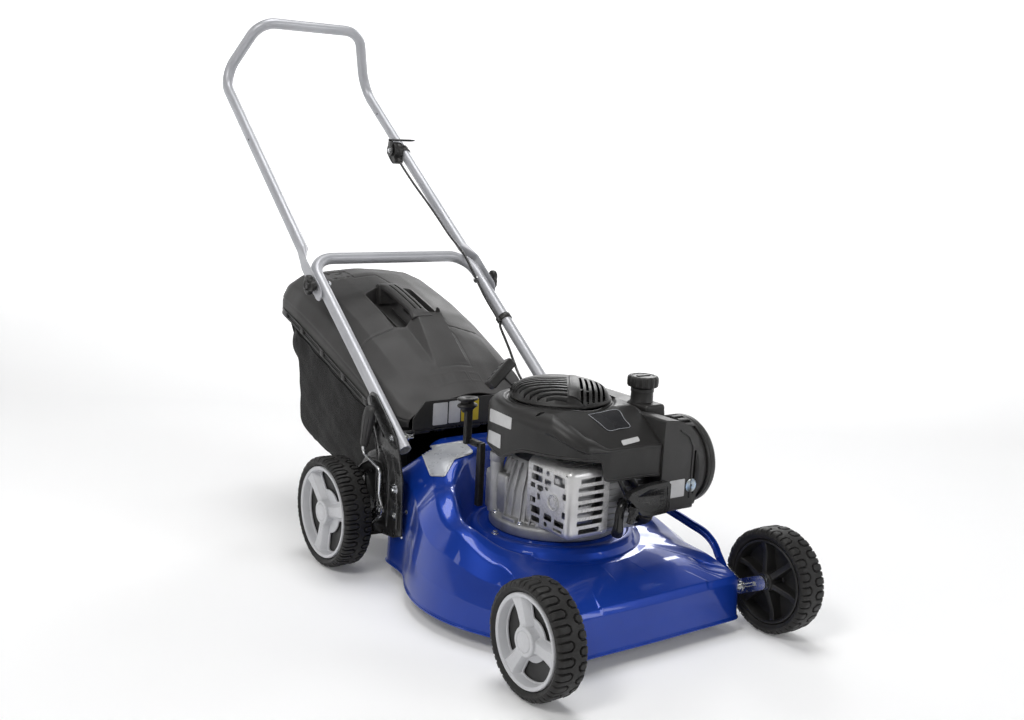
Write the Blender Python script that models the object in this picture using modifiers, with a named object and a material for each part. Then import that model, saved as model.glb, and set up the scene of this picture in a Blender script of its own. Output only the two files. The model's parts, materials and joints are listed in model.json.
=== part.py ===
"""Walk-behind rotary lawn mower with a rear catcher, as separate named pieces.

Metres, +Z up. The front of the mower faces -Y and the operator stands at +Y.
Left and right are the operator's, so left is +X. The ground is z = 0 and the
whole object is centred on x = 0, y = 0.
"""
import math

import bmesh
import bpy
from mathutils import Matrix, Vector

# ---------------------------------------------------------------- dimensions
BOX_CENTRE_Y = 0.28325       # design y of the middle of the whole object

ENGINE_Y = -0.044            # crankshaft axis, at x = 0
CUT_RADIUS = 0.2285          # swing blades' tip circle, 457 mm cut
DECK_SKIN = 0.0025           # pressed steel
DECK_LOW = 0.0235            # height of the skirt's edge, lowest cut
DECK_PLATE = 0.140           # top of the engine plate
DECK_ROUND = 0.250           # radius of the round body
NOSE_HALF, NOSE_Y = 0.199, -0.3135
TAIL_HALF, TAIL_Y = 0.193, 0.212

REAR_R, REAR_AXLE_Y = 0.1015, 0.2817
FRONT_R, FRONT_AXLE_Y = 0.0888, -0.3334
REAR_OUT, REAR_WIDTH = 0.2785, 0.054     # outer face of the tyre, tyre width
FRONT_OUT, FRONT_WIDTH = 0.2725, 0.0516
CRANK_DY, CRANK_DZ = 0.0434, 0.0208      # wheel centre from its crank's shaft
REAR_SHAFT = (REAR_AXLE_Y - CRANK_DY, REAR_R - CRANK_DZ)
FRONT_SHAFT = (FRONT_AXLE_Y + CRANK_DY, FRONT_R - CRANK_DZ)
AXLE_R = 0.0060
LINK_ARM = 0.035             # link bar's pivots from the two crank shafts
TAIL_REAR = math.radians(250)             # directions of the two pivots in y, z
TAIL_FRONT = math.radians(30)

TUBE_R = 0.0115
LOWER_END = (0.1872, 0.1457, 0.2412)     # open lower ends of the lower handle
LOWER_TOP = (0.1846, 0.5358, 0.5318)     # its corner, before rounding
FOLD = (0.4775, 0.4884)                  # y, z of the fold bolts
UPPER_START = (0.1888, 0.560, 0.5494)
UPPER_BEND = (0.1760, 0.9938, 0.8804)
UPPER_TOP = (0.1218, 0.9229, 1.0023)
PADDLE_X, PADDLE_T = 0.2015, 0.0040      # flattened end, centre and thickness

GAP = 0.0004

# ------------------------------------------------------------------- helpers
for old in list(bpy.data.objects):
    bpy.data.objects.remove(old, do_unlink=True)
for block in (bpy.data.meshes, bpy.data.curves, bpy.data.materials):
    for item in list(block):
        block.remove(item)

scene_root = bpy.context.scene.collection
parts = bpy.data.collections.new("lawn_mower")
cutters = bpy.data.collections.new("cutters")
scene_root.children.link(parts)
scene_root.children.link(cutters)

root = bpy.data.objects.new("mower_root", None)
root.location = (0, -BOX_CENTRE_Y, 0)
parts.objects.link(root)

MATERIALS = {}


def material(name, colour, rough, metal=0.0):
    if name not in MATERIALS:
        mat = bpy.data.materials.new(name)
        mat.use_nodes = True
        shader = mat.node_tree.nodes["Principled BSDF"]
        shader.inputs["Base Color"].default_value = (*colour, 1)
        shader.inputs["Roughness"].default_value = rough
        shader.inputs["Metallic"].default_value = metal
        MATERIALS[name] = mat
    return MATERIALS[name]


BLUE = ("deck_blue", (0.01, 0.04, 0.32), 0.2, 0.3)
SILVER = ("handle_silver", (0.60, 0.61, 0.64), 0.4, 0.3)
BLACK = ("black_plastic", (0.03, 0.03, 0.032), 0.5)
DARKGREY = ("catcher_grey", (0.06, 0.058, 0.055), 0.6)
FABRIC = ("bag_fabric", (0.02, 0.02, 0.02), 0.9)
RUBBER = ("tyre_rubber", (0.035, 0.033, 0.032), 0.8)
HUBGREY = ("hub_grey", (0.55, 0.55, 0.57), 0.5)
ZINC = ("zinc", (0.65, 0.66, 0.68), 0.3, 1.0)
CAST = ("cast_aluminium", (0.5, 0.5, 0.5), 0.5, 0.9)
STEEL = ("steel", (0.4, 0.4, 0.42), 0.35, 1.0)
BLACKSTEEL = ("black_steel", (0.015, 0.015, 0.017), 0.3, 0.4)
FOAM = ("filter_paper", (0.6, 0.5, 0.35), 0.9)


def finish(obj, mat, smooth=True):
    """Gives a finished object its material and its shading."""
    obj.data.materials.clear()
    obj.data.materials.append(material(*mat))
    if smooth and obj.type == "MESH":
        obj.data.shade_smooth()
        obj.data.set_sharp_from_angle(angle=math.radians(35))
    return obj


def new_object(name, mesh, where=None):
    obj = bpy.data.objects.new(name, mesh)
    (where or parts).objects.link(obj)
    obj.parent = root
    return obj


def mesh_from(name, bm, where=None):
    mesh = bpy.data.meshes.new(name)
    bm.to_mesh(mesh)
    bm.free()
    return new_object(name, mesh, where)


def origin_to(obj, point):
    """Moves the object's origin to a point without moving its shape."""
    shift = Vector(point) - obj.location
    obj.data.transform(Matrix.Translation(-shift))
    obj.location = Vector(point)


def box(name, low, high, bevel=0.0, segments=2, where=None):
    bm = bmesh.new()
    bmesh.ops.create_cube(bm, size=1)
    size = [h - l for l, h in zip(low, high)]
    mid = [(h + l) / 2 for l, h in zip(low, high)]
    bmesh.ops.scale(bm, vec=size, verts=bm.verts)
    bmesh.ops.translate(bm, vec=mid, verts=bm.verts)
    obj = mesh_from(name, bm, where)
    if bevel:
        mod = obj.modifiers.new("Bevel", "BEVEL")
        mod.width = bevel
        mod.segments = segments
        mod.limit_method = "ANGLE"
    return obj


def rod(name, start, end, radius, sides=16, where=None, radius2=None):
    """A plain cylinder or cone between two points."""
    a, b = Vector(start), Vector(end)
    bm = bmesh.new()
    bmesh.ops.create_cone(
        bm, cap_ends=True, segments=sides, radius1=radius,
        radius2=radius if radius2 is None else radius2, depth=(b - a).length,
    )
    turn = (b - a).to_track_quat("Z", "Y").to_matrix().to_4x4()
    bmesh.ops.transform(bm, matrix=Matrix.Translation((a + b) / 2) @ turn, verts=bm.verts)
    return mesh_from(name, bm, where)


def lathe(name, profile, steps, closed=False, where=None, half_step=False):
    """A profile of (radius, height) turned about the object's Z axis."""
    bm = bmesh.new()
    verts = [bm.verts.new((r, 0, z)) for r, z in profile]
    for a, b in zip(verts, verts[1:] + (verts[:1] if closed else [])):
        if a is not b:
            bm.edges.new((a, b))
    if not closed:
        pass
    obj = mesh_from(name, bm, where)
    mod = obj.modifiers.new("Screw", "SCREW")
    mod.steps = mod.render_steps = steps
    mod.use_merge_vertices = True
    mod.merge_threshold = 0.00001
    mod.use_smooth_shade = True
    if half_step:
        obj.data.transform(Matrix.Rotation(math.pi / steps, 4, "Z"))
    return obj


def curve_object(name, points, radius, resolution=3, closed=False):
    data = bpy.data.curves.new(name, "CURVE")
    data.dimensions = "3D"
    spline = data.splines.new("POLY")
    spline.points.add(len(points) - 1)
    for p, co in zip(spline.points, points):
        p.co = (*co, 1)
    spline.use_cyclic_u = closed
    data.bevel_depth = radius
    data.bevel_resolution = resolution
    data.use_fill_caps = True
    return new_object(name, data)


def tube(name, points, radius, resolution=3):
    """A bent tube as a mesh, its caps welded."""
    curve = curve_object(name + "_path", points, radius, resolution)
    bpy.context.view_layer.update()
    graph = bpy.context.evaluated_depsgraph_get()
    mesh = bpy.data.meshes.new_from_object(curve.evaluated_get(graph))
    bm = bmesh.new()
    bm.from_mesh(mesh)
    bmesh.ops.remove_doubles(bm, verts=bm.verts, dist=0.00002)
    bmesh.ops.recalc_face_normals(bm, faces=bm.faces)
    bm.to_mesh(mesh)
    bm.free()
    bpy.data.objects.remove(curve, do_unlink=True)
    mesh.name = name
    return new_object(name, mesh)


def rounded(points, radius, steps=6):
    """A polyline with each inner corner replaced by an arc of this radius."""
    pts = [Vector(p) for p in points]
    out = [pts[0]]
    for before, here, after in zip(pts, pts[1:], pts[2:]):
        u, v = (before - here).normalized(), (after - here).normalized()
        angle = u.angle(v)
        cut = min(radius / math.tan(angle / 2), 0.48 * (before - here).length,
                  0.48 * (after - here).length)
        r = cut * math.tan(angle / 2)
        centre = here + (u + v).normalized() * (r / math.sin(angle / 2))
        a, b = here + u * cut - centre, here + v * cut - centre
        side = (b - b.project(a)).normalized() * a.length
        sweep = a.angle(b)
        for i in range(steps + 1):
            t = sweep * i / steps
            out.append(centre + a * math.cos(t) + side * math.sin(t))
    out.append(pts[-1])
    return out


def prism(name, outline, axis, low, high, bevel=0.0, where=None, holes=()):
    """A flat outline of (a, b) pairs, thick from low to high along an axis.

    The outline's pairs are (y, z) for axis X, (x, z) for Y and (x, y) for Z.
    """
    data = bpy.data.curves.new(name, "CURVE")
    data.dimensions = "2D"
    data.fill_mode = "BOTH"
    data.extrude = (high - low) / 2
    for ring in (outline, *holes):
        spline = data.splines.new("POLY")
        spline.points.add(len(ring) - 1)
        for p, (a, b) in zip(spline.points, ring):
            p.co = (a, b, 0, 1)
        spline.use_cyclic_u = True
    flat = new_object(name + "_outline", data)
    bpy.context.view_layer.update()
    mesh = bpy.data.meshes.new_from_object(
        flat.evaluated_get(bpy.context.evaluated_depsgraph_get()))
    bpy.data.objects.remove(flat, do_unlink=True)
    bm = bmesh.new()
    bm.from_mesh(mesh)
    bmesh.ops.remove_doubles(bm, verts=bm.verts, dist=0.00001)
    middle = (high + low) / 2
    if axis == "X":
        m = Matrix(((0, 0, 1, middle), (1, 0, 0, 0), (0, 1, 0, 0), (0, 0, 0, 1)))
    elif axis == "Y":
        m = Matrix(((1, 0, 0, 0), (0, 0, 1, middle), (0, 1, 0, 0), (0, 0, 0, 1)))
    else:
        m = Matrix.Translation((0, 0, middle))
    bmesh.ops.transform(bm, matrix=m, verts=bm.verts)
    bmesh.ops.recalc_face_normals(bm, faces=bm.faces)
    bm.to_mesh(mesh)
    bm.free()
    obj = new_object(name, mesh, where)
    if bevel:
        mod = obj.modifiers.new("Bevel", "BEVEL")
        mod.width = bevel
        mod.segments = 2
        mod.limit_method = "ANGLE"
        mod.angle_limit = math.radians(50)
    return obj


def circle(cx, cy, r, n=12, turn=0.0):
    return [(cx + r * math.cos(turn + 2 * math.pi * i / n),
             cy + r * math.sin(turn + 2 * math.pi * i / n)) for i in range(n)]


def hide_cutter(obj):
    obj.hide_render = True
    obj.display_type = "WIRE"
    return obj


def cut(obj, cutter, operation="DIFFERENCE"):
    hide_cutter(cutter)
    mod = obj.modifiers.new(operation.title(), "BOOLEAN")
    mod.operation = operation
    mod.solver = "EXACT"
    mod.object = cutter
    return obj


def apply_all(obj):
    """Turns the evaluated shape of an object into its mesh, in place."""
    bpy.context.view_layer.update()
    graph = bpy.context.evaluated_depsgraph_get()
    mesh = bpy.data.meshes.new_from_object(obj.evaluated_get(graph))
    obj.modifiers.clear()
    obj.data = mesh
    return obj


def join_union(obj, others):
    """Unites solids with the first one for good and removes the others."""
    for other in others:
        mod = obj.modifiers.new("Union", "BOOLEAN")
        mod.operation = "UNION"
        mod.solver = "EXACT"
        mod.object = other
    apply_all(obj)
    for other in others:
        bpy.data.objects.remove(other, do_unlink=True)
    return obj


def skin(name, rings, closed_ring=True, thickness=None, offset=-1.0, cap=False, where=None):
    """A loft through rings of points; a shell when thickness is given."""
    bm = bmesh.new()
    rows = [[bm.verts.new(p) for p in ring] for ring in rings]
    n = len(rows[0])
    for low, high in zip(rows, rows[1:]):
        for i in range(n if closed_ring else n - 1):
            j = (i + 1) % n
            bm.faces.new((low[i], low[j], high[j], high[i]))
    if cap:
        bm.faces.new(list(reversed(rows[0])))
        bm.faces.new(rows[-1])
    bmesh.ops.recalc_face_normals(bm, faces=bm.faces)
    obj = mesh_from(name, bm, where)
    if thickness:
        mod = obj.modifiers.new("Solidify", "SOLIDIFY")
        mod.thickness = thickness
        mod.offset = offset
        mod.use_even_offset = True
        mod.use_rim = True
    return obj


def mirrored(obj, name):
    """A copy on the other side of x = 0 with its own mesh."""
    apply_all(obj)
    mesh = obj.data.copy()
    world = Matrix.Translation(obj.location) @ obj.rotation_euler.to_matrix().to_4x4()
    mesh.transform(Matrix.Scale(-1, 4, (1, 0, 0)) @ world)
    mesh.flip_normals()
    twin = new_object(name, mesh)
    origin = Vector((-obj.location.x, obj.location.y, obj.location.z))
    mesh.transform(Matrix.Translation(-origin))
    twin.location = origin
    return twin


def blend_table(table, angle):
    """Values read between an angle table's rows, with a soft step, in degrees."""
    rows = sorted(table)
    rows = [(rows[-1][0] - 360, *rows[-1][1:])] + rows + [(rows[0][0] + 360, *rows[0][1:])]
    while angle < rows[0][0]:
        angle += 360
    while angle > rows[-1][0]:
        angle -= 360
    for a, b in zip(rows, rows[1:]):
        if a[0] <= angle <= b[0]:
            t = (angle - a[0]) / (b[0] - a[0])
            t = t * t * (3 - 2 * t)
            return [u + (v - u) * t for u, v in zip(a[1:], b[1:])]
    return list(rows[0][1:])


# ---------------------------------------------------------------------- deck
def deck_reach(angle):
    """Distance from the crankshaft to the skirt's edge, in plan."""
    c, s = math.cos(angle), math.sin(angle)
    if s < 0:
        a, b, n = NOSE_HALF, ENGINE_Y - NOSE_Y, 26
    else:
        a, b, n = TAIL_HALF, TAIL_Y - ENGINE_Y, 16
    box_reach = ((abs(c) / a) ** n + (abs(s) / b) ** n) ** (-1 / n)
    return (DECK_ROUND ** 24 + box_reach ** 24) ** (1 / 24) if box_reach > 0.2 else DECK_ROUND


# angle, then crest height and radius, then distance inside the edge and height
# of the crest's outer end, of the shoulder and of the top of the skirt
DECK_TABLE = [
    (-90, 0.121, 0.165, 0.016, 0.0955, 0.009, 0.090, 0.0040, 0.055),
    (-127, 0.122, 0.165, 0.012, 0.0965, 0.006, 0.090, 0.0030, 0.055),
    (-136, 0.123, 0.165, 0.016, 0.1130, 0.008, 0.102, 0.0030, 0.060),
    (-150, 0.138, 0.170, 0.036, 0.1280, 0.015, 0.104, 0.0040, 0.065),
    (180, 0.163, 0.178, 0.042, 0.1600, 0.016, 0.128, 0.0050, 0.075),
    (150, 0.196, 0.172, 0.045, 0.1900, 0.016, 0.155, 0.0050, 0.085),
    (122, 0.230, 0.168, 0.060, 0.2260, 0.020, 0.195, 0.0040, 0.120),
    (108, 0.238, 0.165, 0.016, 0.2390, 0.006, 0.234, 0.0020, 0.150),
    (72, 0.238, 0.165, 0.016, 0.2390, 0.006, 0.234, 0.0020, 0.150),
    (58, 0.230, 0.168, 0.060, 0.2260, 0.020, 0.195, 0.0040, 0.120),
    (30, 0.190, 0.172, 0.045, 0.1760, 0.016, 0.140, 0.0050, 0.085),
    (0, 0.148, 0.172, 0.045, 0.1340, 0.018, 0.108, 0.0050, 0.070),
    (-30, 0.127, 0.168, 0.034, 0.1190, 0.012, 0.104, 0.0040, 0.060),
    (-44, 0.123, 0.165, 0.016, 0.1130, 0.008, 0.102, 0.0030, 0.060),
    (-53, 0.122, 0.165, 0.012, 0.0965, 0.006, 0.090, 0.0030, 0.055),
]


def deck_profile(angle):
    """(radius, height) from the centre hole to the skirt's edge."""
    reach = deck_reach(angle)
    zd, rd, de, ze, df, zf, dg, zg = blend_table(DECK_TABLE, math.degrees(angle))
    re = reach - de
    mid = 0.5 * (rd + re)
    return [
        (0.020, DECK_PLATE), (0.120, DECK_PLATE), (0.134, DECK_PLATE - 0.0010),
        (0.143, DECK_PLATE - 0.0080), (0.150, min(zd - 0.001, DECK_PLATE - 0.0130) + 0.001),
        (rd, zd), (mid, zd + 0.55 * (ze - zd) + 0.0015), (re, ze),
        (reach - df, zf), (reach - dg, zg), (reach, DECK_LOW),
    ]


STEPS = 64
angles = [2 * math.pi * i / STEPS for i in range(STEPS)]
for corner in (math.atan2(NOSE_Y - ENGINE_Y, NOSE_HALF), math.atan2(TAIL_Y - ENGINE_Y, TAIL_HALF)):
    for a in (corner % (2 * math.pi), (math.pi - corner) % (2 * math.pi)):
        nearest = min(range(len(angles)), key=lambda i: abs(angles[i] - a))
        angles[nearest] = a
profiles = [deck_profile(a) for a in angles]
rings = [
    [(r * math.cos(a), ENGINE_Y + r * math.sin(a), z)
     for a, (r, z) in ((a, profiles[i][k]) for i, a in enumerate(angles))]
    for k in range(len(profiles[0]))
]
deck = skin("deck", rings, thickness=DECK_SKIN)
# the mesh's faces look up and out, so the thickness goes to the inside
cut(deck, box("cut_chute", (-0.135, 0.190, 0.118), (0.135, 0.250, 0.2255), where=cutters))
for side, label in ((1, "l"), (-1, "r")):
    cut(deck, rod("cut_front_shaft_" + label, (side * 0.15, *FRONT_SHAFT),
                  (side * 0.23, *FRONT_SHAFT), AXLE_R + GAP, 16, cutters))
finish(deck, BLUE)

# ------------------------------------------------------- axles with cranks
def crank_axle(name, shaft, wheel_y, wheel_z, shaft_half, arm_x, stub_end):
    """A cross shaft, an arm at each end and a stub for each wheel."""
    sy, sz = shaft
    pieces = []
    main = rod(name, (-arm_x, sy, sz), (arm_x, sy, sz), AXLE_R, 12)
    for side in (-1, 1):
        x0, x1 = side * (arm_x - 0.004), side * (arm_x + 0.0004)
        dy, dz = wheel_y - sy, wheel_z - sz
        length = math.hypot(dy, dz)
        turn = math.atan2(dz, dy)
        outline = [(sy + 0.012 * math.cos(turn + t), sz + 0.012 * math.sin(turn + t))
                   for t in [math.radians(d) for d in range(90, 271, 30)]]
        outline += [(wheel_y + 0.012 * math.cos(turn + t), wheel_z + 0.012 * math.sin(turn + t))
                    for t in [math.radians(d) for d in range(-90, 91, 30)]]
        pieces.append(prism(name + "_arm", outline, "X", min(x0, x1), max(x0, x1)))
        pieces.append(rod(name + "_stub", (side * (arm_x - 0.003), wheel_y, wheel_z),
                          (side * stub_end, wheel_y, wheel_z), AXLE_R, 12))
    return main, pieces


ARM_REAR, ARM_FRONT = 0.2190, 0.2155
rear_axle, extra = crank_axle("rear_axle", REAR_SHAFT, REAR_AXLE_Y, REAR_R, 0.2, ARM_REAR, 0.2700)
# the far arm's tail that the link bar hangs on, and the near arm's tail for the lever
ry, rz = REAR_SHAFT
tail = (ry + LINK_ARM * math.cos(TAIL_REAR), rz + LINK_ARM * math.sin(TAIL_REAR))


def tail_plate(name, shaft, tip, x0, x1, r0=0.011, r1=0.008, hole=0.0):
    dy, dz = tip[0] - shaft[0], tip[1] - shaft[1]
    turn = math.atan2(dz, dy)
    outline = [(shaft[0] + r0 * math.cos(turn + t), shaft[1] + r0 * math.sin(turn + t))
               for t in [math.radians(d) for d in range(90, 271, 30)]]
    outline += [(tip[0] + r1 * math.cos(turn + t), tip[1] + r1 * math.sin(turn + t))
                for t in [math.radians(d) for d in range(-90, 91, 30)]]
    return prism(name, outline, "X", x0, x1, holes=[circle(*tip, hole, 10)] if hole else ())


extra.append(tail_plate("tail_far", REAR_SHAFT, tail, ARM_REAR - 0.0042, ARM_REAR + 0.0002))
extra.append(rod("tail_pin_far", (ARM_REAR - 0.0105, *tail), (ARM_REAR - 0.002, *tail), 0.0030, 10))
HOOK = (0.176, 0.128)
extra.append(tail_plate("tail_near", REAR_SHAFT, HOOK, -ARM_REAR - 0.0002, -ARM_REAR + 0.0042, 0.011, 0.009, 0.0036))
join_union(rear_axle, extra)
origin_to(rear_axle, (0, ry, rz))
finish(rear_axle, ZINC)

front_axle, extra = crank_axle("front_axle", FRONT_SHAFT, FRONT_AXLE_Y, FRONT_R, 0.2, ARM_FRONT, 0.2640)
fy, fz = FRONT_SHAFT
ftail = (fy + LINK_ARM * math.cos(TAIL_FRONT), fz + LINK_ARM * math.sin(TAIL_FRONT))
extra.append(tail_plate("ftail_far", FRONT_SHAFT, ftail, ARM_FRONT - 0.0042, ARM_FRONT + 0.0002))
extra.append(rod("ftail_pin_far", (ARM_FRONT - 0.0105, *ftail), (ARM_FRONT - 0.002, *ftail), 0.0030, 10))
join_union(front_axle, extra)
origin_to(front_axle, (0, fy, fz))
finish(front_axle, ZINC)

# flat link bar over the far side of the deck, from one crank to the other
LINK_X0, LINK_X1 = 0.2055, 0.2090
link_line = [ftail, (-0.2400, 0.1090), (-0.2330, 0.1190), (-0.2220, 0.1280), (-0.2020, 0.1370), (-0.1650, 0.1430),
             (-0.1270, 0.1490), (-0.0500, 0.1590), (0.0300, 0.1660), (0.0800, 0.1640), (0.1100, 0.1530),
             (0.1350, 0.1320), (0.1900, 0.0800), tail]


def ribbon(line, half):
    """Outline of a bar of even width along a line, with round-ish ends."""
    left, right = [], []
    pts = [Vector(p) for p in line]
    for i, p in enumerate(pts):
        a = pts[max(i - 1, 0)]
        b = pts[min(i + 1, len(pts) - 1)]
        d = (b - a).normalized()
        n = Vector((-d.y, d.x))
        left.append(p + n * half)
        right.append(p - n * half)
    d0 = (pts[0] - pts[1]).normalized() * half
    d1 = (pts[-1] - pts[-2]).normalized() * half
    return ([tuple(v) for v in left] + [tuple(pts[-1] + d1)]
            + [tuple(v) for v in reversed(right)] + [tuple(pts[0] + d0)])


link = prism("height_link_bar", ribbon(link_line, 0.0075), "X", LINK_X0, LINK_X1,
             holes=(circle(*ftail, 0.0058, 10), circle(*tail, 0.0058, 10)))
finish(link, BLUE, smooth=False)

# height lever: bent wire from the near arm's tail up to its grip
LEVER_X, LEVER_TOP_X = -0.2108, -0.2150
lever_line = [(-0.2205, *HOOK), (LEVER_X, *HOOK), (LEVER_X, 0.191, 0.152), (LEVER_X - 0.0010, 0.187, 0.198),
              (LEVER_TOP_X, 0.247, 0.2165), (LEVER_TOP_X, 0.2262, 0.2870)]
lever = tube("height_lever", rounded(lever_line, 0.012, 4), 0.0030, 2)
origin_to(lever, (0, ry, rz))
finish(lever, ZINC)
g0 = Vector(lever_line[-1]).lerp(Vector(lever_line[-2]), 0.80)
g1 = Vector(lever_line[-1])
grip = lathe("height_lever_grip", [(0.0, 0.0780), (0.0070, 0.0768), (0.0100, 0.0720), (0.0108, 0.050),
                                   (0.0092, 0.018), (0.0080, 0.0), (0.0036, 0.0), (0.0036, 0.0640), (0.0, 0.0640)], 14)
grip.rotation_euler = (g1 - g0).to_track_quat("Z", "Y").to_euler()
grip.location = g0
finish(grip, BLACK)

# -------------------------------------------------- handle bracket plates
BR_X0, BR_X1 = 0.1995, 0.2025
plate_line = [(0.124, 0.092), (0.126, 0.190), (0.140, 0.235), (0.154, 0.266), (0.168, 0.280), (0.225, 0.325),
              (0.243, 0.328), (0.259, 0.312), (0.236, 0.270), (0.212, 0.222), (0.213, 0.120), (0.256, 0.0945),
              (0.252, 0.066), (0.232, 0.062), (0.190, 0.078), (0.150, 0.082)]
BOLT_LOWER = (0.168, 0.2578)
for side, label in ((1, "left"), (-1, "right")):
    lo, hi = sorted((side * BR_X0, side * BR_X1))
    plate = prism("handle_bracket_" + label, plate_line, "X", lo, hi,
                  holes=(circle(*REAR_SHAFT, AXLE_R + GAP, 16), circle(*BOLT_LOWER, 0.0044, 10)))
    finish(plate, BLACKSTEEL, smooth=False)

# notched plate that the height lever springs into
notch_line = [(0.180, 0.176), (0.196, 0.210), (0.228, 0.206), (0.262, 0.190), (0.284, 0.172)]
notch_line += [(0.278, 0.162), (0.268, 0.170), (0.262, 0.166), (0.254, 0.178), (0.247, 0.174), (0.240, 0.185),
               (0.232, 0.181), (0.226, 0.191), (0.217, 0.186), (0.212, 0.192), (0.202, 0.192), (0.196, 0.168)]
notch = prism("height_notch_plate", notch_line, "X", -0.2055 + 0.0004, -BR_X1 - 0.0004, bevel=0.0)
finish(notch, BLACKSTEEL, smooth=False)

# ------------------------------------------------------------------ wheels
def wheel(label, side, radius, centre_y, outer, width, rim_outer):
    """Tyre and rim, both turned about the wheel's own axle."""
    steps = 28
    flat = 1 / math.cos(math.pi / steps)     # so the facets, not the corners, reach the radius
    w = width / 2
    centre = (side * (outer - w), centre_y, radius)
    bead = rim_outer + GAP
    tyre = lathe("tyre_" + label, [(bead * flat, w - 0.0050), (radius * flat - 0.012, w), (radius * flat, w - 0.010),
                                   (radius * flat, -w + 0.010), (radius * flat - 0.012, -w), (bead * flat, -w + 0.0050)],
                 steps, closed=True, half_step=True)
    hub = AXLE_R + GAP
    rim = lathe("rim_" + label, [
        (hub, w - 0.0015), (0.0220, w - 0.0015), (0.0260, w - 0.0075), (rim_outer - 0.016, w - 0.0075),
        (rim_outer - 0.006, w - 0.0020), (rim_outer, w - 0.0030), (rim_outer, -w + 0.004),
        (rim_outer - 0.004, -w + 0.004), (rim_outer - 0.0045, w - 0.016), (0.0200, w - 0.016), (0.0160, -w + 0.0005),
        (hub, -w + 0.0005)], steps, closed=True, half_step=True)
    for piece, mat in ((tyre, RUBBER), (rim, HUBGREY)):
        piece.rotation_euler = (0, side * math.pi / 2, 0)
        piece.location = centre
        finish(piece, mat)


wheel("front_left", 1, FRONT_R, FRONT_AXLE_Y, FRONT_OUT, FRONT_WIDTH, 0.0704)
wheel("front_right", -1, FRONT_R, FRONT_AXLE_Y, FRONT_OUT, FRONT_WIDTH, 0.0704)
wheel("rear_left", 1, REAR_R, REAR_AXLE_Y, REAR_OUT, REAR_WIDTH, 0.0840)
wheel("rear_right", -1, REAR_R, REAR_AXLE_Y, REAR_OUT, REAR_WIDTH, 0.0840)

# ----------------------------------------------------------------- handles
def on_lower(t):
    """Point on the lower handle's left leg, t = 0 at its open end."""
    return Vector(LOWER_END).lerp(Vector(LOWER_TOP), t)


pts = [LOWER_END, LOWER_TOP, (-LOWER_TOP[0], *LOWER_TOP[1:]), (-LOWER_END[0], *LOWER_END[1:])]
lower = tube("lower_handle", rounded(pts, 0.050, 7), TUBE_R, 2)
for side, label in ((1, "l"), (-1, "r")):
    cut(lower, rod("cut_bolt_low_" + label, (side * 0.150, *BOLT_LOWER), (side * 0.21, *BOLT_LOWER), 0.0044, 10, cutters))
    cut(lower, rod("cut_bolt_fold_" + label, (side * 0.150, *FOLD), (side * 0.199, *FOLD), 0.0044, 10, cutters))
    # the open lower end of the tube
    end, along = Vector((side * LOWER_END[0], *LOWER_END[1:])), (on_lower(0.05) - on_lower(0)).normalized()
    along = Vector((side * along.x, along.y, along.z))
    cut(lower, rod("cut_bore_" + label, end - along * 0.01, end + along * 0.035, TUBE_R - 0.0016, 12, cutters))
finish(lower, SILVER)

upper_line = [UPPER_START, UPPER_BEND, UPPER_TOP, (-UPPER_TOP[0], *UPPER_TOP[1:]), (-UPPER_BEND[0], *UPPER_BEND[1:]),
              (-UPPER_START[0], *UPPER_START[1:])]
upper = tube("upper_handle", rounded(upper_line, 0.055, 7), TUBE_R, 2)
slope = (Vector(UPPER_BEND) - Vector(UPPER_START)).normalized()
flat_up = Vector((0, -slope.z, slope.y)).normalized()
paddles = []
for side in (1, -1):
    # round section flattening and stepping outwards into the paddle that lies on the lower handle
    rings = []
    start = Vector(UPPER_START)
    for s, flatten in ((-0.006, 0.0), (0.000, 0.0), (0.022, 0.45), (0.044, 1.0), (0.100, 1.0), (0.128, 1.0), (0.1345, 1.0), (0.1375, 1.0)):
        mid = start - slope * s
        x = UPPER_START[0] + (PADDLE_X - UPPER_START[0]) * flatten + (0.0004 * 0)
        half_x = TUBE_R + (PADDLE_T / 2 - TUBE_R) * flatten
        half_n = TUBE_R + 0.0035 * flatten
        if s > 0.12:
            half_n *= math.sqrt(max(0.05, 1 - ((s - 0.12) / 0.0185) ** 2))
        ring = []
        for i in range(12):
            t = 2 * math.pi * i / 12
            c, sn = math.cos(t), math.sin(t)
            # a superellipse gets squarer as the tube is flattened
            p = 1.0 - 0.35 * flatten
            cx = math.copysign(abs(c) ** p, c) * half_x
            cn = math.copysign(abs(sn) ** p, sn) * half_n
            q = Vector((x + cx, mid.y, mid.z)) + flat_up * cn
            ring.append((side * q.x, q.y, q.z))
        rings.append(ring)
    paddles.append(skin("paddle", rings, cap=True))
join_union(upper, paddles)
for side, label in ((1, "l"), (-1, "r")):
    cut(upper, rod("cut_fold_" + label, (side * 0.196, *FOLD), (side * 0.210, *FOLD), 0.0044, 10, cutters))
origin_to(upper, (0, *FOLD))
finish(upper, SILVER)

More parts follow.
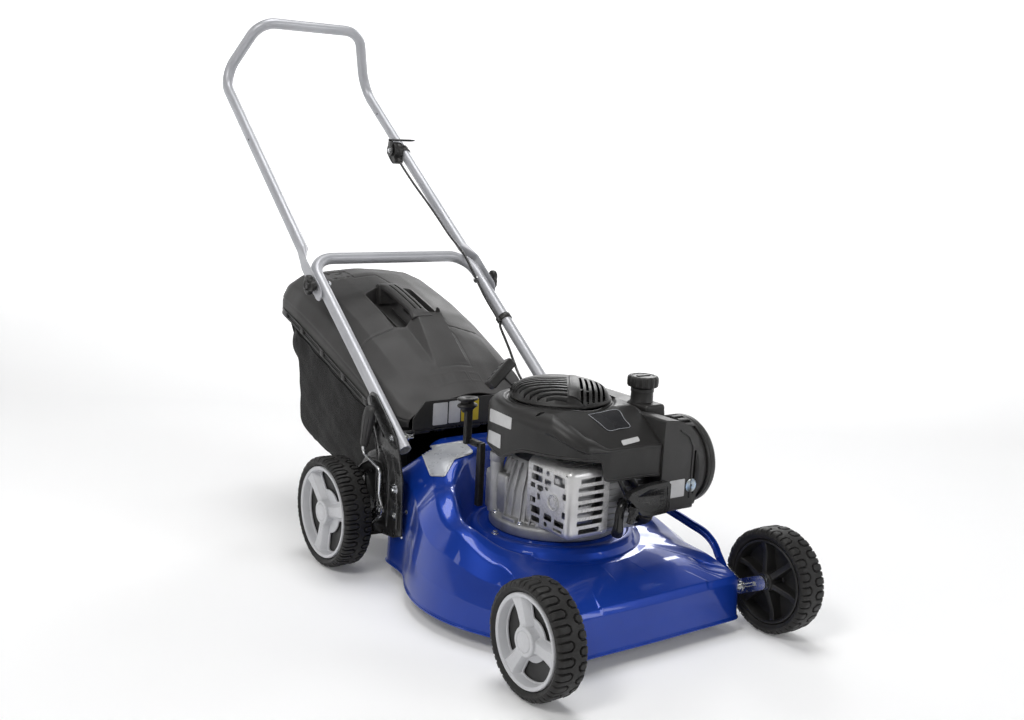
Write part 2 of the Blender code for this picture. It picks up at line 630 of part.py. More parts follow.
knob_profile = [(0.0, 0.0190), (0.0085, 0.0190), (0.0100, 0.0150), (0.0100, 0.0), (0.0, 0.0)]
for side, label in ((1, "left"), (-1, "right")):
    # fold bolt: dome head inside, thread through tube and paddle
    bolt = rod("fold_bolt_" + label, (side * 0.1715, *FOLD), (side * 0.2120, *FOLD), 0.0040, 12)
    head = rod("bolt_head", (side * 0.1675, *FOLD), (side * 0.1722, *FOLD), 0.0075, 12)
    join_union(bolt, [head])
    origin_to(bolt, (side * 0.19, *FOLD))
    finish(bolt, ZINC)
    # three-lobed knob, its bore clear of the thread
    lobes = [rod("lobe", (side * 0.2060, FOLD[0] + 0.013 * math.cos(t), FOLD[1] + 0.013 * math.sin(t)),
                 (side * 0.2165, FOLD[0] + 0.013 * math.cos(t), FOLD[1] + 0.013 * math.sin(t)), 0.0085, 12)
             for t in (0.6, 0.6 + 2.094, 0.6 + 4.189)]
    knob = rod("star_knob_" + label, (side * 0.2040, *FOLD), (side * 0.2220, *FOLD), 0.0125, 18)
    join_union(knob, lobes)
    cut(knob, rod("cut_knob_" + label, (side * 0.2, *FOLD), (side * 0.2127, *FOLD), 0.0044, 12, cutters))
    origin_to(knob, (side * 0.2040, *FOLD))
    finish(knob, BLACK)
    # bolt that holds the lower handle on its bracket
    lowbolt = rod("lower_handle_bolt_" + label, (side * 0.1600, *BOLT_LOWER), (side * 0.2032, *BOLT_LOWER), 0.0040, 12)
    join_union(lowbolt, [rod("h", (side * 0.2029, *BOLT_LOWER), (side * 0.2064, *BOLT_LOWER), 0.0078, 6),
                         rod("n", (side * 0.1680, *BOLT_LOWER), (side * 0.1745, *BOLT_LOWER), 0.0078, 6)])
    origin_to(lowbolt, (side * 0.19, *BOLT_LOWER))
    finish(lowbolt, ZINC)

# -------------------------------------------------------- throttle and cable
def on_upper(y, side=1):
    a, b = Vector(UPPER_START), Vector(UPPER_BEND)
    t = (y - a.y) / (b.y - a.y)
    p = a.lerp(b, t)
    return Vector((side * p.x, p.y, p.z))


leg = on_upper(0.8080)
up = slope
normal = flat_up
inward = Vector((-1, 0, 0))
# housing: a rounded block on the inner side of the left leg
hx0, hx1 = leg.x - TUBE_R - GAP - 0.0220, leg.x - TUBE_R - GAP - 0.0004
THROTTLE = Vector(((hx0 + hx1) / 2, leg.y, leg.z)) + normal * 0.0030
turn = math.atan2(up.z, up.y)
tilt = Matrix.Translation(THROTTLE) @ Matrix.Rotation(turn, 4, "X")
half = (hx1 - hx0) / 2
housing = rod("throttle_housing", (-half, 0, 0), (half, 0, 0), 0.0195, 20)
join_union(housing, [box("body", (-half, -0.0275, -0.0190), (half, 0.0060, 0.0080), 0.0040)])
housing.data.transform(tilt)
finish(housing, BLACK)
pivot = THROTTLE + Vector((-half - GAP, 0, 0))
lever_t = rod("throttle_lever", (0, 0, 0), (-0.0040, 0, 0), 0.0125, 18)
finger = prism("finger", [(-0.0060, 0.0), (0.0060, 0.0), (0.0045, 0.0255), (-0.0045, 0.0255)], "X", -0.0038, -0.0002)
tab = prism("tab", [(-0.0038, 0.0218), (-0.0003, 0.0212), (0.0440, 0.0212), (0.0600, 0.0235), (0.0605, 0.0255), (-0.0038, 0.0255)],
            "Y", -0.0040, 0.0040)
join_union(lever_t, [finger, tab])
lever_t.data.transform(Matrix.Translation(pivot) @ Matrix.Rotation(turn + math.radians(-35), 4, "X"))
origin_to(lever_t, pivot)
finish(lever_t, BLACK)

# cable: from the housing down the legs, past the clip, to the engine's rear left
def spline_points(knots, count):
    """Points at even steps of a smooth curve through the knots."""
    k = [Vector(p) for p in knots]
    k = [2 * k[0] - k[1]] + k + [2 * k[-1] - k[-2]]
    dense = []
    for i in range(1, len(k) - 2):
        p0, p1, p2, p3 = k[i - 1:i + 3]
        for j in range(24):
            t = j / 24
            dense.append(0.5 * ((2 * p1) + (p2 - p0) * t + (2 * p0 - 5 * p1 + 4 * p2 - p3) * t * t
                                + (3 * p1 - p0 - 3 * p2 + p3) * t ** 3))
    dense.append(k[-2])
    length = [0.0]
    for a, b in zip(dense, dense[1:]):
        length.append(length[-1] + (b - a).length)
    out, j = [], 0
    for i in range(count):
        want = length[-1] * i / (count - 1)
        while j < len(dense) - 2 and length[j + 1] < want:
            j += 1
        span = length[j + 1] - length[j] or 1
        out.append(dense[j].lerp(dense[j + 1], (want - length[j]) / span))
    return out


CABLE_R = 0.0026
low_axis = (Vector(LOWER_TOP) - Vector(LOWER_END)).normalized()
CLIP = on_lower(0.615)
exit_cable = THROTTLE - up * (0.0275 + 0.0008) - normal * 0.006
cable_knots = [exit_cable, exit_cable - up * 0.022 - normal * 0.001, (0.1600, 0.7222, 0.6717), (0.1620, 0.6774, 0.6419),
               (0.1632, 0.6284, 0.6094), (0.1648, 0.5745, 0.5713), (0.1655, 0.5190, 0.5392), (0.1648, 0.4830, 0.5080), (0.1672, 0.4350, 0.4590),
               (CLIP.x - 0.0168, CLIP.y - 0.002, CLIP.z - 0.003), (0.1680, 0.3740, 0.4026), (0.1662, 0.3402, 0.3680),
               (0.1625, 0.3156, 0.3445), (0.1550, 0.2800, 0.3185), (0.1400, 0.2080, 0.2900), (0.1230, 0.1400, 0.2660),
               (0.1080, 0.0960, 0.2540), (0.0990, 0.0740, 0.2500)]
cable = curve_object("throttle_cable", spline_points(cable_knots, 48), CABLE_R, 2)
finish(cable, BLACK)

# clip round the lower handle that holds the cable
clip_frame = low_axis.to_track_quat("Z", "X").to_matrix().to_4x4()
clip = lathe("cable_clip", [(TUBE_R + GAP, 0.0060), (TUBE_R + 0.0022, 0.0060), (TUBE_R + 0.0022, -0.0060),
                            (TUBE_R + GAP, -0.0060)], 20, closed=True)
apply_all(clip)
clip.data.transform(Matrix.Translation(CLIP) @ clip_frame)
finish(clip, BLACK)

# ----------------------------------------------------------- flap and catcher
ROD_Y, ROD_Z = 0.2190, 0.2520
flap_rod = rod("flap_rod", (-0.1985, ROD_Y, ROD_Z), (0.1985, ROD_Y, ROD_Z), 0.0030, 12)
origin_to(flap_rod, (0, ROD_Y, ROD_Z))
finish(flap_rod, ZINC)
flap = prism("rear_flap", [(-0.134, 0.2570), (-0.134, 0.2780), (-0.108, 0.3080), (0.108, 0.3080), (0.134, 0.2780),
                           (0.134, 0.2570)], "Y", 0.2085, 0.2115, bevel=0.0006)
ears = []
for x in (-0.110, 0.0, 0.110):
    ears.append(lathe("flap_eye", [(0.0034, 0.016), (0.0066, 0.016), (0.0066, -0.016), (0.0034, -0.016)], 14, closed=True))
    apply_all(ears[-1])
    ears[-1].data.transform(Matrix.Translation((x, ROD_Y, ROD_Z)) @ Matrix.Rotation(math.pi / 2, 4, "Y"))
    ears.append(box("flap_web", (x - 0.016, 0.2087, ROD_Z + 0.0040), (x + 0.016, 0.2200, ROD_Z + 0.0075)))
join_union(flap, ears)
origin_to(flap, (0, ROD_Y, ROD_Z))
finish(flap, BLACK, smooth=False)

LID_TABLE = [   # y, half width, rim height, shoulder height, shoulder half width, crown height
    (0.2150, 0.140, 0.2620, 0.288, 0.104, 0.316),
    (0.2350, 0.158, 0.2600, 0.302, 0.110, 0.330),
    (0.2900, 0.168, 0.2720, 0.341, 0.114, 0.366),
    (0.3600, 0.169, 0.2950, 0.377, 0.118, 0.400),
    (0.4500, 0.170, 0.3260, 0.419, 0.120, 0.440),
    (0.5400, 0.170, 0.3570, 0.451, 0.122, 0.470),
    (0.6200, 0.170, 0.3830, 0.472, 0.122, 0.492),
    (0.6900, 0.166, 0.3990, 0.480, 0.121, 0.492),
    (0.7080, 0.158, 0.4040, 0.474, 0.117, 0.484),
]


def lid_ring(row, inset=0.0):
    """Half-arch of points from the left rim over the crown to the right rim."""
    y, w, rim, zs, ws, zc = row
    w, ws, zs, zc = w - inset, ws - inset, zs - inset, zc - inset
    half = [(w, rim), (w, rim + 0.42 * (zs - rim)), (w - 0.30 * (w - ws), rim + 0.75 * (zs - rim)), (ws, zs),
            (0.55 * ws, zs + 0.62 * (zc - zs)), (0.0, zc)]
    full = half + [(-x, z) for x, z in reversed(half[:-1])]
    return [(x, y, z) for x, z in full]


def lid_skin():
    bm = bmesh.new()
    rows = [[bm.verts.new(p) for p in lid_ring(r)] for r in LID_TABLE]
    n = len(rows[0])
    for a, b in zip(rows, rows[1:]):
        for i in range(n - 1):
            bm.faces.new((a[i], a[i + 1], b[i + 1], b[i]))
    # rear wall: from the last arch down to its rim line
    last = rows[-1]
    base = [bm.verts.new((v.co.x, LID_TABLE[-1][0] + 0.004, LID_TABLE[-1][2])) for v in last[1:-1]]
    chain = [last[0]] + base + [last[-1]]
    for i in range(n - 1):
        corner = [last[i], last[i + 1], chain[i + 1], chain[i]]
        keep = []
        for v in corner:
            if v not in keep:
                keep.append(v)
        if len(keep) > 2:
            bm.faces.new(keep)
    bmesh.ops.recalc_face_normals(bm, faces=bm.faces)
    for face in bm.faces:
        if abs(face.calc_center_median().x) < 0.05 and face.normal.z < 0 and face.calc_center_median().y < 0.6:
            bmesh.ops.reverse_faces(bm, faces=bm.faces)
            break
    obj = mesh_from("catcher_lid", bm)
    mod = obj.modifiers.new("Solidify", "SOLIDIFY")
    mod.thickness = 0.0030
    mod.offset = -1.0
    mod.use_even_offset = True
    return obj


lid = lid_skin()
# well under the carrying handle, its walls ending inside the lid's skin
cut(lid, box("cut_grip_well", (-0.0560, 0.385, 0.330), (0.0560, 0.548, 0.560), where=cutters))
apply_all(lid)
well = prism("well", [(0.3815, 0.3720), (0.5510, 0.4310), (0.5510, 0.5600), (0.3815, 0.5600)], "X", -0.0590, 0.0590)
cut(well, prism("cut_well", [(0.3850, 0.3765), (0.5480, 0.4335), (0.5480, 0.5700), (0.3850, 0.5700)], "X", -0.0560, 0.0560, where=cutters))
apply_all(well)
cut(well, skin("lid_envelope", [lid_ring(r, 0.0012) for r in LID_TABLE], cap=True, where=cutters), "INTERSECT")
apply_all(well)
grip_bar = tube("grip_bar", [(0, 0.3790, 0.4075), (0, 0.400, 0.4265), (0, 0.440, 0.4420), (0, 0.490, 0.4560), (0, 0.527, 0.4650)], 0.0110, 2)
join_union(lid, [well, grip_bar])
finish(lid, DARKGREY)

BAG_TABLE = [   # y, half width, top height, half width below, bottom height
    (0.2250, 0.130, 0.2560, 0.128, 0.1220),
    (0.2600, 0.155, 0.2590, 0.148, 0.1180),
    (0.3600, 0.163, 0.2890, 0.157, 0.1160),
    (0.4600, 0.164, 0.3240, 0.159, 0.1170),
    (0.5600, 0.164, 0.3580, 0.159, 0.1320),
    (0.6150, 0.163, 0.3770, 0.158, 0.1440),
    (0.6340, 0.162, 0.3830, 0.157, 0.2450),
    (0.6630, 0.160, 0.3890, 0.155, 0.3080),
    (0.6800, 0.156, 0.3930, 0.152, 0.3580),
]


def bag_ring(row):
    y, w, top, wb, low = row
    mid = 0.5 * (top + low)
    half = [(w, top), (w + 0.0005, mid), (wb, low + 0.030), (wb - 0.025, low + 0.004), (0.0, low)]
    full = half + [(-x, z) for x, z in reversed(half[:-1])]
    return [(x, y, z) for x, z in full]


def bag_skin():
    bm = bmesh.new()
    rows = [[bm.verts.new(p) for p in bag_ring(r)] for r in BAG_TABLE]
    n = len(rows[0])
    for a, b in zip(rows, rows[1:]):
        for i in range(n - 1):
            bm.faces.new((a[i], a[i + 1], b[i + 1], b[i]))
    last = rows[-1]
    top = BAG_TABLE[-1][2]
    base = [bm.verts.new((v.co.x, BAG_TABLE[-1][0] + 0.003, top)) for v in last[1:-1]]
    chain = [last[0]] + base + [last[-1]]
    for i in range(n - 1):
        keep = []
        for v in (last[i], last[i + 1], chain[i + 1], chain[i]):
            if v not in keep:
                keep.append(v)
        if len(keep) > 2:
            bm.faces.new(keep)
    bmesh.ops.recalc_face_normals(bm, faces=bm.faces)
    for face in bm.faces:
        c = face.calc_center_median()
        if abs(c.x) < 0.05 and face.normal.z > 0.5 and c.z < 0.2:
            bmesh.ops.reverse_faces(bm, faces=bm.faces)
            break
    obj = mesh_from("catcher_bag", bm)
    mod = obj.modifiers.new("Solidify", "SOLIDIFY")
    mod.thickness = 0.0040
    mod.offset = -1.0
    mod.use_even_offset = True
    return obj


bag = bag_skin()
finish(bag, FABRIC)

# -------------------------------------------------------------------- engine
E = Vector((0, ENGINE_Y, 0))


def at_engine(obj):
    obj.location = E
    return obj


SHAFT_R = 0.0125
crankcase = lathe("crankcase", [
    (SHAFT_R + GAP, 0.2620), (0.0720, 0.2620), (0.0760, 0.2580), (0.0900, 0.2120), (0.0955, 0.1640), (0.1080, 0.1600),
    (0.1110, 0.1560), (0.1110, DECK_PLATE + 0.0005), (SHAFT_R + GAP, DECK_PLATE + 0.0005)], 28, closed=True)
apply_all(crankcase)
crankcase.data.transform(Matrix.Translation(E))
head = box("head", (-0.0030, -0.1880, 0.1650), (0.0600, -0.1000, 0.2560), 0.006)
apply_all(head)
post = rod("post", (-0.0860, 0.0200, 0.1600), (-0.0860, 0.0200, 0.2620), 0.0085, 12)
join_union(crankcase, [head, post])
cut(crankcase, box("cut_muffler_bay", (-0.1200, -0.2200, 0.1595), (-0.0040, -0.0790, 0.3000), where=cutters))
apply_all(crankcase)
finish(crankcase, CAST)

muffler = box("muffler", (-0.0760, -0.1800, 0.1760), (-0.0190, -0.0860, 0.2760), 0.010, 2)
finish(muffler, STEEL)
guard = box("muffler_guard", (-0.0865, -0.1915, 0.1605), (-0.0050, -0.0800, 0.2890), 0.010, 2)
apply_all(guard)
inner = box("cut_guard_in", (-0.0845, -0.1895, 0.1625), (0.0100, -0.0600, 0.2870), 0.0085, 2, cutters)
cut(guard, inner)
for i in range(5):
    z = 0.1770 + 0.0205 * i
    cut(guard, box("cut_slot_y%d" % i, (-0.0660, -0.2000, z), (-0.0170, -0.1850, z + 0.0110), where=cutters))
for i in range(3):
    for j in range(4):
        y, z = -0.1700 + 0.0290 * i, 0.1780 + 0.0260 * j
        cut(guard, box("cut_slot_x%d%d" % (i, j), (-0.0950, y, z), (-0.0800, y + 0.0200, z + 0.0165), where=cutters))
finish(guard, ZINC)

# blower housing: outline in plan, low edge, shoulder, and the ring under the recoil cover
SHROUD = [(-0.062, -0.200, 0.2940), (0.000, -0.2085, 0.2900), (0.060, -0.2085, 0.256), (0.094, -0.2050, 0.254),
          (0.1000, -0.1700, 0.258), (0.1000, -0.1000, 0.262), (0.1000, -0.0300, 0.264), (0.0960, 0.0150, 0.266),
          (0.0700, 0.0520, 0.268), (0.0330, 0.0710, 0.270), (-0.0100, 0.0750, 0.272), (-0.0550, 0.0620, 0.274),
          (-0.0940, 0.0310, 0.275), (-0.1140, -0.0080, 0.276), (-0.1200, -0.0500, 0.278), (-0.1140, -0.0950, 0.2860),
          (-0.0980, -0.1500, 0.2915), (-0.0830, -0.1820, 0.2930)]


def dense(loop, n):
    """Points evenly placed by index along a closed loop, smoothly rounded."""
    out = []
    m = len(loop)
    for i in range(n):
        t = i * m / n
        k = int(t)
        f = t - k
        p0, p1, p2, p3 = (Vector(loop[(k + d) % m]) for d in (-1, 0, 1, 2))
        out.append(0.5 * ((2 * p1) + (p2 - p0) * f + (2 * p0 - 5 * p1 + 4 * p2 - p3) * f * f
                          + (3 * p1 - p0 - 3 * p2 + p3) * f ** 3))
    return out


def shroud_top(x, y):
    """Height of the blower housing's top: level round the cover, falling to the front."""
    r = math.hypot(x, y - ENGINE_Y)
    front = max(0.0, (ENGINE_Y - 0.075) - y)
    z = 0.3600 - 0.10 * max(0.0, r - 0.088) - 0.62 * front - 1.2 * front * front
    return z


loop = dense(SHROUD, 36)
low = [tuple(p) for p in loop]
shoulder = [(p.x, p.y, max(shroud_top(p.x, p.y) - 0.0150, p.z + 0.0060)) for p in loop]
inset, ring_in = [], []
for p in loop:
    d = Vector((p.x, p.y - ENGINE_Y))
    q = d * ((d.length - 0.0100) / d.length)
    inset.append((q.x, q.y + ENGINE_Y, max(shroud_top(q.x, q.y + ENGINE_Y) - 0.0010, p.z + 0.0120)))
    c = d.normalized() * 0.0835
    ring_in.append((c.x, c.y + ENGINE_Y, 0.3600))
blower = skin("blower_housing", [low, shoulder, inset, ring_in], thickness=0.0030)
finish(blower, BLACK)

cover = lathe("recoil_cover", [(0.0860, 0.3608), (0.0860, 0.3640), (0.0800, 0.3690), (0.0740, 0.3790), (0.0620, 0.3865),
                               (0.0420, 0.3915), (0.0150, 0.3940)][::-1], 28)
mod = cover.modifiers.new("Solidify", "SOLIDIFY")
mod.thickness = 0.0030
mod.offset = -1.0
at_engine(cover)
finish(cover, BLACK)

crankshaft = lathe("crankshaft", [(0.0, 0.3440), (0.0080, 0.3440), (0.0080, 0.3220), (SHAFT_R, 0.3140), (SHAFT_R, 0.0720), (0.0, 0.0720)], 20)
at_engine(crankshaft)
finish(crankshaft, STEEL)
flywheel = lathe("flywheel", [(SHAFT_R + GAP, 0.3120), (0.0620, 0.3120), (0.0640, 0.3310), (0.0780, 0.3310), (0.0780, 0.2970),
                              (0.0700, 0.2910), (SHAFT_R + GAP, 0.2910)], 32, closed=True)
at_engine(flywheel)
finish(flywheel, CAST)
pulley = lathe("starter_pulley", [(0.0090, 0.3560), (0.0340, 0.3560), (0.0340, 0.3540), (0.0300, 0.3525), (0.0300, 0.3495),
                                  (0.0340, 0.3480), (0.0340, 0.3460), (0.0090, 0.3460)], 24, closed=True)
at_engine(pulley)
finish(pulley, BLACK)

BLADE_R = 0.150
disc = lathe("blade_disc", [(SHAFT_R + GAP, 0.1000), (0.0220, 0.1000), (0.0240, 0.0800), (0.0700, 0.0740), (0.1300, 0.0720), (0.1620, 0.0720),
                            (0.1620, 0.0690), (0.1300, 0.0690), (0.0700, 0.0710), (0.0300, 0.0710), (SHAFT_R + GAP, 0.0740)], 32, closed=True)
at_engine(disc)
for i, label in enumerate("ab"):
    x = BLADE_R * (1 - 2 * i)
    cut(disc, rod("cut_disc_" + label, (x, ENGINE_Y, 0.06), (x, ENGINE_Y, 0.09), 0.0055, 12, cutters))
    s = 1 - 2 * i
    outline = [(BLADE_R + 0.014 * math.cos(math.radians(t)), 0.014 * math.sin(math.radians(t))) for t in range(120, 241, 30)]
    outline += [(BLADE_R + 0.006, -0.0180), (CUT_RADIUS - 0.004, -0.0180), (CUT_RADIUS, -0.012), (CUT_RADIUS - 0.0005, 0.0140), (BLADE_R + 0.006, 0.0180)]
    outline = [(s * a, ENGINE_Y + s * b) for a, b in outline]
    blade = prism("swing_blade_" + label, outline, "Z", 0.0650, 0.0678, holes=(circle(x, ENGINE_Y, 0.0055, 12),))
    origin_to(blade, (x, ENGINE_Y, 0.0664))
    finish(blade, STEEL, smooth=False)
    bolt = lathe("blade_bolt_" + label, [(0.0, 0.0790), (0.0085, 0.0790), (0.0085, 0.0725), (0.0050, 0.0725), (0.0050, 0.0645),
                                         (0.0085, 0.0645), (0.0085, 0.0600), (0.0, 0.0600)], 12)
    bolt.location = (x, ENGINE_Y, 0)
    finish(bolt, ZINC)
finish(disc, BLACKSTEEL)

tank = box("fuel_tank", (0.1035, -0.1330, 0.2720), (0.1680, 0.0700, 0.3500), 0.012, 2)
apply_all(tank)
CAP = (0.1290, -0.1060)
neck = rod("neck", (CAP[0], CAP[1], 0.3450), (CAP[0], CAP[1], 0.3800), 0.0165, 20)
join_union(tank, [neck])
finish(tank, BLACK)
cap = lathe("fuel_cap", [(0.0, 0.3990), (0.0190, 0.3990), (0.0232, 0.3960), (0.0240, 0.3860), (0.0215, 0.3830), (0.0215, 0.3808), (0.0, 0.3808)], 24)
cap.location = (*CAP, 0)
finish(cap, BLACK)

air_base = box("air_cleaner_base", (0.1035, -0.2180, 0.1920), (0.1730, -0.1370, 0.3320), 0.014, 2)
apply_all(air_base)
AC = (-0.1440, 0.2560)
drum = rod("drum", (0.1690, *AC), (0.1860, *AC), 0.0735, 28)
join_union(air_base, [drum])
cut(air_base, rod("cut_filter_bay", (0.1750, *AC), (0.1950, *AC), 0.0660, 28, cutters))
apply_all(air_base)
finish(air_base, BLACK)
air_filter = rod("air_filter", (0.1760, *AC), (0.1900, *AC), 0.0600, 28)
finish(air_filter, FOAM)
air_cover = lathe("air_cleaner_cover", [(0.0, 0.0230), (0.0660, 0.0230), (0.0740, 0.0190), (0.0770, 0.0120), (0.0770, 0.0), (0.0640, 0.0),
                                        (0.0640, 0.0100), (0.0, 0.0100)], 32)
air_cover.rotation_euler = (0, math.pi / 2, 0)
air_cover.location = (0.1864, *AC)
finish(air_cover, BLACK)

carb = box("carburettor", (0.0780, -0.1330, 0.2080), (0.1030, -0.0950, 0.2500), 0.004)
finish(carb, CAST)

dip_tube = tube("oil_fill_tube", rounded([(0.0760, -0.1500, 0.1615), (0.0760, -0.1750, 0.1700), (0.0740, -0.2080, 0.1860), (0.0660, -0.2250, 0.2080)], 0.02, 3), 0.0095, 2)
finish(dip_tube, BLACK)
dip = prism("oil_dipstick", [(0.0100, 0.2260), (0.0150, 0.2370), (0.0480, 0.2500), (0.0850, 0.2520), (0.0880, 0.2460), (0.0880, 0.2270), (0.0750, 0.2205), (0.0350, 0.2215)],
            "Y", -0.2350, -0.2200, bevel=0.003)
finish(dip, BLACK)

plug = rod("spark_plug_boot", (0.0240, -0.1890, 0.2120), (0.0240, -0.2100, 0.2120), 0.0085, 14)
finish(plug, BLACK)

# starter rope from the cover's left rear to the grip
STEM = Vector((-0.0560, 0.0170, 0.3720))
away = Vector((-0.62, 0.42, 0.66)).normalized()
grip_c = STEM + away * 0.0360
grip_s = box("starter_grip", (-0.0135, -0.0085, -0.0240), (0.0135, 0.0085, 0.0240), 0.004)
axis_z = Vector((0.52, 0.10, 0.85)).normalized()
axis_x = away.cross(axis_z).normalized()
axis_z = axis_x.cross(away).normalized()
frame_g = Matrix((axis_x, away, axis_z)).transposed().to_4x4()
apply_all(grip_s)
grip_s.data.transform(Matrix.Translation(STEM + away * 0.0300) @ frame_g)
finish(grip_s, BLACK)
rope = rod("starter_rope", STEM, STEM + away * (0.0300 - 0.0085 - 0.0004), 0.0024, 8)
finish(rope, BLACK)

guide = prism("rope_guide", [(-0.1130, 0.0980), (-0.1030, 0.0880), (-0.0830, 0.0840), (-0.0720, 0.0950), (-0.0800, 0.1080), (-0.1000, 0.1120)],
              "Z", 0.3270, 0.3380, bevel=0.003)
stem = box("stem", (-0.0990, 0.0900, 0.2550), (-0.0840, 0.1000, 0.3300))
arm = box("arm", (-0.0900, 0.0600, 0.2540), (-0.0780, 0.1000, 0.2640))
foot = box("foot", (-0.0900, 0.0560, 0.1500), (-0.0780, 0.0680, 0.2640))
join_union(guide, [stem, arm, foot])
finish(guide, BLACK)
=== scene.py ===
"""Looks of the walk-behind lawn mower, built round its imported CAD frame.

Pieces are made in design metres (crankshaft at y = -0.044) and moved by SHIFT
into the frame's own metres when they are placed on their body.
"""

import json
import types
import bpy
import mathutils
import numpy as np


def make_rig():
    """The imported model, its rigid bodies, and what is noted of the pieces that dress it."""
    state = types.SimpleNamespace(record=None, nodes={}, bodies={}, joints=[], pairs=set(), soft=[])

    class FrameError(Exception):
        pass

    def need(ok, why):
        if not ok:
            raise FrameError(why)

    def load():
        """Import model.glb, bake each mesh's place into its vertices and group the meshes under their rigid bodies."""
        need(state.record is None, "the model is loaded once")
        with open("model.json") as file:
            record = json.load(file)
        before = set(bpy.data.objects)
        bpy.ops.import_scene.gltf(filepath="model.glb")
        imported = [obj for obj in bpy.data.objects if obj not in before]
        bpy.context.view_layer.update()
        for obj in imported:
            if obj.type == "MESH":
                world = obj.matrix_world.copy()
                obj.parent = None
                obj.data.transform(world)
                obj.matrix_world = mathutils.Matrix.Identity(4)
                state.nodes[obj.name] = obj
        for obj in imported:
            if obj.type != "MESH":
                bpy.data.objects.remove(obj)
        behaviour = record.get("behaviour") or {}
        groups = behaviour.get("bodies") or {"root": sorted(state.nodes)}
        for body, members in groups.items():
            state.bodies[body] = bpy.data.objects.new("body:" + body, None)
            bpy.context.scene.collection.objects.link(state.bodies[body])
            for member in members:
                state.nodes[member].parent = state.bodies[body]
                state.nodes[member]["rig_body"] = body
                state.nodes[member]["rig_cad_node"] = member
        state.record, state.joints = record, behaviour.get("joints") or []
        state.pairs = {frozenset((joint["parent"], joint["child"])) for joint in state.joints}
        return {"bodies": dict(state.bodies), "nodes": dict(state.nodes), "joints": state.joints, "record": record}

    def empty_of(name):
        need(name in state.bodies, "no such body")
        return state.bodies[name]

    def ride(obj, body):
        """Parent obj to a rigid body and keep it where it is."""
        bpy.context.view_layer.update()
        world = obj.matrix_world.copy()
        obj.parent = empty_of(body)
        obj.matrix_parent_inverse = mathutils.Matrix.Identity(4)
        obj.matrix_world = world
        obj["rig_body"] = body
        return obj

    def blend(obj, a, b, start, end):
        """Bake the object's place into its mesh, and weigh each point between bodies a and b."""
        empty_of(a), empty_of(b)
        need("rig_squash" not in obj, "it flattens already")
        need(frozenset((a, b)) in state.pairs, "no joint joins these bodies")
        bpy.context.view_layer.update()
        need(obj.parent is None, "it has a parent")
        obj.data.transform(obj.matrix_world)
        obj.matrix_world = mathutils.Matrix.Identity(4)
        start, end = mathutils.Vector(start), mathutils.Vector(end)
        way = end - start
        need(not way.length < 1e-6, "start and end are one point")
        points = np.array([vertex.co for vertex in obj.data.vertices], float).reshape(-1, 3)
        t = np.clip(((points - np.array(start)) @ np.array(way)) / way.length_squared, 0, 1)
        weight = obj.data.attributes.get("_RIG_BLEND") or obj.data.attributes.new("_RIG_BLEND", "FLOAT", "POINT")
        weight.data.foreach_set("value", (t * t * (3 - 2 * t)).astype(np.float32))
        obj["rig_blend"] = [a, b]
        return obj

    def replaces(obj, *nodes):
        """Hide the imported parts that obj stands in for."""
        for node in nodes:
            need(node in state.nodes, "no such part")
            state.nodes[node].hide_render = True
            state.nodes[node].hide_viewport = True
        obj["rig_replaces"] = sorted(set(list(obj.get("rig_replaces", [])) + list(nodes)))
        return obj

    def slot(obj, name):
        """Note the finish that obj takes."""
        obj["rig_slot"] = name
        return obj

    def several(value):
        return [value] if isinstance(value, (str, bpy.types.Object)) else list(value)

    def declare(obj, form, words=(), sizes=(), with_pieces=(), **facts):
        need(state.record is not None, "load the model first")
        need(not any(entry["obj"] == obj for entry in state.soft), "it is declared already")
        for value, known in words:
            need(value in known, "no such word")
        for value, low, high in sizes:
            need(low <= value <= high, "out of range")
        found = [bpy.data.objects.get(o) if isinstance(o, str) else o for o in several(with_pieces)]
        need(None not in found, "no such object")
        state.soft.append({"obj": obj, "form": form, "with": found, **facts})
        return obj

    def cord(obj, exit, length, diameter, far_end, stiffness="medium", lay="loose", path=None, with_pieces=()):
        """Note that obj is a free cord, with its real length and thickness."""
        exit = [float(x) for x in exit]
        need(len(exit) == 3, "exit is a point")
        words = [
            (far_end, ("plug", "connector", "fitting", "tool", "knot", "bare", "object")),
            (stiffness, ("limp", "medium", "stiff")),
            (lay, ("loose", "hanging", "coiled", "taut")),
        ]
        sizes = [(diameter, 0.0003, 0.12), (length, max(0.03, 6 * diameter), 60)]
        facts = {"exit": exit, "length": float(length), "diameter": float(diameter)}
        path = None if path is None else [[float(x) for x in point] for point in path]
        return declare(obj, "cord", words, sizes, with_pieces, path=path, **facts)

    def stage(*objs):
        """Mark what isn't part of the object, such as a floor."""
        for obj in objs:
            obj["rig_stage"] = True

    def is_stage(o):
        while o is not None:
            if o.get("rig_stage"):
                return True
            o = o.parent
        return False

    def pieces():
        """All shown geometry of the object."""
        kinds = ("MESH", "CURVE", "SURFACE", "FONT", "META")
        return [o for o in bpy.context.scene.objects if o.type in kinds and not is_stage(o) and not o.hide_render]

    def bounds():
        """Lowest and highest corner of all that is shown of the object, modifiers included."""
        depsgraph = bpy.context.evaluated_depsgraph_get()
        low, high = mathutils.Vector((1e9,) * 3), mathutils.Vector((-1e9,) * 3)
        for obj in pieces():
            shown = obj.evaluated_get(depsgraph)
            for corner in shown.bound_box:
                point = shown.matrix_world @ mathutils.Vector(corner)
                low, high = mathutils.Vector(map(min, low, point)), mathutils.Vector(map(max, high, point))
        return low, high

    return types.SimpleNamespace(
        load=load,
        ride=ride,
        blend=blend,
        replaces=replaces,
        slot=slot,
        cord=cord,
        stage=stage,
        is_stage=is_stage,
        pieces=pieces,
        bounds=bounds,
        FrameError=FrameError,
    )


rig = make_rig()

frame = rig.load()

import json
import math

import bmesh
import bpy
import numpy as np
from mathutils import Matrix, Vector
from mathutils import noise as mnoise

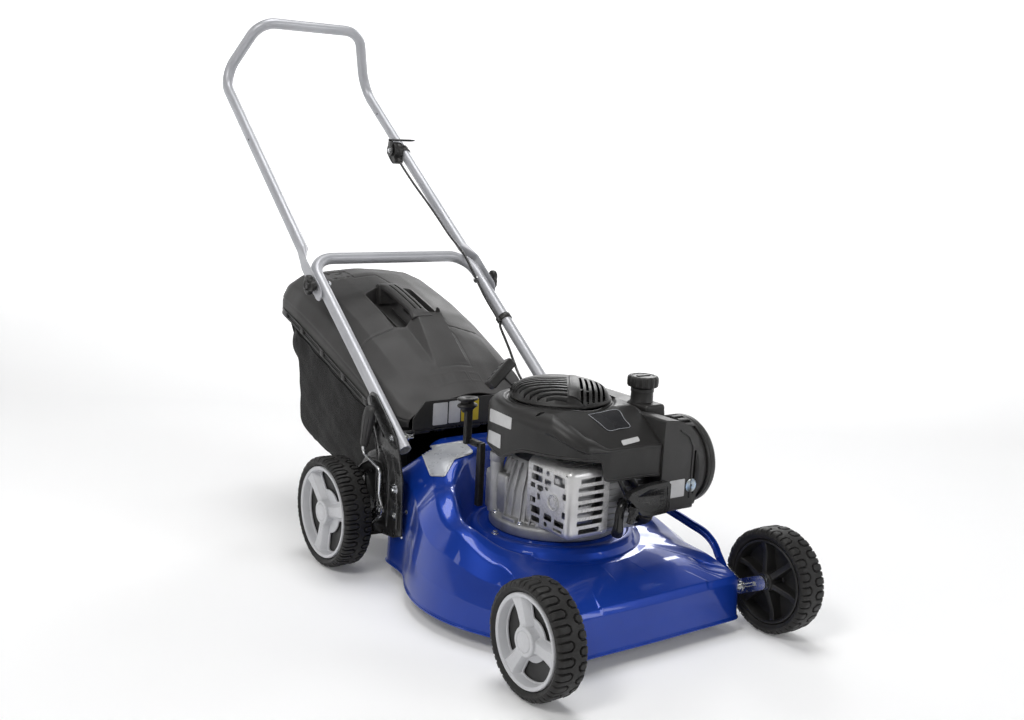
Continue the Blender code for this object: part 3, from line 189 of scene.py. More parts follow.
CAD_BOX = [[float(c) for c in corner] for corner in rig.bounds()]
YC = 0.28325
SHIFT = Matrix.Translation((0, -YC, 0))
PI = math.pi
rad = math.radians


# ------------------------------------------------------------------ materials
class Graph:
    """Short calls for building one material's nodes."""

    def __init__(self, name):
        self.mat = bpy.data.materials.new(name)
        self.mat.use_nodes = True
        self.tree = self.mat.node_tree
        self.shader = self.tree.nodes["Principled BSDF"]
        self.coord = self.tree.nodes.new("ShaderNodeTexCoord").outputs["Object"]

    def node(self, kind, **values):
        n = self.tree.nodes.new(kind)
        for key, value in values.items():
            if hasattr(n, key):
                setattr(n, key, value)
            else:
                n.inputs[key.replace("_", " ")].default_value = value
        return n

    def link(self, a, b):
        self.tree.links.new(a, b)

    def noise(self, scale, detail=3.0, rough=0.55, stretch=None, distortion=0.0):
        n = self.node("ShaderNodeTexNoise", Scale=scale, Detail=detail, Roughness=rough, Distortion=distortion)
        source = self.coord
        if stretch:
            m = self.node("ShaderNodeMapping")
            m.inputs["Scale"].default_value = stretch
            self.link(source, m.inputs["Vector"])
            source = m.outputs["Vector"]
        self.link(source, n.inputs["Vector"])
        return n.outputs["Fac"]

    def voronoi(self, scale, feature="F1", randomness=1.0):
        n = self.node("ShaderNodeTexVoronoi", feature=feature, Scale=scale, Randomness=randomness)
        self.link(self.coord, n.inputs["Vector"])
        return n.outputs["Distance"]

    def wave(self, scale, direction="X", distortion=0.0):
        n = self.node("ShaderNodeTexWave", bands_direction=direction, Scale=scale, Distortion=distortion)
        self.link(self.coord, n.inputs["Vector"])
        return n.outputs["Fac"]

    def ramp(self, value, low, high, to_low=0.0, to_high=1.0):
        n = self.node("ShaderNodeMapRange")
        n.clamp = True
        for key, v in (("From Min", low), ("From Max", high), ("To Min", to_low), ("To Max", to_high)):
            n.inputs[key].default_value = v
        self.link(value, n.inputs["Value"])
        return n.outputs["Result"]

    def math(self, op, a, b=None):
        n = self.node("ShaderNodeMath", operation=op)
        for i, v in enumerate((a, b)):
            if v is None:
                continue
            if isinstance(v, (int, float)):
                n.inputs[i].default_value = v
            else:
                self.link(v, n.inputs[i])
        return n.outputs[0]

    def mix(self, fac, a, b):
        n = self.node("ShaderNodeMix", data_type="RGBA")
        n.blend_type = "MIX"
        for socket, v in ((n.inputs[0], fac), (n.inputs[6], a), (n.inputs[7], b)):
            if isinstance(v, (int, float)):
                socket.default_value = v
            elif isinstance(v, tuple):
                socket.default_value = (*v, 1)
            else:
                self.link(v, socket)
        return n.outputs[2]

    def bump(self, height, distance, strength=1.0, before=None):
        n = self.node("ShaderNodeBump", Distance=distance, Strength=strength)
        self.link(height, n.inputs["Height"])
        if before is not None:
            self.link(before, n.inputs["Normal"])
        return n.outputs["Normal"]

    def pointiness(self, low=0.50, high=0.60):
        n = self.node("ShaderNodeNewGeometry")
        return self.ramp(n.outputs["Pointiness"], low, high)

    def set(self, **values):
        for key, v in values.items():
            socket = self.shader.inputs[key.replace("_", " ")]
            if isinstance(v, (int, float)):
                socket.default_value = v
            elif isinstance(v, tuple):
                socket.default_value = (*v, 1)
            else:
                self.link(v, socket)
        return self.mat


def plastic(name, dark, light, rough, grain=1400.0, depth=0.00006, spread=0.06, wear=None, metal=0.0,
            specular=0.5, coat=0.0, coat_rough=0.1, blotch=18.0):
    """Moulded or coated surface: two tones, a grain and a slightly uneven gloss."""
    g = Graph(name)
    broad = g.noise(blotch, 4, 0.6)
    fine = g.noise(grain, 2, 0.6)
    colour = g.mix(g.ramp(broad, 0.35, 0.65), dark, light)
    colour = g.mix(g.ramp(fine, 0.62, 0.80, 0.0, 0.35), colour, tuple(min(1.0, c * 1.6 + 0.004) for c in light))
    if wear:
        scratch = g.noise(240, 5, 0.7)
        edge = g.math("MULTIPLY", g.pointiness(0.515, 0.60), g.ramp(scratch, 0.42, 0.62))
        colour = g.mix(g.math("MULTIPLY", edge, 0.55), colour, wear)
    roughness = g.ramp(g.noise(blotch * 2.3, 5, 0.6), 0.3, 0.7, rough - spread, rough + spread)
    g.set(Base_Color=colour, Roughness=roughness, Metallic=metal,
          Normal=g.bump(fine, depth, 0.8))
    g.shader.inputs["Specular IOR Level"].default_value = specular
    g.shader.inputs["Coat Weight"].default_value = coat
    g.shader.inputs["Coat Roughness"].default_value = coat_rough
    return g.mat


def metal_mat(name, dark, light, rough, grain=900.0, depth=0.00003, spread=0.07, stretch=None, tint=None, pits=0.0):
    """Bare or plated metal with streaks, a grain and uneven gloss."""
    g = Graph(name)
    fine = g.noise(grain, 4, 0.65, stretch)
    broad = g.noise(35, 5, 0.6)
    colour = g.mix(g.ramp(broad, 0.3, 0.7), dark, light)
    if tint:
        colour = g.mix(g.ramp(g.noise(60, 3, 0.5, None, 1.0), 0.48, 0.66, 0.0, 0.55), colour, tint)
    height = fine
    if pits:
        cells = g.noise(420, 6, 0.75)
        height = g.math("ADD", fine, g.math("MULTIPLY", cells, pits))
    g.set(Base_Color=colour, Metallic=1.0,
          Roughness=g.ramp(g.noise(90, 5, 0.65), 0.3, 0.7, rough - spread, rough + spread),
          Normal=g.bump(height, depth, 1.0))
    return g.mat


def deck_paint():
    """Glossy blue metallic enamel under a clear coat, with a faint orange peel."""
    g = Graph("deck_blue")
    flake = g.voronoi(5200)
    broad = g.noise(7, 3, 0.5)
    colour = g.mix(g.ramp(broad, 0.35, 0.65), (0.0035, 0.034, 0.285), (0.0050, 0.043, 0.345))
    colour = g.mix(g.ramp(flake, 0.0, 0.28, 0.35, 0.0), colour, (0.02, 0.09, 0.62))
    dust = g.noise(3000, 2, 0.5)
    peel = g.noise(320, 2, 0.5)
    chips = g.math("MULTIPLY", g.pointiness(0.56, 0.64), g.ramp(g.noise(150, 6, 0.75), 0.60, 0.68))
    colour = g.mix(g.math("MULTIPLY", chips, 0.30), colour, (0.05, 0.09, 0.30))
    g.set(Base_Color=colour, Metallic=0.35, Roughness=g.ramp(dust, 0.3, 0.7, 0.30, 0.40),
          Normal=g.bump(peel, 0.00012, 0.55))
    g.shader.inputs["Specular IOR Level"].default_value = 0.15
    g.shader.inputs["Coat Weight"].default_value = 0.62
    g.shader.inputs["Coat Roughness"].default_value = 0.035
    g.shader.inputs["Coat IOR"].default_value = 1.50
    return g.mat


def fabric_mat():
    """Woven black polyester: crossing threads with a soft sheen."""
    g = Graph("bag_fabric")
    warp = g.wave(520, "Z")
    weft = g.wave(520, "Y")
    side = g.wave(520, "X")
    threads = g.math("MAXIMUM", g.math("MULTIPLY", warp, 0.9), g.math("MULTIPLY", g.math("ADD", weft, side), 0.55))
    fuzz = g.noise(900, 4, 0.7)
    broad = g.noise(9, 4, 0.55)
    colour = g.mix(g.ramp(broad, 0.3, 0.7), (0.0070, 0.0067, 0.0067), (0.0125, 0.0120, 0.0120))
    colour = g.mix(g.ramp(threads, 0.5, 1.2, 0.0, 0.4), colour, (0.022, 0.0210, 0.0210))
    colour = g.mix(g.ramp(fuzz, 0.6, 0.8, 0.0, 0.2), colour, (0.045, 0.043, 0.043))
    g.set(Base_Color=colour, Roughness=g.ramp(fuzz, 0.3, 0.7, 0.78, 0.92),
          Normal=g.bump(threads, 0.00035, 0.9, g.bump(g.noise(26, 4, 0.5), 0.0030, 0.5)))
    g.shader.inputs["Specular IOR Level"].default_value = 0.25
    g.shader.inputs["Sheen Weight"].default_value = 0.08
    g.shader.inputs["Sheen Roughness"].default_value = 0.5
    return g.mat


def rubber_mat():
    g = Graph("tyre_rubber")
    fine = g.noise(1100, 3, 0.6)
    broad = g.noise(22, 5, 0.65)
    colour = g.mix(g.ramp(broad, 0.3, 0.7), (0.0115, 0.0110, 0.0107), (0.0180, 0.0172, 0.0165))
    # paler colour on convex parts such as the lug edges, set by pointiness and a noise
    convex_paler = g.math("MULTIPLY", g.pointiness(0.50, 0.58), g.ramp(g.noise(60, 5, 0.7), 0.35, 0.7, 0.2, 1.0))
    colour = g.mix(g.math("MULTIPLY", convex_paler, 0.45), colour, (0.050, 0.047, 0.045))
    g.set(Base_Color=colour, Roughness=g.ramp(g.noise(160, 4, 0.6), 0.3, 0.7, 0.46, 0.64),
          Normal=g.bump(fine, 0.00008, 0.8))
    g.shader.inputs["Specular IOR Level"].default_value = 0.32
    return g.mat


def grip_mat():
    g = Graph("grip_rubber")
    fine = g.noise(1500, 3, 0.6)
    colour = g.mix(g.ramp(g.noise(40, 4), 0.3, 0.7), (0.020, 0.020, 0.020), (0.030, 0.029, 0.029))
    g.set(Base_Color=colour, Roughness=g.ramp(g.noise(80, 4), 0.3, 0.7, 0.50, 0.66), Normal=g.bump(fine, 0.00008, 0.8))
    return g.mat


M = {
    "deck": deck_paint(),
    "handle": plastic("handle_silver", (0.41, 0.415, 0.440), (0.47, 0.475, 0.500), 0.36, 2200, 0.00004, 0.05,
                      (0.22, 0.22, 0.23), metal=0.30, blotch=9),
    "shroud": plastic("black_plastic", (0.0165, 0.0160, 0.0155), (0.0220, 0.0210, 0.0205), 0.42, 1300, 0.00010, 0.05,
                      (0.060, 0.058, 0.056), specular=0.40),
    # a lighter copy of the black plastic, painted light: it stands in for the light falling on the air box's top
    "airbox": plastic("black_plastic_airbox", (0.0260, 0.0252, 0.0248), (0.0340, 0.0330, 0.0325), 0.46, 1300, 0.00010, 0.05),
    "gloss_black": plastic("black_gloss", (0.0075, 0.0075, 0.0078), (0.0115, 0.0113, 0.0113), 0.24, 900, 0.00004, 0.05,
                           (0.05, 0.05, 0.05)),
    "lid": plastic("catcher_grey", (0.036, 0.0345, 0.0340), (0.045, 0.0435, 0.043), 0.50, 900, 0.00016, 0.05,
                   (0.09, 0.087, 0.084), blotch=8, specular=0.32),
    "fabric": fabric_mat(),
    "rubber": rubber_mat(),
    "grip": grip_mat(),
    "hub": plastic("hub_grey", (0.53, 0.535, 0.555), (0.59, 0.595, 0.615), 0.45, 1200, 0.00005, 0.06,
                   (0.36, 0.36, 0.37), blotch=12),
    # also used as painted shade: on the starter cover's slot walls and underside, and on the disc beneath them
    "core": plastic("wheel_black", (0.0110, 0.0105, 0.0105), (0.0160, 0.0155, 0.0150), 0.48, 1100, 0.00006, 0.06),
    "zinc": metal_mat("zinc", (0.56, 0.57, 0.60), (0.74, 0.75, 0.76), 0.24, 1200, 0.00003, 0.08, None, (0.58, 0.58, 0.50)),
    "guard": plastic("guard_steel", (0.60, 0.595, 0.59), (0.72, 0.715, 0.71), 0.38, 700, 0.00006, 0.07, (0.34, 0.33, 0.32), metal=0.55, blotch=30),
    "cast": metal_mat("cast_aluminium", (0.36, 0.36, 0.365), (0.48, 0.48, 0.485), 0.58, 1500, 0.00022, 0.08, None, None, 1.2),
    "steel": metal_mat("steel", (0.36, 0.36, 0.37), (0.50, 0.50, 0.51), 0.32, 600, 0.00004, 0.08, (1, 1, 0.15)),
    "black_steel": plastic("black_steel", (0.0090, 0.0090, 0.0092), (0.0140, 0.0135, 0.0135), 0.30, 700, 0.00006, 0.08,
                           (0.10, 0.10, 0.105), metal=0.15, coat=0.35, coat_rough=0.18),
    "paper": plastic("filter_paper", (0.46, 0.36, 0.20), (0.56, 0.46, 0.28), 0.85, 500, 0.0002),
    "label": plastic("label_grey", (0.50, 0.50, 0.50), (0.58, 0.58, 0.58), 0.34, 1500, 0.00002, 0.05, blotch=40),
    "badge": plastic("badge_silver", (0.44, 0.455, 0.49), (0.53, 0.545, 0.57), 0.30, 1800, 0.00002, 0.05, metal=0.35, blotch=30),
    "dark_badge": plastic("badge_dark", (0.020, 0.020, 0.022), (0.035, 0.035, 0.037), 0.22, 1500, 0.00002, 0.04),
    "blue_zinc": metal_mat("blue_zinc", (0.30, 0.42, 0.60), (0.50, 0.60, 0.72), 0.28, 900, 0.00004, 0.06, None, (0.50, 0.46, 0.30)),
    # near-black, for the discs that paint the shade inside holes
    "hole": plastic("dark_inside", (0.0030, 0.0030, 0.0030), (0.0050, 0.0050, 0.0050), 0.7),
}


# -------------------------------------------------------------------- helpers
def add(name, mesh):
    obj = bpy.data.objects.new(name, mesh)
    bpy.context.scene.collection.objects.link(obj)
    return obj


def from_bm(name, bm):
    mesh = bpy.data.meshes.new(name)
    bm.to_mesh(mesh)
    bm.free()
    return add(name, mesh)


def evaluated(obj):
    """Applies every modifier of an object for good."""
    bpy.context.view_layer.update()
    graph = bpy.context.evaluated_depsgraph_get()
    mesh = bpy.data.meshes.new_from_object(obj.evaluated_get(graph), preserve_all_data_layers=True, depsgraph=graph)
    obj.modifiers.clear()
    obj.data = mesh
    return obj


def place(obj, body, mat, slot=None, replaces=(), angle=35, shift=True):
    """Moves a finished piece into the frame and gives it its material and body."""
    if obj.type == "MESH" and obj.modifiers:
        evaluated(obj)
    if shift:
        obj.data.transform(SHIFT @ obj.matrix_world)
        obj.matrix_world = Matrix.Identity(4)
    obj.data.materials.clear()
    for m in (mat if isinstance(mat, (list, tuple)) else [mat]):
        obj.data.materials.append(M[m])
    if obj.type == "MESH":
        obj.data.shade_smooth()
        obj.data.set_sharp_from_angle(angle=rad(angle))
    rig.ride(obj, body)
    if slot:
        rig.slot(obj, slot)
    if replaces:
        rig.replaces(obj, *([replaces] if isinstance(replaces, str) else replaces))
    return obj


def grid(name, rows, closed_u=False, closed_v=False, cap=False):
    """A quad surface through rows of points."""
    n = len(rows[0])
    verts = [tuple(p) for row in rows for p in row]
    faces = []
    m = len(rows)
    for j in range(m if closed_v else m - 1):
        k = (j + 1) % m
        for i in range(n if closed_u else n - 1):
            h = (i + 1) % n
            faces.append((j * n + i, j * n + h, k * n + h, k * n + i))
    if cap:
        faces.append(tuple(reversed(range(n))))
        faces.append(tuple((m - 1) * n + i for i in range(n)))
    mesh = bpy.data.meshes.new(name)
    mesh.from_pydata(verts, [], faces)
    bm = bmesh.new()
    bm.from_mesh(mesh)
    bmesh.ops.recalc_face_normals(bm, faces=bm.faces)
    bm.to_mesh(mesh)
    bm.free()
    return add(name, mesh)


def solidify(obj, thickness, offset=-1.0, even=True):
    mod = obj.modifiers.new("Solidify", "SOLIDIFY")
    mod.thickness = thickness
    mod.offset = offset
    mod.use_even_offset = even
    return obj


def bevel(obj, width, segments=3, angle=30, profile=0.5):
    mod = obj.modifiers.new("Bevel", "BEVEL")
    mod.width = width
    mod.segments = segments
    mod.limit_method = "ANGLE"
    mod.angle_limit = rad(angle)
    mod.profile = profile
    mod.use_clamp_overlap = True
    return obj


def block(name, low, high, round_=0.001, segments=3):
    """A box with rounded edges, applied."""
    bm = bmesh.new()
    bmesh.ops.create_cube(bm, size=1)
    bmesh.ops.scale(bm, vec=[h - l for l, h in zip(low, high)], verts=bm.verts)
    bmesh.ops.translate(bm, vec=[(h + l) / 2 for l, h in zip(low, high)], verts=bm.verts)
    obj = from_bm(name, bm)
    if round_:
        bevel(obj, round_, segments)
        evaluated(obj)
    return obj


def lathe(name, profile, steps=64, axis="Z", centre=(0, 0, 0), closed=True, spin=0.0):
    """A profile of (radius, height) turned about an axis through centre."""
    rows = []
    for i in range(steps):
        a = 2 * PI * i / steps + spin
        c, s = math.cos(a), math.sin(a)
        if axis == "Z":
            rows.append([(r * c, r * s, h) for r, h in profile])
        elif axis == "X":
            rows.append([(h, r * c, r * s) for r, h in profile])
        else:
            rows.append([(r * s, h, r * c) for r, h in profile])
    mesh = bpy.data.meshes.new(name)
    n = len(profile)
    verts = [Vector(p) + Vector(centre) for row in rows for p in row]
    faces = []
    for j in range(steps):
        k = (j + 1) % steps
        for i in range(n if closed else n - 1):
            h = (i + 1) % n
            faces.append((j * n + i, j * n + h, k * n + h, k * n + i))
    mesh.from_pydata(verts, [], faces)
    bm = bmesh.new()
    bm.from_mesh(mesh)
    bmesh.ops.remove_doubles(bm, verts=bm.verts, dist=0.000005)
    bmesh.ops.dissolve_degenerate(bm, edges=bm.edges, dist=0.000001)
    bmesh.ops.recalc_face_normals(bm, faces=bm.faces)
    bm.to_mesh(mesh)
    bm.free()
    return add(name, mesh)


def fillet(points, radii, steps=4, closed=False):
    """A 2-D or 3-D polyline with each corner rounded by its own radius; the count of points is fixed."""
    pts = [Vector(p) for p in points]
    if isinstance(radii, (int, float)):
        radii = [radii] * len(pts)
    out = []
    m = len(pts)
    for i, here in enumerate(pts):
        if not closed and i in (0, m - 1):
            out.append(here)
            continue
        before, after = pts[(i - 1) % m], pts[(i + 1) % m]
        lu, lv = (before - here).length, (after - here).length
        if lu < 1e-7 or lv < 1e-7:
            out.extend([here] * (steps + 1))
            continue
        u, v = (before - here) / lu, (after - here) / lv
        d = max(-1.0, min(1.0, u.dot(v)))
        angle = math.acos(d)
        if angle > PI - 0.01 or angle < 0.01:
            c = min(radii[i], 0.45 * lu, 0.45 * lv)
            for k in range(steps + 1):
                t = k / steps
                out.append(here + u * c * (1 - 2 * t) if t < 0.5 else here + v * c * (2 * t - 1))
            continue
        c = min(radii[i] / math.tan(angle / 2), 0.48 * lu, 0.48 * lv)
        r = c * math.tan(angle / 2)
        centre = here + (u + v).normalized() * (r / math.sin(angle / 2))
        a, b = here + u * c - centre, here + v * c - centre
        side = b - b.project(a)
        if side.length < 1e-9:
            out.extend([here] * (steps + 1))
            continue
        side = side.normalized() * a.length
        sweep = a.angle(b)
        for k in range(steps + 1):
            t = sweep * k / steps
            out.append(centre + a * math.cos(t) + side * math.sin(t))
    return out


def sweep(name, points, radius, sides=24, ends=True, radii=None, flat=None):
    """A round tube along points, with flat end caps; its frames don't twist."""
    pts = [Vector(p) for p in points]
    tangents = []
    for i in range(len(pts)):
        a, b = pts[max(i - 1, 0)], pts[min(i + 1, len(pts) - 1)]
        tangents.append((b - a).normalized())
    normal = tangents[0].orthogonal().normalized()
    rows = []
    for i, (p, t) in enumerate(zip(pts, tangents)):
        normal = (normal - t * normal.dot(t)).normalized()
        other = t.cross(normal)
        r = radii[i] if radii else radius
        rows.append([p + (normal * math.cos(a) + other * math.sin(a)) * r
                     for a in (2 * PI * k / sides for k in range(sides))])
    return grid(name, rows, closed_u=True, cap=ends)


def smooth_line(knots, count):
    """Points at even steps of a smooth curve through the knots."""
    k = [Vector(p) for p in knots]
    k = [2 * k[0] - k[1]] + k + [2 * k[-1] - k[-2]]
    dense_ = []
    for i in range(1, len(k) - 2):
        p0, p1, p2, p3 = k[i - 1:i + 3]
        for j in range(24):
            t = j / 24
            dense_.append(0.5 * ((2 * p1) + (p2 - p0) * t + (2 * p0 - 5 * p1 + 4 * p2 - p3) * t * t
                                 + (3 * p1 - p0 - 3 * p2 + p3) * t ** 3))
    dense_.append(k[-2])
    length = [0.0]
    for a, b in zip(dense_, dense_[1:]):
        length.append(length[-1] + (b - a).length)
    out, j = [], 0
    for i in range(count):
        want = length[-1] * i / (count - 1)
        while j < len(dense_) - 2 and length[j + 1] < want:
            j += 1
        span = length[j + 1] - length[j] or 1
        out.append(dense_[j].lerp(dense_[j + 1], (want - length[j]) / span))
    return out


def cap_faces(bm):
    """Fills every open boundary loop."""
    edges = [e for e in bm.edges if e.is_boundary]
    if edges:
        bmesh.ops.holes_fill(bm, edges=edges)


def prism(name, outline, axis, low, high, edge=0.0, segments=2, holes=()):
    """A flat outline with holes, thick along an axis, with rounded edges."""
    data = bpy.data.curves.new(name, "CURVE")
    data.dimensions = "2D"
    data.fill_mode = "BOTH"
    data.extrude = (high - low) / 2
    for ring in (outline, *holes):
        spline = data.splines.new("POLY")
        spline.points.add(len(ring) - 1)
        for p, co in zip(spline.points, ring):
            p.co = (co[0], co[1], 0, 1)
        spline.use_cyclic_u = True
    flat = add(name + "_flat", data)
    bpy.context.view_layer.update()
    mesh = bpy.data.meshes.new_from_object(flat.evaluated_get(bpy.context.evaluated_depsgraph_get()))
    bpy.data.objects.remove(flat, do_unlink=True)
    bm = bmesh.new()
    bm.from_mesh(mesh)
    bmesh.ops.remove_doubles(bm, verts=bm.verts, dist=0.000008)
    middle = (high + low) / 2
    if axis == "X":
        m = Matrix(((0, 0, 1, middle), (1, 0, 0, 0), (0, 1, 0, 0), (0, 0, 0, 1)))
    elif axis == "Y":
        m = Matrix(((1, 0, 0, 0), (0, 0, 1, middle), (0, 1, 0, 0), (0, 0, 0, 1)))
    else:
        m = Matrix.Translation((0, 0, middle))
    bmesh.ops.transform(bm, matrix=m, verts=bm.verts)
    bmesh.ops.recalc_face_normals(bm, faces=bm.faces)
    bm.to_mesh(mesh)
    bm.free()
    obj = add(name, mesh)
    if edge:
        bevel(obj, edge, segments, 40)
        evaluated(obj)
    return obj


def ring2(cx, cy, r, n=24, turn=0.0, ry=None):
    return [(cx + r * math.cos(turn + 2 * PI * i / n), cy + (ry or r) * math.sin(turn + 2 * PI * i / n)) for i in range(n)]


def rrect(x0, y0, x1, y1, r, steps=4):
    """Outline of a rectangle with round corners."""
    return [tuple(p) for p in fillet([(x0, y0), (x1, y0), (x1, y1), (x0, y1)], r, steps, closed=True)]


def cut(obj, cutters, operation="DIFFERENCE", solver="EXACT"):
    """Booleans one or more solids with obj for good, and removes them."""
    many = cutters if isinstance(cutters, (list, tuple)) else [cutters]
    if not many:
        return obj
    if operation != "INTERSECT" and len(many) > 1:
        tool = join(many, "tool")
        mods = [tool]
    else:
        mods = many
    for c in mods:
        mod = obj.modifiers.new("B", "BOOLEAN")
        mod.operation = operation
        mod.solver = solver
        mod.object = c
        if solver == "EXACT":
            mod.use_self = len(many) > 1
    evaluated(obj)
    for c in mods:
        bpy.data.objects.remove(c, do_unlink=True)
    return obj


def join(objs, name=None):
    """One object holding the meshes of several."""
    bm = bmesh.new()
    for o in objs:
        if o.modifiers:
            evaluated(o)
        m = o.data.copy()
        m.transform(o.matrix_world)
        bm.from_mesh(m)
        bpy.data.meshes.remove(m)
    first = from_bm(name or objs[0].name + "_all", bm)
    for o in objs:
        bpy.data.objects.remove(o, do_unlink=True)
    return first


def moved(obj, matrix):
    obj.data.transform(matrix)
    return obj


def twin(obj, name):
    """A mirrored copy across x = 0."""
    mesh = obj.data.copy()
    mesh.transform(Matrix.Scale(-1, 4, (1, 0, 0)))
    mesh.flip_normals()
    return add(name, mesh)


def aim(direction, up=(0, 0, 1)):
    """Turns +Z to a direction."""
    return Vector(direction).normalized().to_track_quat("Z", "Y").to_matrix().to_4x4()


def at(point, direction=(0, 0, 1)):
    return Matrix.Translation(Vector(point)) @ aim(direction)


def bolt(name, point, direction, r=0.0055, height=0.0045, washer=1.5, socket=True):
    """A flanged hex head that sits on a face: point is on the face."""
    bits = [lathe(name + "_w", [(0.0, 0.0), (r * washer, 0.0), (r * washer, 0.0008), (r * washer * 0.93, 0.0013), (0.0, 0.0013)], 28)]
    hexa = prism(name + "_h", ring2(0, 0, r, 6), "Z", 0.0011, height, 0.0006, 2)
    bits.append(hexa)
    obj = join(bits, name)
    if socket:
        cut(obj, prism("s", ring2(0, 0, r * 0.42, 6, 0.3), "Z", height - 0.0014, height + 0.01))
    return moved(obj, at(point, direction))


def smoothstep(a, b, x):
    t = np.clip((x - a) / (b - a), 0, 1)
    return t * t * (3 - 2 * t)


def sstep(a, b, x):
    t = min(1.0, max(0.0, (x - a) / (b - a)))
    return t * t * (3 - 2 * t)


# --------------------------------------------------------------------- wheels
def polygon_distance(px, py, poly):
    """Signed distance, negative inside, from arrays of points to a closed polygon."""
    best = np.full(px.shape, 1e9)
    inside = np.zeros(px.shape, bool)
    n = len(poly)
    for i in range(n):
        ax, ay = poly[i]
        bx, by = poly[(i + 1) % n]
        ex, ey = bx - ax, by - ay
        t = np.clip(((px - ax) * ex + (py - ay) * ey) / (ex * ex + ey * ey), 0, 1)
        best = np.minimum(best, np.hypot(px - ax - t * ex, py - ay - t * ey))
        cross = ((ay > py) != (by > py)) & (px < (bx - ax) * (py - ay) / (by - ay + 1e-12) + ax)
        inside ^= cross
    return np.where(inside, -best, best)


def tyre(name, radius, width, bead, lugs, per_lug=26):
    """Tyre round the X axis, outer face at +X, with two staggered rows of lugs."""
    w = width / 2
    # cross-section from the outer bead over the tread to the inner bead, in (x, r)
    half = [(w - 0.0060, bead), (w - 0.0042, bead + 0.0008), (w - 0.0022, bead + 0.0030)]
    side = radius - 0.0085
    for k in range(1, 7):
        t = k / 6
        half.append((w - 0.0022 + 0.0022 * math.sin(t * PI * 0.55), bead + 0.0030 + (side - bead - 0.0030) * t))
    for k in range(1, 9):
        a = k / 8 * PI / 2
        half.append((w - 0.0075 + 0.0075 * math.cos(a) - 0.0002, side + (radius - 0.0006 - side) * math.sin(a)))
    flat_w = w - 0.0078
    n_flat = 52
    section = list(half)
    for k in range(1, n_flat):
        x = flat_w * (1 - 2 * k / n_flat)
        section.append((x, radius - 0.0006 * (x / flat_w) ** 2))
    section += [(-x, r) for x, r in reversed(half)]
    n = len(section)
    steps = lugs * per_lug
    ang = 2 * PI * np.arange(steps) / steps
    sx = np.array([p[0] for p in section])
    sr = np.array([p[1] for p in section])
    pitch = 2 * PI * radius / lugs * 1000
    wm = w * 1000
    u = ((ang * lugs / (2 * PI)) % 1.0)[:, None] * pitch
    x = (sx * 1000)[None, :] + np.zeros_like(u)
    a = 0.285 * pitch
    outer = [(wm * 1.3, -a), (wm * 0.24, -a), (wm * 0.07, -a * 0.42), (wm * 0.07, a * 0.42), (wm * 0.24, a), (wm * 1.3, a)]
    inner = [(-wm * 1.3, -a), (-wm * 0.50, -a), (-wm * 0.35, -a * 0.36), (-wm * 0.35, a * 0.36), (-wm * 0.50, a), (-wm * 1.3, a)]
    depth = np.zeros_like(x)
    top = np.zeros_like(x)
    for poly, start in ((outer, 0.5), (inner, 0.0)):
        v = (u + start * pitch) % pitch - pitch / 2
        d = polygon_distance(x, v, poly)
        for extra in (-pitch, pitch):
            d2 = polygon_distance(x, v + extra, poly)
            d = np.where(np.abs(d2) < np.abs(d), d2, d)
        groove = 1 - smoothstep(0.85, 1.65, np.abs(d))
        depth = np.maximum(depth, groove)
        top = np.maximum(top, smoothstep(0.6, 2.4, -d))
    # grooves open on the shoulder and die out down the sidewall
    r_mm = (sr * 1000)[None, :] + np.zeros_like(u)
    fade = smoothstep(radius * 1000 - 10.5, radius * 1000 - 4.5, r_mm)
    # ribs between the lugs sit a little lower than the lugs
    drop = (3.2 * depth + 0.60 * (1 - top)) * fade / 1000
    # fine ridge round the sidewall
    ridge = 0.0005 * np.exp(-((sr - (bead + 0.0075)) / 0.0009) ** 2)
    nx = np.gradient(sr)
    nr = -np.gradient(sx)
    length = np.hypot(nx, nr) + 1e-9
    nx, nr = nx / length, nr / length
    # section runs outwards over the top, so this normal points out of the rubber
    X = sx[None, :] - drop * np.where(np.abs(nx) > 0.02, nx, 0)[None, :] * -1 + np.sign(sx)[None, :] * ridge[None, :]
    R = sr[None, :] - drop * np.abs(nr)[None, :]
    X = np.where(np.abs(sx)[None, :] > w - 0.006, sx[None, :] - np.sign(sx)[None, :] * (drop * 0.35 - ridge[None, :]), sx[None, :])
    C, S = np.cos(ang)[:, None], np.sin(ang)[:, None]
    co = np.stack([X, R * C, R * S], axis=-1).reshape(-1, 3)
    idx = np.arange(steps * n).reshape(steps, n)
    nxt = np.roll(idx, -1, axis=0)
    quads = np.stack([idx[:, :-1], idx[:, 1:], nxt[:, 1:], nxt[:, :-1]], axis=-1).reshape(-1, 4)
    closing = np.stack([idx[:, -1], idx[:, 0], nxt[:, 0], nxt[:, -1]], axis=-1).reshape(-1, 4)
    mesh = bpy.data.meshes.new(name)
    mesh.from_pydata(co.tolist(), [], np.concatenate([quads, closing]).tolist())
    bm = bmesh.new()
    bm.from_mesh(mesh)
    bmesh.ops.recalc_face_normals(bm, faces=bm.faces)
    bm.to_mesh(mesh)
    bm.free()
    return add(name, mesh)


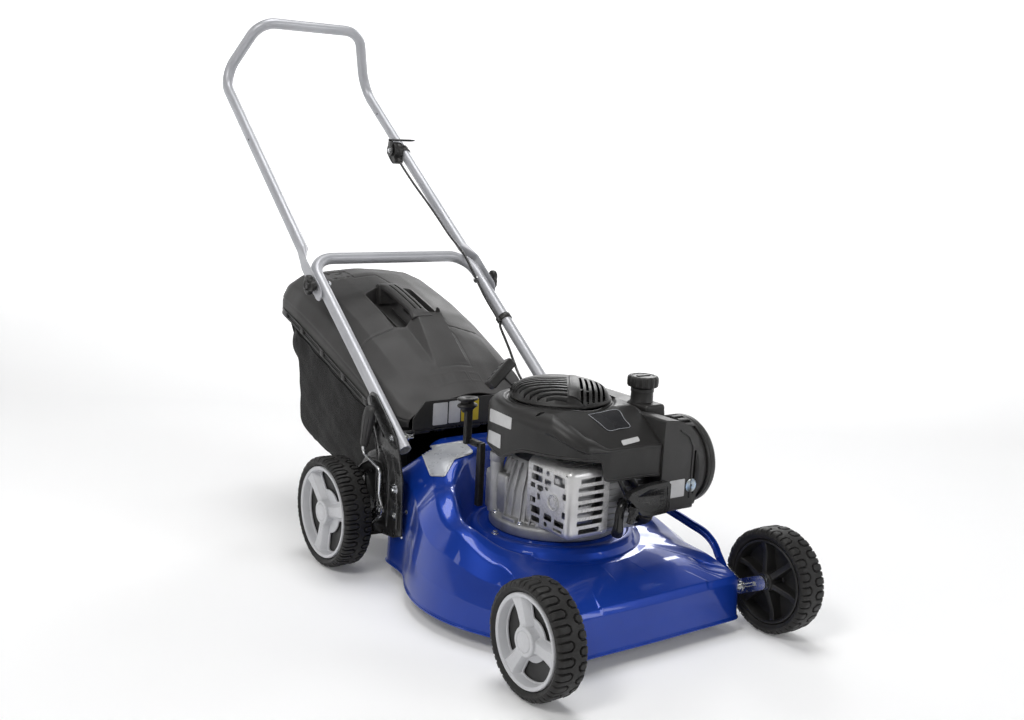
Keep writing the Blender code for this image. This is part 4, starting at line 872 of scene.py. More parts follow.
def wheel_cover(name, r_out, w, spin):
    """Light outer disc: a rolled lip, a dish with three windows, three wedge spokes and a round boss."""
    t = 0.0024
    floor = w - 0.0165
    profile = [(r_out, w - 0.0062), (r_out, w - 0.0030), (r_out - 0.0010, w - 0.0014), (r_out - 0.0028, w - 0.0009),
               (r_out - 0.0048, w - 0.0014), (r_out - 0.0062, w - 0.0026), (r_out - 0.0067, w - 0.0042), (r_out - 0.0087, floor + 0.0012),
               (r_out - 0.0098, floor), (0.0250, floor), (0.0228, floor + 0.0012), (0.0220, w - 0.0024), (0.0208, w - 0.0009),
               (0.0166, w - 0.0008), (0.0158, w - 0.0019), (0.0150, w - 0.0006), (0.0142, w - 0.0002), (0.0, w + 0.0001),
               (0.0, floor - t), (r_out - 0.0068, floor - t), (r_out - 0.0044, w - 0.0075)]
    disc = lathe(name, profile, 96, "X")
    tools = []
    r0, r1 = (0.033 if r_out < 0.075 else 0.040), r_out - 0.0100
    for k in range(3):
        mid = spin + rad(60 + 120 * k)
        spread0, spread1 = rad(35), rad(43)
        outline = []
        for j in range(9):
            a = mid + spread1 * (-1 + 2 * j / 8)
            outline.append((r1 * math.cos(a), r1 * math.sin(a)))
        for j in range(5):
            a = mid + spread0 * (1 - 2 * j / 4)
            outline.append((r0 * math.cos(a), r0 * math.sin(a)))
        outline = [tuple(p) for p in fillet(outline, [0.005] + [0.02] * 7 + [0.005, 0.003] + [0.02] * 3 + [0.003], 3, closed=True)]
        tools.append(prism("win", outline, "X", floor - 0.01, floor + 0.03))
    cut(disc, tools)
    spokes = []
    for k in range(3):
        a = spin + rad(120 * k)
        # cross-sections along the spoke: distance, half width of top and of foot, height of top
        rows = []
        for r, top, foot, x in ((0.0190, 0.0088, 0.0150, w - 0.0052), (0.0270, 0.0078, 0.0138, w - 0.0066), (0.55 * (r_out - 0.010) + 0.0110, 0.0084, 0.0140, w - 0.0062),
                                (r_out - 0.0150, 0.0098, 0.0160, w - 0.0052), (r_out - 0.0088, 0.0112, 0.0180, w - 0.0044),
                                (r_out - 0.0062, 0.0116, 0.0184, w - 0.0040)):
            low = floor - 0.0008
            row2 = [(-foot, low), (-foot * 0.97, low + 0.0012), (-top - 0.0010, x - 0.0012), (-top + 0.0006, x), (top - 0.0006, x),
                    (top + 0.0010, x - 0.0012), (foot * 0.97, low + 0.0012), (foot, low)]
            rows.append([(h, r * math.cos(a) - s * math.sin(a), r * math.sin(a) + s * math.cos(a)) for s, h in row2])
        spokes.append(grid("spoke", rows, closed_u=True, cap=True))
    for s in spokes:
        cut(disc, s, "UNION")
    bevel(disc, 0.0005, 2, 38)
    return evaluated(disc)


def wheel_core(name, r_out, w, hub_r):
    """Black inner wheel: a band, a web behind the cover, a hub tube and six ribs."""
    web = w - 0.0212
    back = -w + 0.0040
    band = lathe(name, [(r_out - 0.0003, w - 0.0078), (r_out - 0.0003, back), (r_out - 0.0020, back - 0.0012), (r_out - 0.0045, back),
                        (r_out - 0.0062, back + 0.0100), (r_out - 0.0075, web - 0.0030), (r_out - 0.0105, web - 0.0024),
                        (0.0190, web - 0.0024), (0.0172, web - 0.0040), (0.0158, -w + 0.0012), (0.0146, -w + 0.0004),
                        (hub_r + 0.0012, -w + 0.0004), (hub_r + 0.0004, -w + 0.0012), (hub_r + 0.0004, web + 0.0008), (r_out - 0.0030, web + 0.0008), (r_out - 0.0028, w - 0.0078)], 96, "X")
    ribs = []
    for k in range(6):
        a = rad(60 * k + 15)
        rows = []
        for r, half, x in ((0.0130, 0.0052, -w + 0.0030), (0.0200, 0.0047, -w + 0.0052), (r_out - 0.0220, 0.0042, back + 0.0080), (r_out - 0.0040, 0.0050, back + 0.0045)):
            row2 = [(-half - 0.0012, web - 0.0020), (-half, x + 0.0008), (-half + 0.0008, x), (half - 0.0008, x), (half, x + 0.0008), (half + 0.0012, web - 0.0020)]
            rows.append([(h, r * math.cos(a) - s * math.sin(a), r * math.sin(a) + s * math.cos(a)) for s, h in row2])
        ribs.append(grid("rib", rows, closed_u=True, cap=True))
    for r in ribs:
        cut(band, r, "UNION")
    bevel(band, 0.0006, 2, 40)
    return evaluated(band)


WHEELS = {
    "rear": (0.1015, 0.054, 0.0840, 0.2785, 0.2817, 36),
    "front": (0.0888, 0.0516, 0.0704, 0.2725, -0.3334, 24),
}
for end, (radius, width, rim_r, outer, wy, lugs) in WHEELS.items():
    w = width / 2
    tyre_0 = tyre("tyre_a", radius - 0.00035, width, rim_r + 0.0003, lugs, 26 if end == "front" else 20)
    cover_0 = wheel_cover("cover_a", rim_r - 0.0002, w, rad(65) if end == "front" else rad(45))
    core_0 = wheel_core("core_a", rim_r - 0.0002, w, 0.0060)
    nut_0 = lathe("washer_a", [(0.0062, -w - 0.0010), (0.0125, -w - 0.0010), (0.0125, -w + 0.0002), (0.0062, -w + 0.0002)], 40, "X")
    for side, label in ((1, "left"), (-1, "right")):
        centre = Matrix.Translation((side * (outer - w), wy, radius))
        body = "wheel_%s_%s" % (end, label)
        tag = "%s_%s" % (end, label)
        for source, name, mat, slot, node in (
            (tyre_0, "tread_" + tag, "rubber", "tyre_rubber", "tyre_" + tag),
            (cover_0, "wheel_cover_" + tag, "hub", "hub_grey", "rim_" + tag),
            (core_0, "wheel_core_" + tag, "core", "black_plastic", None),
            (nut_0, "wheel_washer_" + tag, "zinc", "zinc", None),
        ):
            obj = add(name, source.data.copy())
            if side < 0:
                # turned half round the upright, so the same face looks outwards
                obj.data.transform(Matrix.Scale(-1, 4, (1, 0, 0)))
                obj.data.flip_normals()
            obj.data.transform(centre)
            place(obj, body, mat, slot, [node] if node else (), 32)
    for source in (tyre_0, cover_0, core_0, nut_0):
        bpy.data.objects.remove(source, do_unlink=True)


# ------------------------------------------------ the photo's line of sight
VIEW = {"yaw": -0.6324, "pitch": 0.1863, "roll": 0.053, "focal": 1207.9, "eye": Vector((-1.2506, -1.6069, 0.7964))}


def view_axes():
    yaw, pitch, roll = VIEW["yaw"], VIEW["pitch"], VIEW["roll"]
    forward = Vector((-math.sin(yaw) * math.cos(pitch), math.cos(yaw) * math.cos(pitch), -math.sin(pitch)))
    right = Vector((math.cos(yaw), math.sin(yaw), 0))
    up = right.cross(forward)
    return forward, right * math.cos(roll) + up * math.sin(roll), -right * math.sin(roll) + up * math.cos(roll)


def ray(u, v):
    """Direction, in design axes, that a point of the 1024 x 720 frame looks along."""
    f, r, up = view_axes()
    return (f + r * ((u - 512) / VIEW["focal"]) + up * ((360 - v) / VIEW["focal"])).normalized()


def on_plane(u, v, axis, value):
    d = ray(u, v)
    i = "xyz".index(axis)
    return VIEW["eye"] + d * ((value - VIEW["eye"][i]) / d[i])


class Target:
    """A surface in design metres that decals, beads and studs are laid on."""

    def __init__(self, *objs):
        from mathutils.bvhtree import BVHTree
        verts, polys = [], []
        for o in objs:
            base = len(verts)
            inv = o.matrix_world
            verts += [inv @ v.co for v in o.data.vertices]
            polys += [[base + i for i in p.vertices] for p in o.data.polygons]
        self.tree = BVHTree.FromPolygons(verts, polys)

    def see(self, u, v):
        hit, normal, _, _ = self.tree.ray_cast(VIEW["eye"], ray(u, v))
        if hit is not None and normal.dot(ray(u, v)) > 0:
            normal = -normal
        return hit, normal

    def drop(self, start, direction):
        hit, normal, _, _ = self.tree.ray_cast(Vector(start), Vector(direction).normalized())
        if hit is not None and normal.dot(Vector(direction)) > 0:
            normal = -normal
        return hit, normal


def inside(poly, x, y):
    ok = False
    n = len(poly)
    for i in range(n):
        ax, ay = poly[i]
        bx, by = poly[(i + 1) % n]
        if (ay > y) != (by > y) and x < (bx - ax) * (y - ay) / (by - ay) + ax:
            ok = not ok
    return ok


def plate_on(name, target, outline, look=None, thickness=0.0005, lift=0.0001, divide=14, round_=0.0, corner=3):
    """A thin plate whose outline is dropped on a surface: look maps an outline point to (start, direction), or, when it
    is left out, the outline is in the photo frame."""
    ring = [Vector((*p, 0)) for p in outline]
    if round_:
        ring = fillet(ring, round_, corner, closed=True)
    fine = []
    for a, b in zip(ring, ring[1:] + ring[:1]):
        steps = max(1, int((b - a).length / (max((r - ring[0]).length for r in ring) / divide)))
        for k in range(steps):
            fine.append(a.lerp(b, k / steps))
    bm = bmesh.new()
    loop = [bm.verts.new(p) for p in fine]
    face = bm.faces.new(loop)
    xs = [p.x for p in fine]
    ys = [p.y for p in fine]
    step = max(max(xs) - min(xs), max(ys) - min(ys)) / divide
    for lo, hi, normal in ((min(xs), max(xs), (1, 0, 0)), (min(ys), max(ys), (0, 1, 0))):
        k = 1
        while lo + k * step < hi:
            at_ = (lo + k * step, 0, 0) if normal[0] else (0, lo + k * step, 0)
            bmesh.ops.bisect_plane(bm, geom=bm.verts[:] + bm.edges[:] + bm.faces[:], plane_co=at_, plane_no=normal, dist=1e-9)
            k += 1
    bmesh.ops.triangulate(bm, faces=[f for f in bm.faces if len(f.verts) > 4])
    normals = {}
    bad = []
    for v in bm.verts:
        if look is None:
            hit, normal = target.see(v.co.x, v.co.y)
        else:
            start, direction = look(v.co.x, v.co.y)
            hit, normal = target.drop(start, direction)
        if hit is None:
            bad.append(v)
            continue
        normals[v] = normal
        v.co = hit + normal * lift
    bmesh.ops.delete(bm, geom=bad, context="VERTS")
    # one side up, a copy a little above it, and walls round the rim
    bm.verts.index_update()
    top = bmesh.ops.duplicate(bm, geom=bm.verts[:] + bm.edges[:] + bm.faces[:])
    pair = {}
    base_of = top["vert_map"]
    for v in list(normals):
        if v.is_valid and v in base_of:
            pair[v] = base_of[v]
            base_of[v].co = v.co + normals[v] * thickness
    rim = [e for e in bm.edges if e.is_boundary and e.verts[0] in pair and e.verts[1] in pair]
    for e in rim:
        a, b = e.verts
        try:
            bm.faces.new((a, b, pair[b], pair[a]))
        except ValueError:
            pass
    bmesh.ops.recalc_face_normals(bm, faces=bm.faces)
    return from_bm(name, bm)


def bead_on(name, target, line, radius, sink=0.4, look=None, count=None, sides=8):
    """A bead that runs along a line dropped on a surface."""
    pts = smooth_line([Vector((*p, 0)) for p in line], count or 8 * len(line)) if len(line) > 2 else [
        Vector((*line[0], 0)).lerp(Vector((*line[1], 0)), k / 12) for k in range(13)]
    hits = []
    for p in pts:
        hit, normal = target.see(p.x, p.y) if look is None else target.drop(*look(p.x, p.y))
        if hit is not None:
            hits.append(hit + normal * radius * (1 - 2 * sink))
    return sweep(name, hits, radius, sides)


# ----------------------------------------------------------------------- deck
ENGINE_Y = -0.044
DECK_PLATE, DECK_LOW, DECK_ROUND = 0.140, 0.0235, 0.250
NOSE_HALF, NOSE_Y = 0.199, -0.3135
TAIL_HALF, TAIL_Y = 0.193, 0.212
# angle, then crest height and radius, then distance inside the edge and height of the crest's outer end, of the
# shoulder and of the top of the skirt
DECK_TABLE = [
    (-90, 0.121, 0.165, 0.0090, 0.0965, 0.0030, 0.0850, 0.0022, 0.055),
    (-127, 0.122, 0.165, 0.0090, 0.0965, 0.0030, 0.0860, 0.0022, 0.055),
    (-136, 0.123, 0.165, 0.016, 0.1130, 0.008, 0.102, 0.0030, 0.060),
    (-150, 0.138, 0.170, 0.036, 0.1280, 0.015, 0.104, 0.0040, 0.065),
    (180, 0.163, 0.178, 0.042, 0.1600, 0.016, 0.128, 0.0050, 0.075),
    (150, 0.196, 0.172, 0.045, 0.1900, 0.016, 0.155, 0.0050, 0.085),
    (122, 0.230, 0.168, 0.060, 0.2260, 0.020, 0.195, 0.0040, 0.120),
    (108, 0.238, 0.165, 0.016, 0.2390, 0.006, 0.234, 0.0020, 0.150),
    (72, 0.238, 0.165, 0.016, 0.2390, 0.006, 0.234, 0.0020, 0.150),
    (58, 0.230, 0.168, 0.060, 0.2260, 0.020, 0.195, 0.0040, 0.120),
    (30, 0.190, 0.172, 0.045, 0.1760, 0.016, 0.140, 0.0050, 0.085),
    (0, 0.148, 0.172, 0.045, 0.1340, 0.018, 0.108, 0.0050, 0.070),
    (-30, 0.127, 0.168, 0.034, 0.1190, 0.012, 0.104, 0.0040, 0.060),
    (-44, 0.123, 0.165, 0.016, 0.1130, 0.008, 0.102, 0.0030, 0.060),
    (-53, 0.122, 0.165, 0.0090, 0.0965, 0.0030, 0.0860, 0.0022, 0.055),
]


def deck_reach(angle):
    c, s = math.cos(angle), math.sin(angle)
    if s < 0:
        a, b, n = NOSE_HALF, ENGINE_Y - NOSE_Y, 26
    else:
        a, b, n = TAIL_HALF, TAIL_Y - ENGINE_Y, 16
    box_reach = ((abs(c) / a) ** n + (abs(s) / b) ** n) ** (-1 / n)
    return (DECK_ROUND ** 24 + box_reach ** 24) ** (1 / 24)


def table_at(table, degrees):
    rows = sorted(table)
    rows = [(rows[-1][0] - 360, *rows[-1][1:])] + rows + [(rows[0][0] + 360, *rows[0][1:])]
    while degrees < rows[0][0]:
        degrees += 360
    while degrees > rows[-1][0]:
        degrees -= 360
    for a, b in zip(rows, rows[1:]):
        if a[0] <= degrees <= b[0]:
            t = (degrees - a[0]) / (b[0] - a[0])
            t = t * t * (3 - 2 * t)
            return np.array([u + (v - u) * t for u, v in zip(a[1:], b[1:])])


def deck_surface():
    # angles at even steps of the outline, closer together on the nose
    probe = np.linspace(-PI, PI, 7201)[:-1]
    reach = np.array([deck_reach(a) for a in probe])
    px, py = reach * np.cos(probe), ENGINE_Y + reach * np.sin(probe)
    step = np.hypot(np.roll(px, -1) - px, np.roll(py, -1) - py)
    weight = step * np.where(py < -0.20, 2.2, 1.0)
    total = np.concatenate([[0], np.cumsum(weight)])
    count = 1080
    angles = np.interp(np.arange(count) / count * total[-1], total, np.concatenate([probe, [PI]]))
    fine = np.radians(np.arange(-180, 180, 0.5))
    table = np.array([table_at(DECK_TABLE, math.degrees(a)) for a in fine])
    kernel = np.exp(-0.5 * (np.arange(-12, 13) / 4.0) ** 2)
    kernel /= kernel.sum()
    padded = np.concatenate([table[-12:], table, table[:12]])
    smooth = np.stack([np.convolve(padded[:, k], kernel, "valid") for k in range(table.shape[1])], axis=1)
    rows = []
    for a in angles:
        zd, rd, de, ze, df, zf, dg, zg = [float(np.interp(a, fine, smooth[:, k], period=2 * PI)) for k in range(8)]
        r_out = deck_reach(a)
        re = r_out - de
        mid = 0.5 * (rd + re)
        prof = [(0.020, DECK_PLATE), (0.1125, DECK_PLATE), (0.1165, DECK_PLATE - 0.0030), (0.1270, DECK_PLATE - 0.0032), (0.1310, DECK_PLATE),
                (0.1370, DECK_PLATE - 0.0016), (0.1430, DECK_PLATE - 0.0080),
                (0.150, min(zd - 0.001, DECK_PLATE - 0.0130) + 0.001), (rd, zd), (mid, zd + 0.55 * (ze - zd) + 0.0015),
                (re, ze), (r_out - df, zf), (r_out - dg, zg), (r_out - 0.0006, DECK_LOW + 0.0055), (r_out + 0.0010, DECK_LOW + 0.0020), (r_out + 0.0012, DECK_LOW)]
        rr = [0, 0.002, 0.002, 0.002, 0.002, 0.006, 0.006, 0.006, 0.014, 0.040, 0.0060 if math.sin(a) < -0.6 else 0.016, 0.0070, 0.02, 0.003, 0.001, 0]
        line = fillet([(p[0], p[1], 0) for p in prof], rr, 5)
        out = []
        for i, (p, q) in enumerate(zip(line, line[1:])):
            long_ = {43: 12, 49: 22, 55: 22, 67: 10, 61: 6}.get(i, 1)
            for k in range(long_):
                out.append(p.lerp(q, k / long_))
        out.append(line[-1])
        rows.append([(v.x * math.cos(a), ENGINE_Y + v.x * math.sin(a), v.y) for v in out])
    return rows


deck_rows = np.array(deck_surface())


def nose_panel(points):
    """The raised panel on the nose, its stepped front edge and the sunk triangle beside it, added to the height."""
    x, y, z = points[..., 0] * 1000, points[..., 1] * 1000, points[..., 2]
    panel = [(-175, -283), (-136, -284), (-117, -288), (-103, -309), (113, -309), (123, -302), (131, -288), (150, -222), (157, -196), (150, -150), (-175, -150)]
    d = polygon_distance(x, y, panel)
    top = smoothstep(0.6, -1.6, d) * (z > 0.088) * (y < -150)
    fade = smoothstep(-215, -245, y)
    points[..., 2] += 0.0016 * top * fade
    sunk = [(160, -206), (170, -262), (140, -288)]
    d = polygon_distance(x, y, sunk)
    points[..., 2] -= 0.0042 * smoothstep(1.2, -6.0, d) * (z > 0.085)
    # faint bead along the panel's front edge
    edge = np.exp(-(polygon_distance(x, y, panel) / 1.1) ** 2) * (y < -280) * (np.abs(x) < 135) * (z > 0.088)
    points[..., 2] += 0.0006 * edge
    return points


deck_rows = nose_panel(deck_rows)
deck = grid("deck_shell", deck_rows.tolist(), closed_v=True)
bm = bmesh.new()
bm.from_mesh(deck.data)
# the chute's mouth in the rear wall, cut along straight lines
CHUTE = (0.135, 0.118, 0.2255)
for co, no in (((CHUTE[0], 0, 0), (1, 0, 0)), ((-CHUTE[0], 0, 0), (1, 0, 0)), ((0, 0, CHUTE[1]), (0, 0, 1)), ((0, 0, CHUTE[2]), (0, 0, 1))):
    near = [f for f in bm.faces if f.calc_center_median().y > 0.17]
    geom = set(near)
    for f in near:
        geom.update(f.verts)
        geom.update(f.edges)
    bmesh.ops.bisect_plane(bm, geom=list(geom), plane_co=co, plane_no=no, dist=1e-7)
gone = []
for f in bm.faces:
    c = f.calc_center_median()
    if c.y > 0.190 and abs(c.x) < CHUTE[0] and CHUTE[1] < c.z < CHUTE[2]:
        gone.append(f)
bmesh.ops.delete(bm, geom=gone, context="FACES")
bmesh.ops.recalc_face_normals(bm, faces=bm.faces)
up = sum(f.normal.z * f.calc_area() for f in bm.faces)
if up < 0:
    bmesh.ops.reverse_faces(bm, faces=bm.faces)
bm.to_mesh(deck.data)
bm.free()
deck_target = Target(deck)
solidify(deck, 0.0022, -1.0)
evaluated(deck)
place(deck, "chassis", "deck", "deck_blue", "deck", 50)

# rolled lower edge all the way round, open at the back under the chute
rim_line = []
for i in range(361):
    a = rad(-270 + i)
    r = deck_reach(a) + 0.0006
    rim_line.append((r * math.cos(a), ENGINE_Y + r * math.sin(a), DECK_LOW + 0.0008))
rim_bead = sweep("deck_rolled_edge", rim_line[4:-4], 0.0018, 10)
place(rim_bead, "chassis", "deck", "deck_blue")

# plain silver plate on the rear shoulder
badge = plate_on("deck_plate", deck_target, [(419.0, 448.0), (463, 441.3), (474.5, 453), (454.6, 460), (445, 477), (430.7, 476.5)], None,
                 0.0009, 0.0007, 34, 2.4)
place(badge, "chassis", "badge", "zinc", (), 40)
badge_rim = bead_on("deck_plate_rim", deck_target, [(420.6, 449.2), (440, 446.4), (461.5, 443.6), (472.0, 452.4), (462, 456.0), (453.2, 459.2), (448.5, 467), (444.2, 475.4), (437, 475.4), (431.8, 475.0), (425.5, 462), (420.6, 449.2)], 0.00045, -1.6, None, 90)
place(badge_rim, "chassis", "guard", "zinc", (), 60)
# flange bolts in the groove round the engine, and rivets on the tail
for k in range(3):
    a = rad(-60 + 120 * k)
    b = bolt("engine_bolt_%d" % k, (0.1215 * math.cos(a), ENGINE_Y + 0.1215 * math.sin(a), 0.1367), (0, 0, 1), 0.0050, 0.0052, 1.3)
    place(b, "chassis", "zinc", "zinc")
for k, (y, z) in enumerate(((0.139, 0.0855), (0.1330, 0.1320))):
    for side, label in ((-1, "right"), (1, "left")):
        r = lathe("tail_rivet_%s_%d" % (label, k), [(0.0, 0.0022), (0.0022, 0.0018), (0.0036, 0.0005), (0.0036, -0.0015), (0.0, -0.0015)], 20)
        hit, normal = deck_target.drop((side * 0.30, y, z), (-side, 0, 0))
        moved(r, at(hit, (side, 0, 0)))
        place(r, "chassis", "zinc", "zinc")


# -------------------------------------------------------------------- handles
TUBE_R = 0.0115
LOWER_END, LOWER_TOP = (0.1872, 0.1457, 0.2412), (0.1846, 0.5358, 0.5318)
FOLD = (0.4775, 0.4884)
BOLT_LOWER = (0.168, 0.2578)
UPPER_START, UPPER_BEND, UPPER_TOP = (0.1888, 0.560, 0.5494), (0.1760, 0.9938, 0.8804), (0.1218, 0.9229, 1.0023)
PADDLE_X, PADDLE_T = 0.2012, 0.0030


def on_lower(t):
    return Vector(LOWER_END).lerp(Vector(LOWER_TOP), t)


def on_upper(y, side=1):
    a, b = Vector(UPPER_START), Vector(UPPER_BEND)
    t = (y - a.y) / (b.y - a.y)
    p = a.lerp(b, t)
    return Vector((side * p.x, p.y, p.z))


def rings_along(points, start_normal, rx, rn=None, sides=36):
    pts = [Vector(p) for p in points]
    rows = []
    normal = Vector(start_normal)
    for i, p in enumerate(pts):
        t = (pts[min(i + 1, len(pts) - 1)] - pts[max(i - 1, 0)]).normalized()
        normal = (normal - t * normal.dot(t)).normalized()
        other = normal.cross(t)
        rows.append([p + normal * (math.cos(a) * rx) + other * (math.sin(a) * (rn or rx)) for a in (2 * PI * k / sides for k in range(sides))])
    return rows


def subdivided(points, step):
    out = []
    for a, b in zip(points, points[1:]):
        n = max(1, int((b - a).length / step))
        out += [a.lerp(b, k / n) for k in range(n)]
    return out + [points[-1]]


# lower handle: one bent tube, open at both ends
line = fillet([LOWER_END, LOWER_TOP, (-LOWER_TOP[0], *LOWER_TOP[1:]), (-LOWER_END[0], *LOWER_END[1:])], 0.050, 18)
lower = grid("lower_tube", rings_along(subdivided(line, 0.012), (1, 0, 0), TUBE_R), closed_u=True)
solidify(lower, 0.0014)
evaluated(lower)
tools = []
for side in (1, -1):
    for y, z in (BOLT_LOWER, FOLD):
        tools.append(moved(lathe("t", [(0, 0), (0.0042, 0), (0.0042, 0.06), (0, 0.06)], 20), at((side * 0.15, y, z), (side, 0, 0))))
cut(lower, tools)
bevel(lower, 0.0003, 1, 50)
place(lower, "chassis", "handle", "handle_silver", "lower_handle", 40)

# upper handle: half a tube from the middle of the grip to its flattened end, mirrored
slope = (Vector(UPPER_BEND) - Vector(UPPER_START)).normalized()
flat_up = Vector((0, -slope.z, slope.y)).normalized()
start = Vector(UPPER_START)
rows = []
SIDES = 36
for k in range(46):
    s = 0.1375 - (0.1375 + 0.004) * k / 45
    f = 0.45 * sstep(0.0, 0.022, s) + 0.55 * sstep(0.016, 0.046, s)
    mid = start - slope * s
    x = UPPER_START[0] + (PADDLE_X - UPPER_START[0]) * f
    half_x = TUBE_R + (PADDLE_T / 2 - TUBE_R) * f
    half_n = TUBE_R + 0.0035 * f
    if s > 0.1215:
        half_n *= math.sqrt(max(0.03, 1 - ((s - 0.1215) / 0.0168) ** 2))
    p = 1.0 - 0.38 * f
    ring = []
    for i in range(SIDES):
        t = 2 * PI * i / SIDES
        c, sn = math.cos(t), math.sin(t)
        ring.append(Vector((x + math.copysign(abs(c) ** p, c) * half_x, mid.y, mid.z)) + flat_up * (math.copysign(abs(sn) ** p, sn) * half_n))
    rows.append(ring)
line = fillet([start + slope * 0.006, Vector(UPPER_BEND), Vector(UPPER_TOP), (0, *UPPER_TOP[1:])], 0.055, 18)
rows += rings_along(subdivided(line, 0.012), (1, 0, 0), TUBE_R, None, SIDES)
half_obj = grid("upper_half", rows, closed_u=True)
bm = bmesh.new()
bm.from_mesh(half_obj.data)
end = [v for v in bm.verts if abs(v.co.x) < 1e-6]
for v in end:
    v.co.x = 0
first = [bm.verts[i] for i in range(0)]
bm.verts.ensure_lookup_table()
bm.faces.new([bm.verts[i] for i in range(SIDES)])
bmesh.ops.recalc_face_normals(bm, faces=bm.faces)
bm.to_mesh(half_obj.data)
bm.free()
other = twin(half_obj, "upper_other")
upper = join([half_obj, other], "upper_tube")
bm = bmesh.new()
bm.from_mesh(upper.data)
bmesh.ops.remove_doubles(bm, verts=[v for v in bm.verts if abs(v.co.x) < 1e-5], dist=1e-5)
bmesh.ops.recalc_face_normals(bm, faces=bm.faces)
bm.to_mesh(upper.data)
bm.free()
tools = [moved(lathe("t", [(0, 0), (0.0042, 0), (0.0042, 0.03), (0, 0.03)], 20), at((side * 0.19, *FOLD), (side, 0, 0))) for side in (1, -1)]
seen = Target(upper)
for u, v in ((248.5, 139.5), (377.0, 114.0)):
    hit, normal = seen.see(u, v)
    if hit is not None:
        tools.append(moved(lathe("t", [(0, -0.005), (0.0023, -0.005), (0.0023, 0.008), (0, 0.008)], 18), at(hit, normal)))
cut(upper, tools)
bevel(upper, 0.0004, 2, 45)
place(upper, "upper_handle", "handle", "handle_silver", "upper_handle", 40)
# a near-black disc just inside each hole in the tube: painted shade inside the holes
for k, (u, v) in enumerate(((248.5, 139.5), (377.0, 114.0))):
    hit, normal = seen.see(u, v)
    if hit is not None:
        hole_shade_disc = moved(lathe("tube_hole_%d" % k, [(0.0, -0.0012), (0.0022, -0.0012), (0.0022, -0.0020), (0.0, -0.0020)], 18), at(hit, normal))
        place(hole_shade_disc, "upper_handle", "hole", "black_plastic")


def lobed(name, profile, outline, steps=90):
    """Rings of a plan outline scaled by a profile of (scale, height) along +Z."""
    rows = [[(outline(2 * PI * k / steps) * s * math.cos(2 * PI * k / steps), outline(2 * PI * k / steps) * s * math.sin(2 * PI * k / steps), h)
             for k in range(steps)] for s, h in profile]
    return grid(name, rows, closed_u=True, cap=True)


def knob_shape(t):
    return 0.0172 + 0.0042 * math.cos(3 * t) - 0.0006 * math.cos(6 * t)


for side, label in ((1, "left"), (-1, "right")):
    to = (side, 0, 0)
    knob = lobed("star", [(0.80, 0.0020), (0.93, 0.0024), (0.985, 0.0036), (1.0, 0.0052), (1.0, 0.0098), (0.975, 0.0116), (0.90, 0.0128), (0.72, 0.0132),
                          (0.60, 0.0128), (0.56, 0.0132), (0.54, 0.0162), (0.51, 0.0176), (0.45, 0.0180)], knob_shape)
    skirt = lathe("skirt", [(0.0044, 0.0000), (0.0118, 0.0000), (0.0124, 0.0008), (0.0124, 0.0030), (0.0044, 0.0030)], 48)
    knob = join([knob, skirt], "star_grip_" + label)
    recess = lathe("r", [(0, 0.0170), (0.0052, 0.0170), (0.0058, 0.0200), (0, 0.0200)], 30)
    bore = lathe("b", [(0, -0.01), (0.0044, -0.01), (0.0044, 0.0087), (0, 0.0087)], 24)
    cut(knob, [recess, bore])
    bevel(knob, 0.0003, 2, 50)
    evaluated(knob)
    moved(knob, at((side * 0.2040, *FOLD), to))
    place(knob, "star_knob_" + label, "shroud", "black_plastic", "star_knob_" + label, 40)
    prof = [(0.0, -0.0044), (0.0034, -0.0041), (0.0058, -0.0032), (0.0073, -0.0014), (0.0076, 0.0002), (0.0040, 0.0004)]
    h = 0.0016
    prof.append((0.0040, 0.0300))
    while h < 0.0086:
        prof += [(0.0040, 0.0300 + h - 0.0010), (0.0037, 0.0300 + h - 0.0005)]
        h += 0.0011
    prof += [(0.0037, 0.0394), (0.0030, 0.0400), (0.0, 0.0400)]
    b = lathe("fold_screw_" + label, prof, 30)
    moved(b, at((side * 0.1722, *FOLD), to))
    place(b, "chassis", "zinc", "zinc", "fold_bolt_" + label)
    head = bolt("h", (side * 0.2027, *BOLT_LOWER), to, 0.0062, 0.0050, 1.35)
    shank = moved(lathe("s", [(0, 0), (0.0039, 0), (0.0039, 0.0440), (0, 0.0440)], 24), at((side * 0.1590, *BOLT_LOWER), to))
    nut = bolt("n", (side * 0.1748, *BOLT_LOWER), (-side, 0, 0), 0.0065, 0.0062, 1.3, False)
    place(join([head, shank, nut], "lower_screw_" + label), "chassis", "zinc", "zinc", "lower_handle_bolt_" + label)

# ------------------------------------------------------- throttle and cable
leg = on_upper(0.8080)
hx0, hx1 = leg.x - TUBE_R - 0.0004 - 0.0220, leg.x - TUBE_R - 0.0008
THROTTLE = Vector(((hx0 + hx1) / 2, leg.y, leg.z)) + flat_up * 0.0030
turn = math.atan2(slope.z, slope.y)
tilt = Matrix.Translation(THROTTLE) @ Matrix.Rotation(turn, 4, "X")
hw = (hx1 - hx0) / 2


def tear(grow=0.0):
    """The housing's plan, y along the tube and z across it: round at the top, drawn out towards the cable."""
    ring = []
    for k in range(25):
        a = rad(-62 + 250 * k / 24)
        ring.append(((0.0192 + grow) * math.cos(a), (0.0192 + grow) * math.sin(a)))
    ring += [(-0.0276 - grow, -0.0060), (-0.0292 - grow, -0.0100), (-0.0280 - grow, -0.0152 - grow), (-0.0225 - grow, -0.0186 - grow), (-0.0100, -0.0190 - grow)]
    return ring


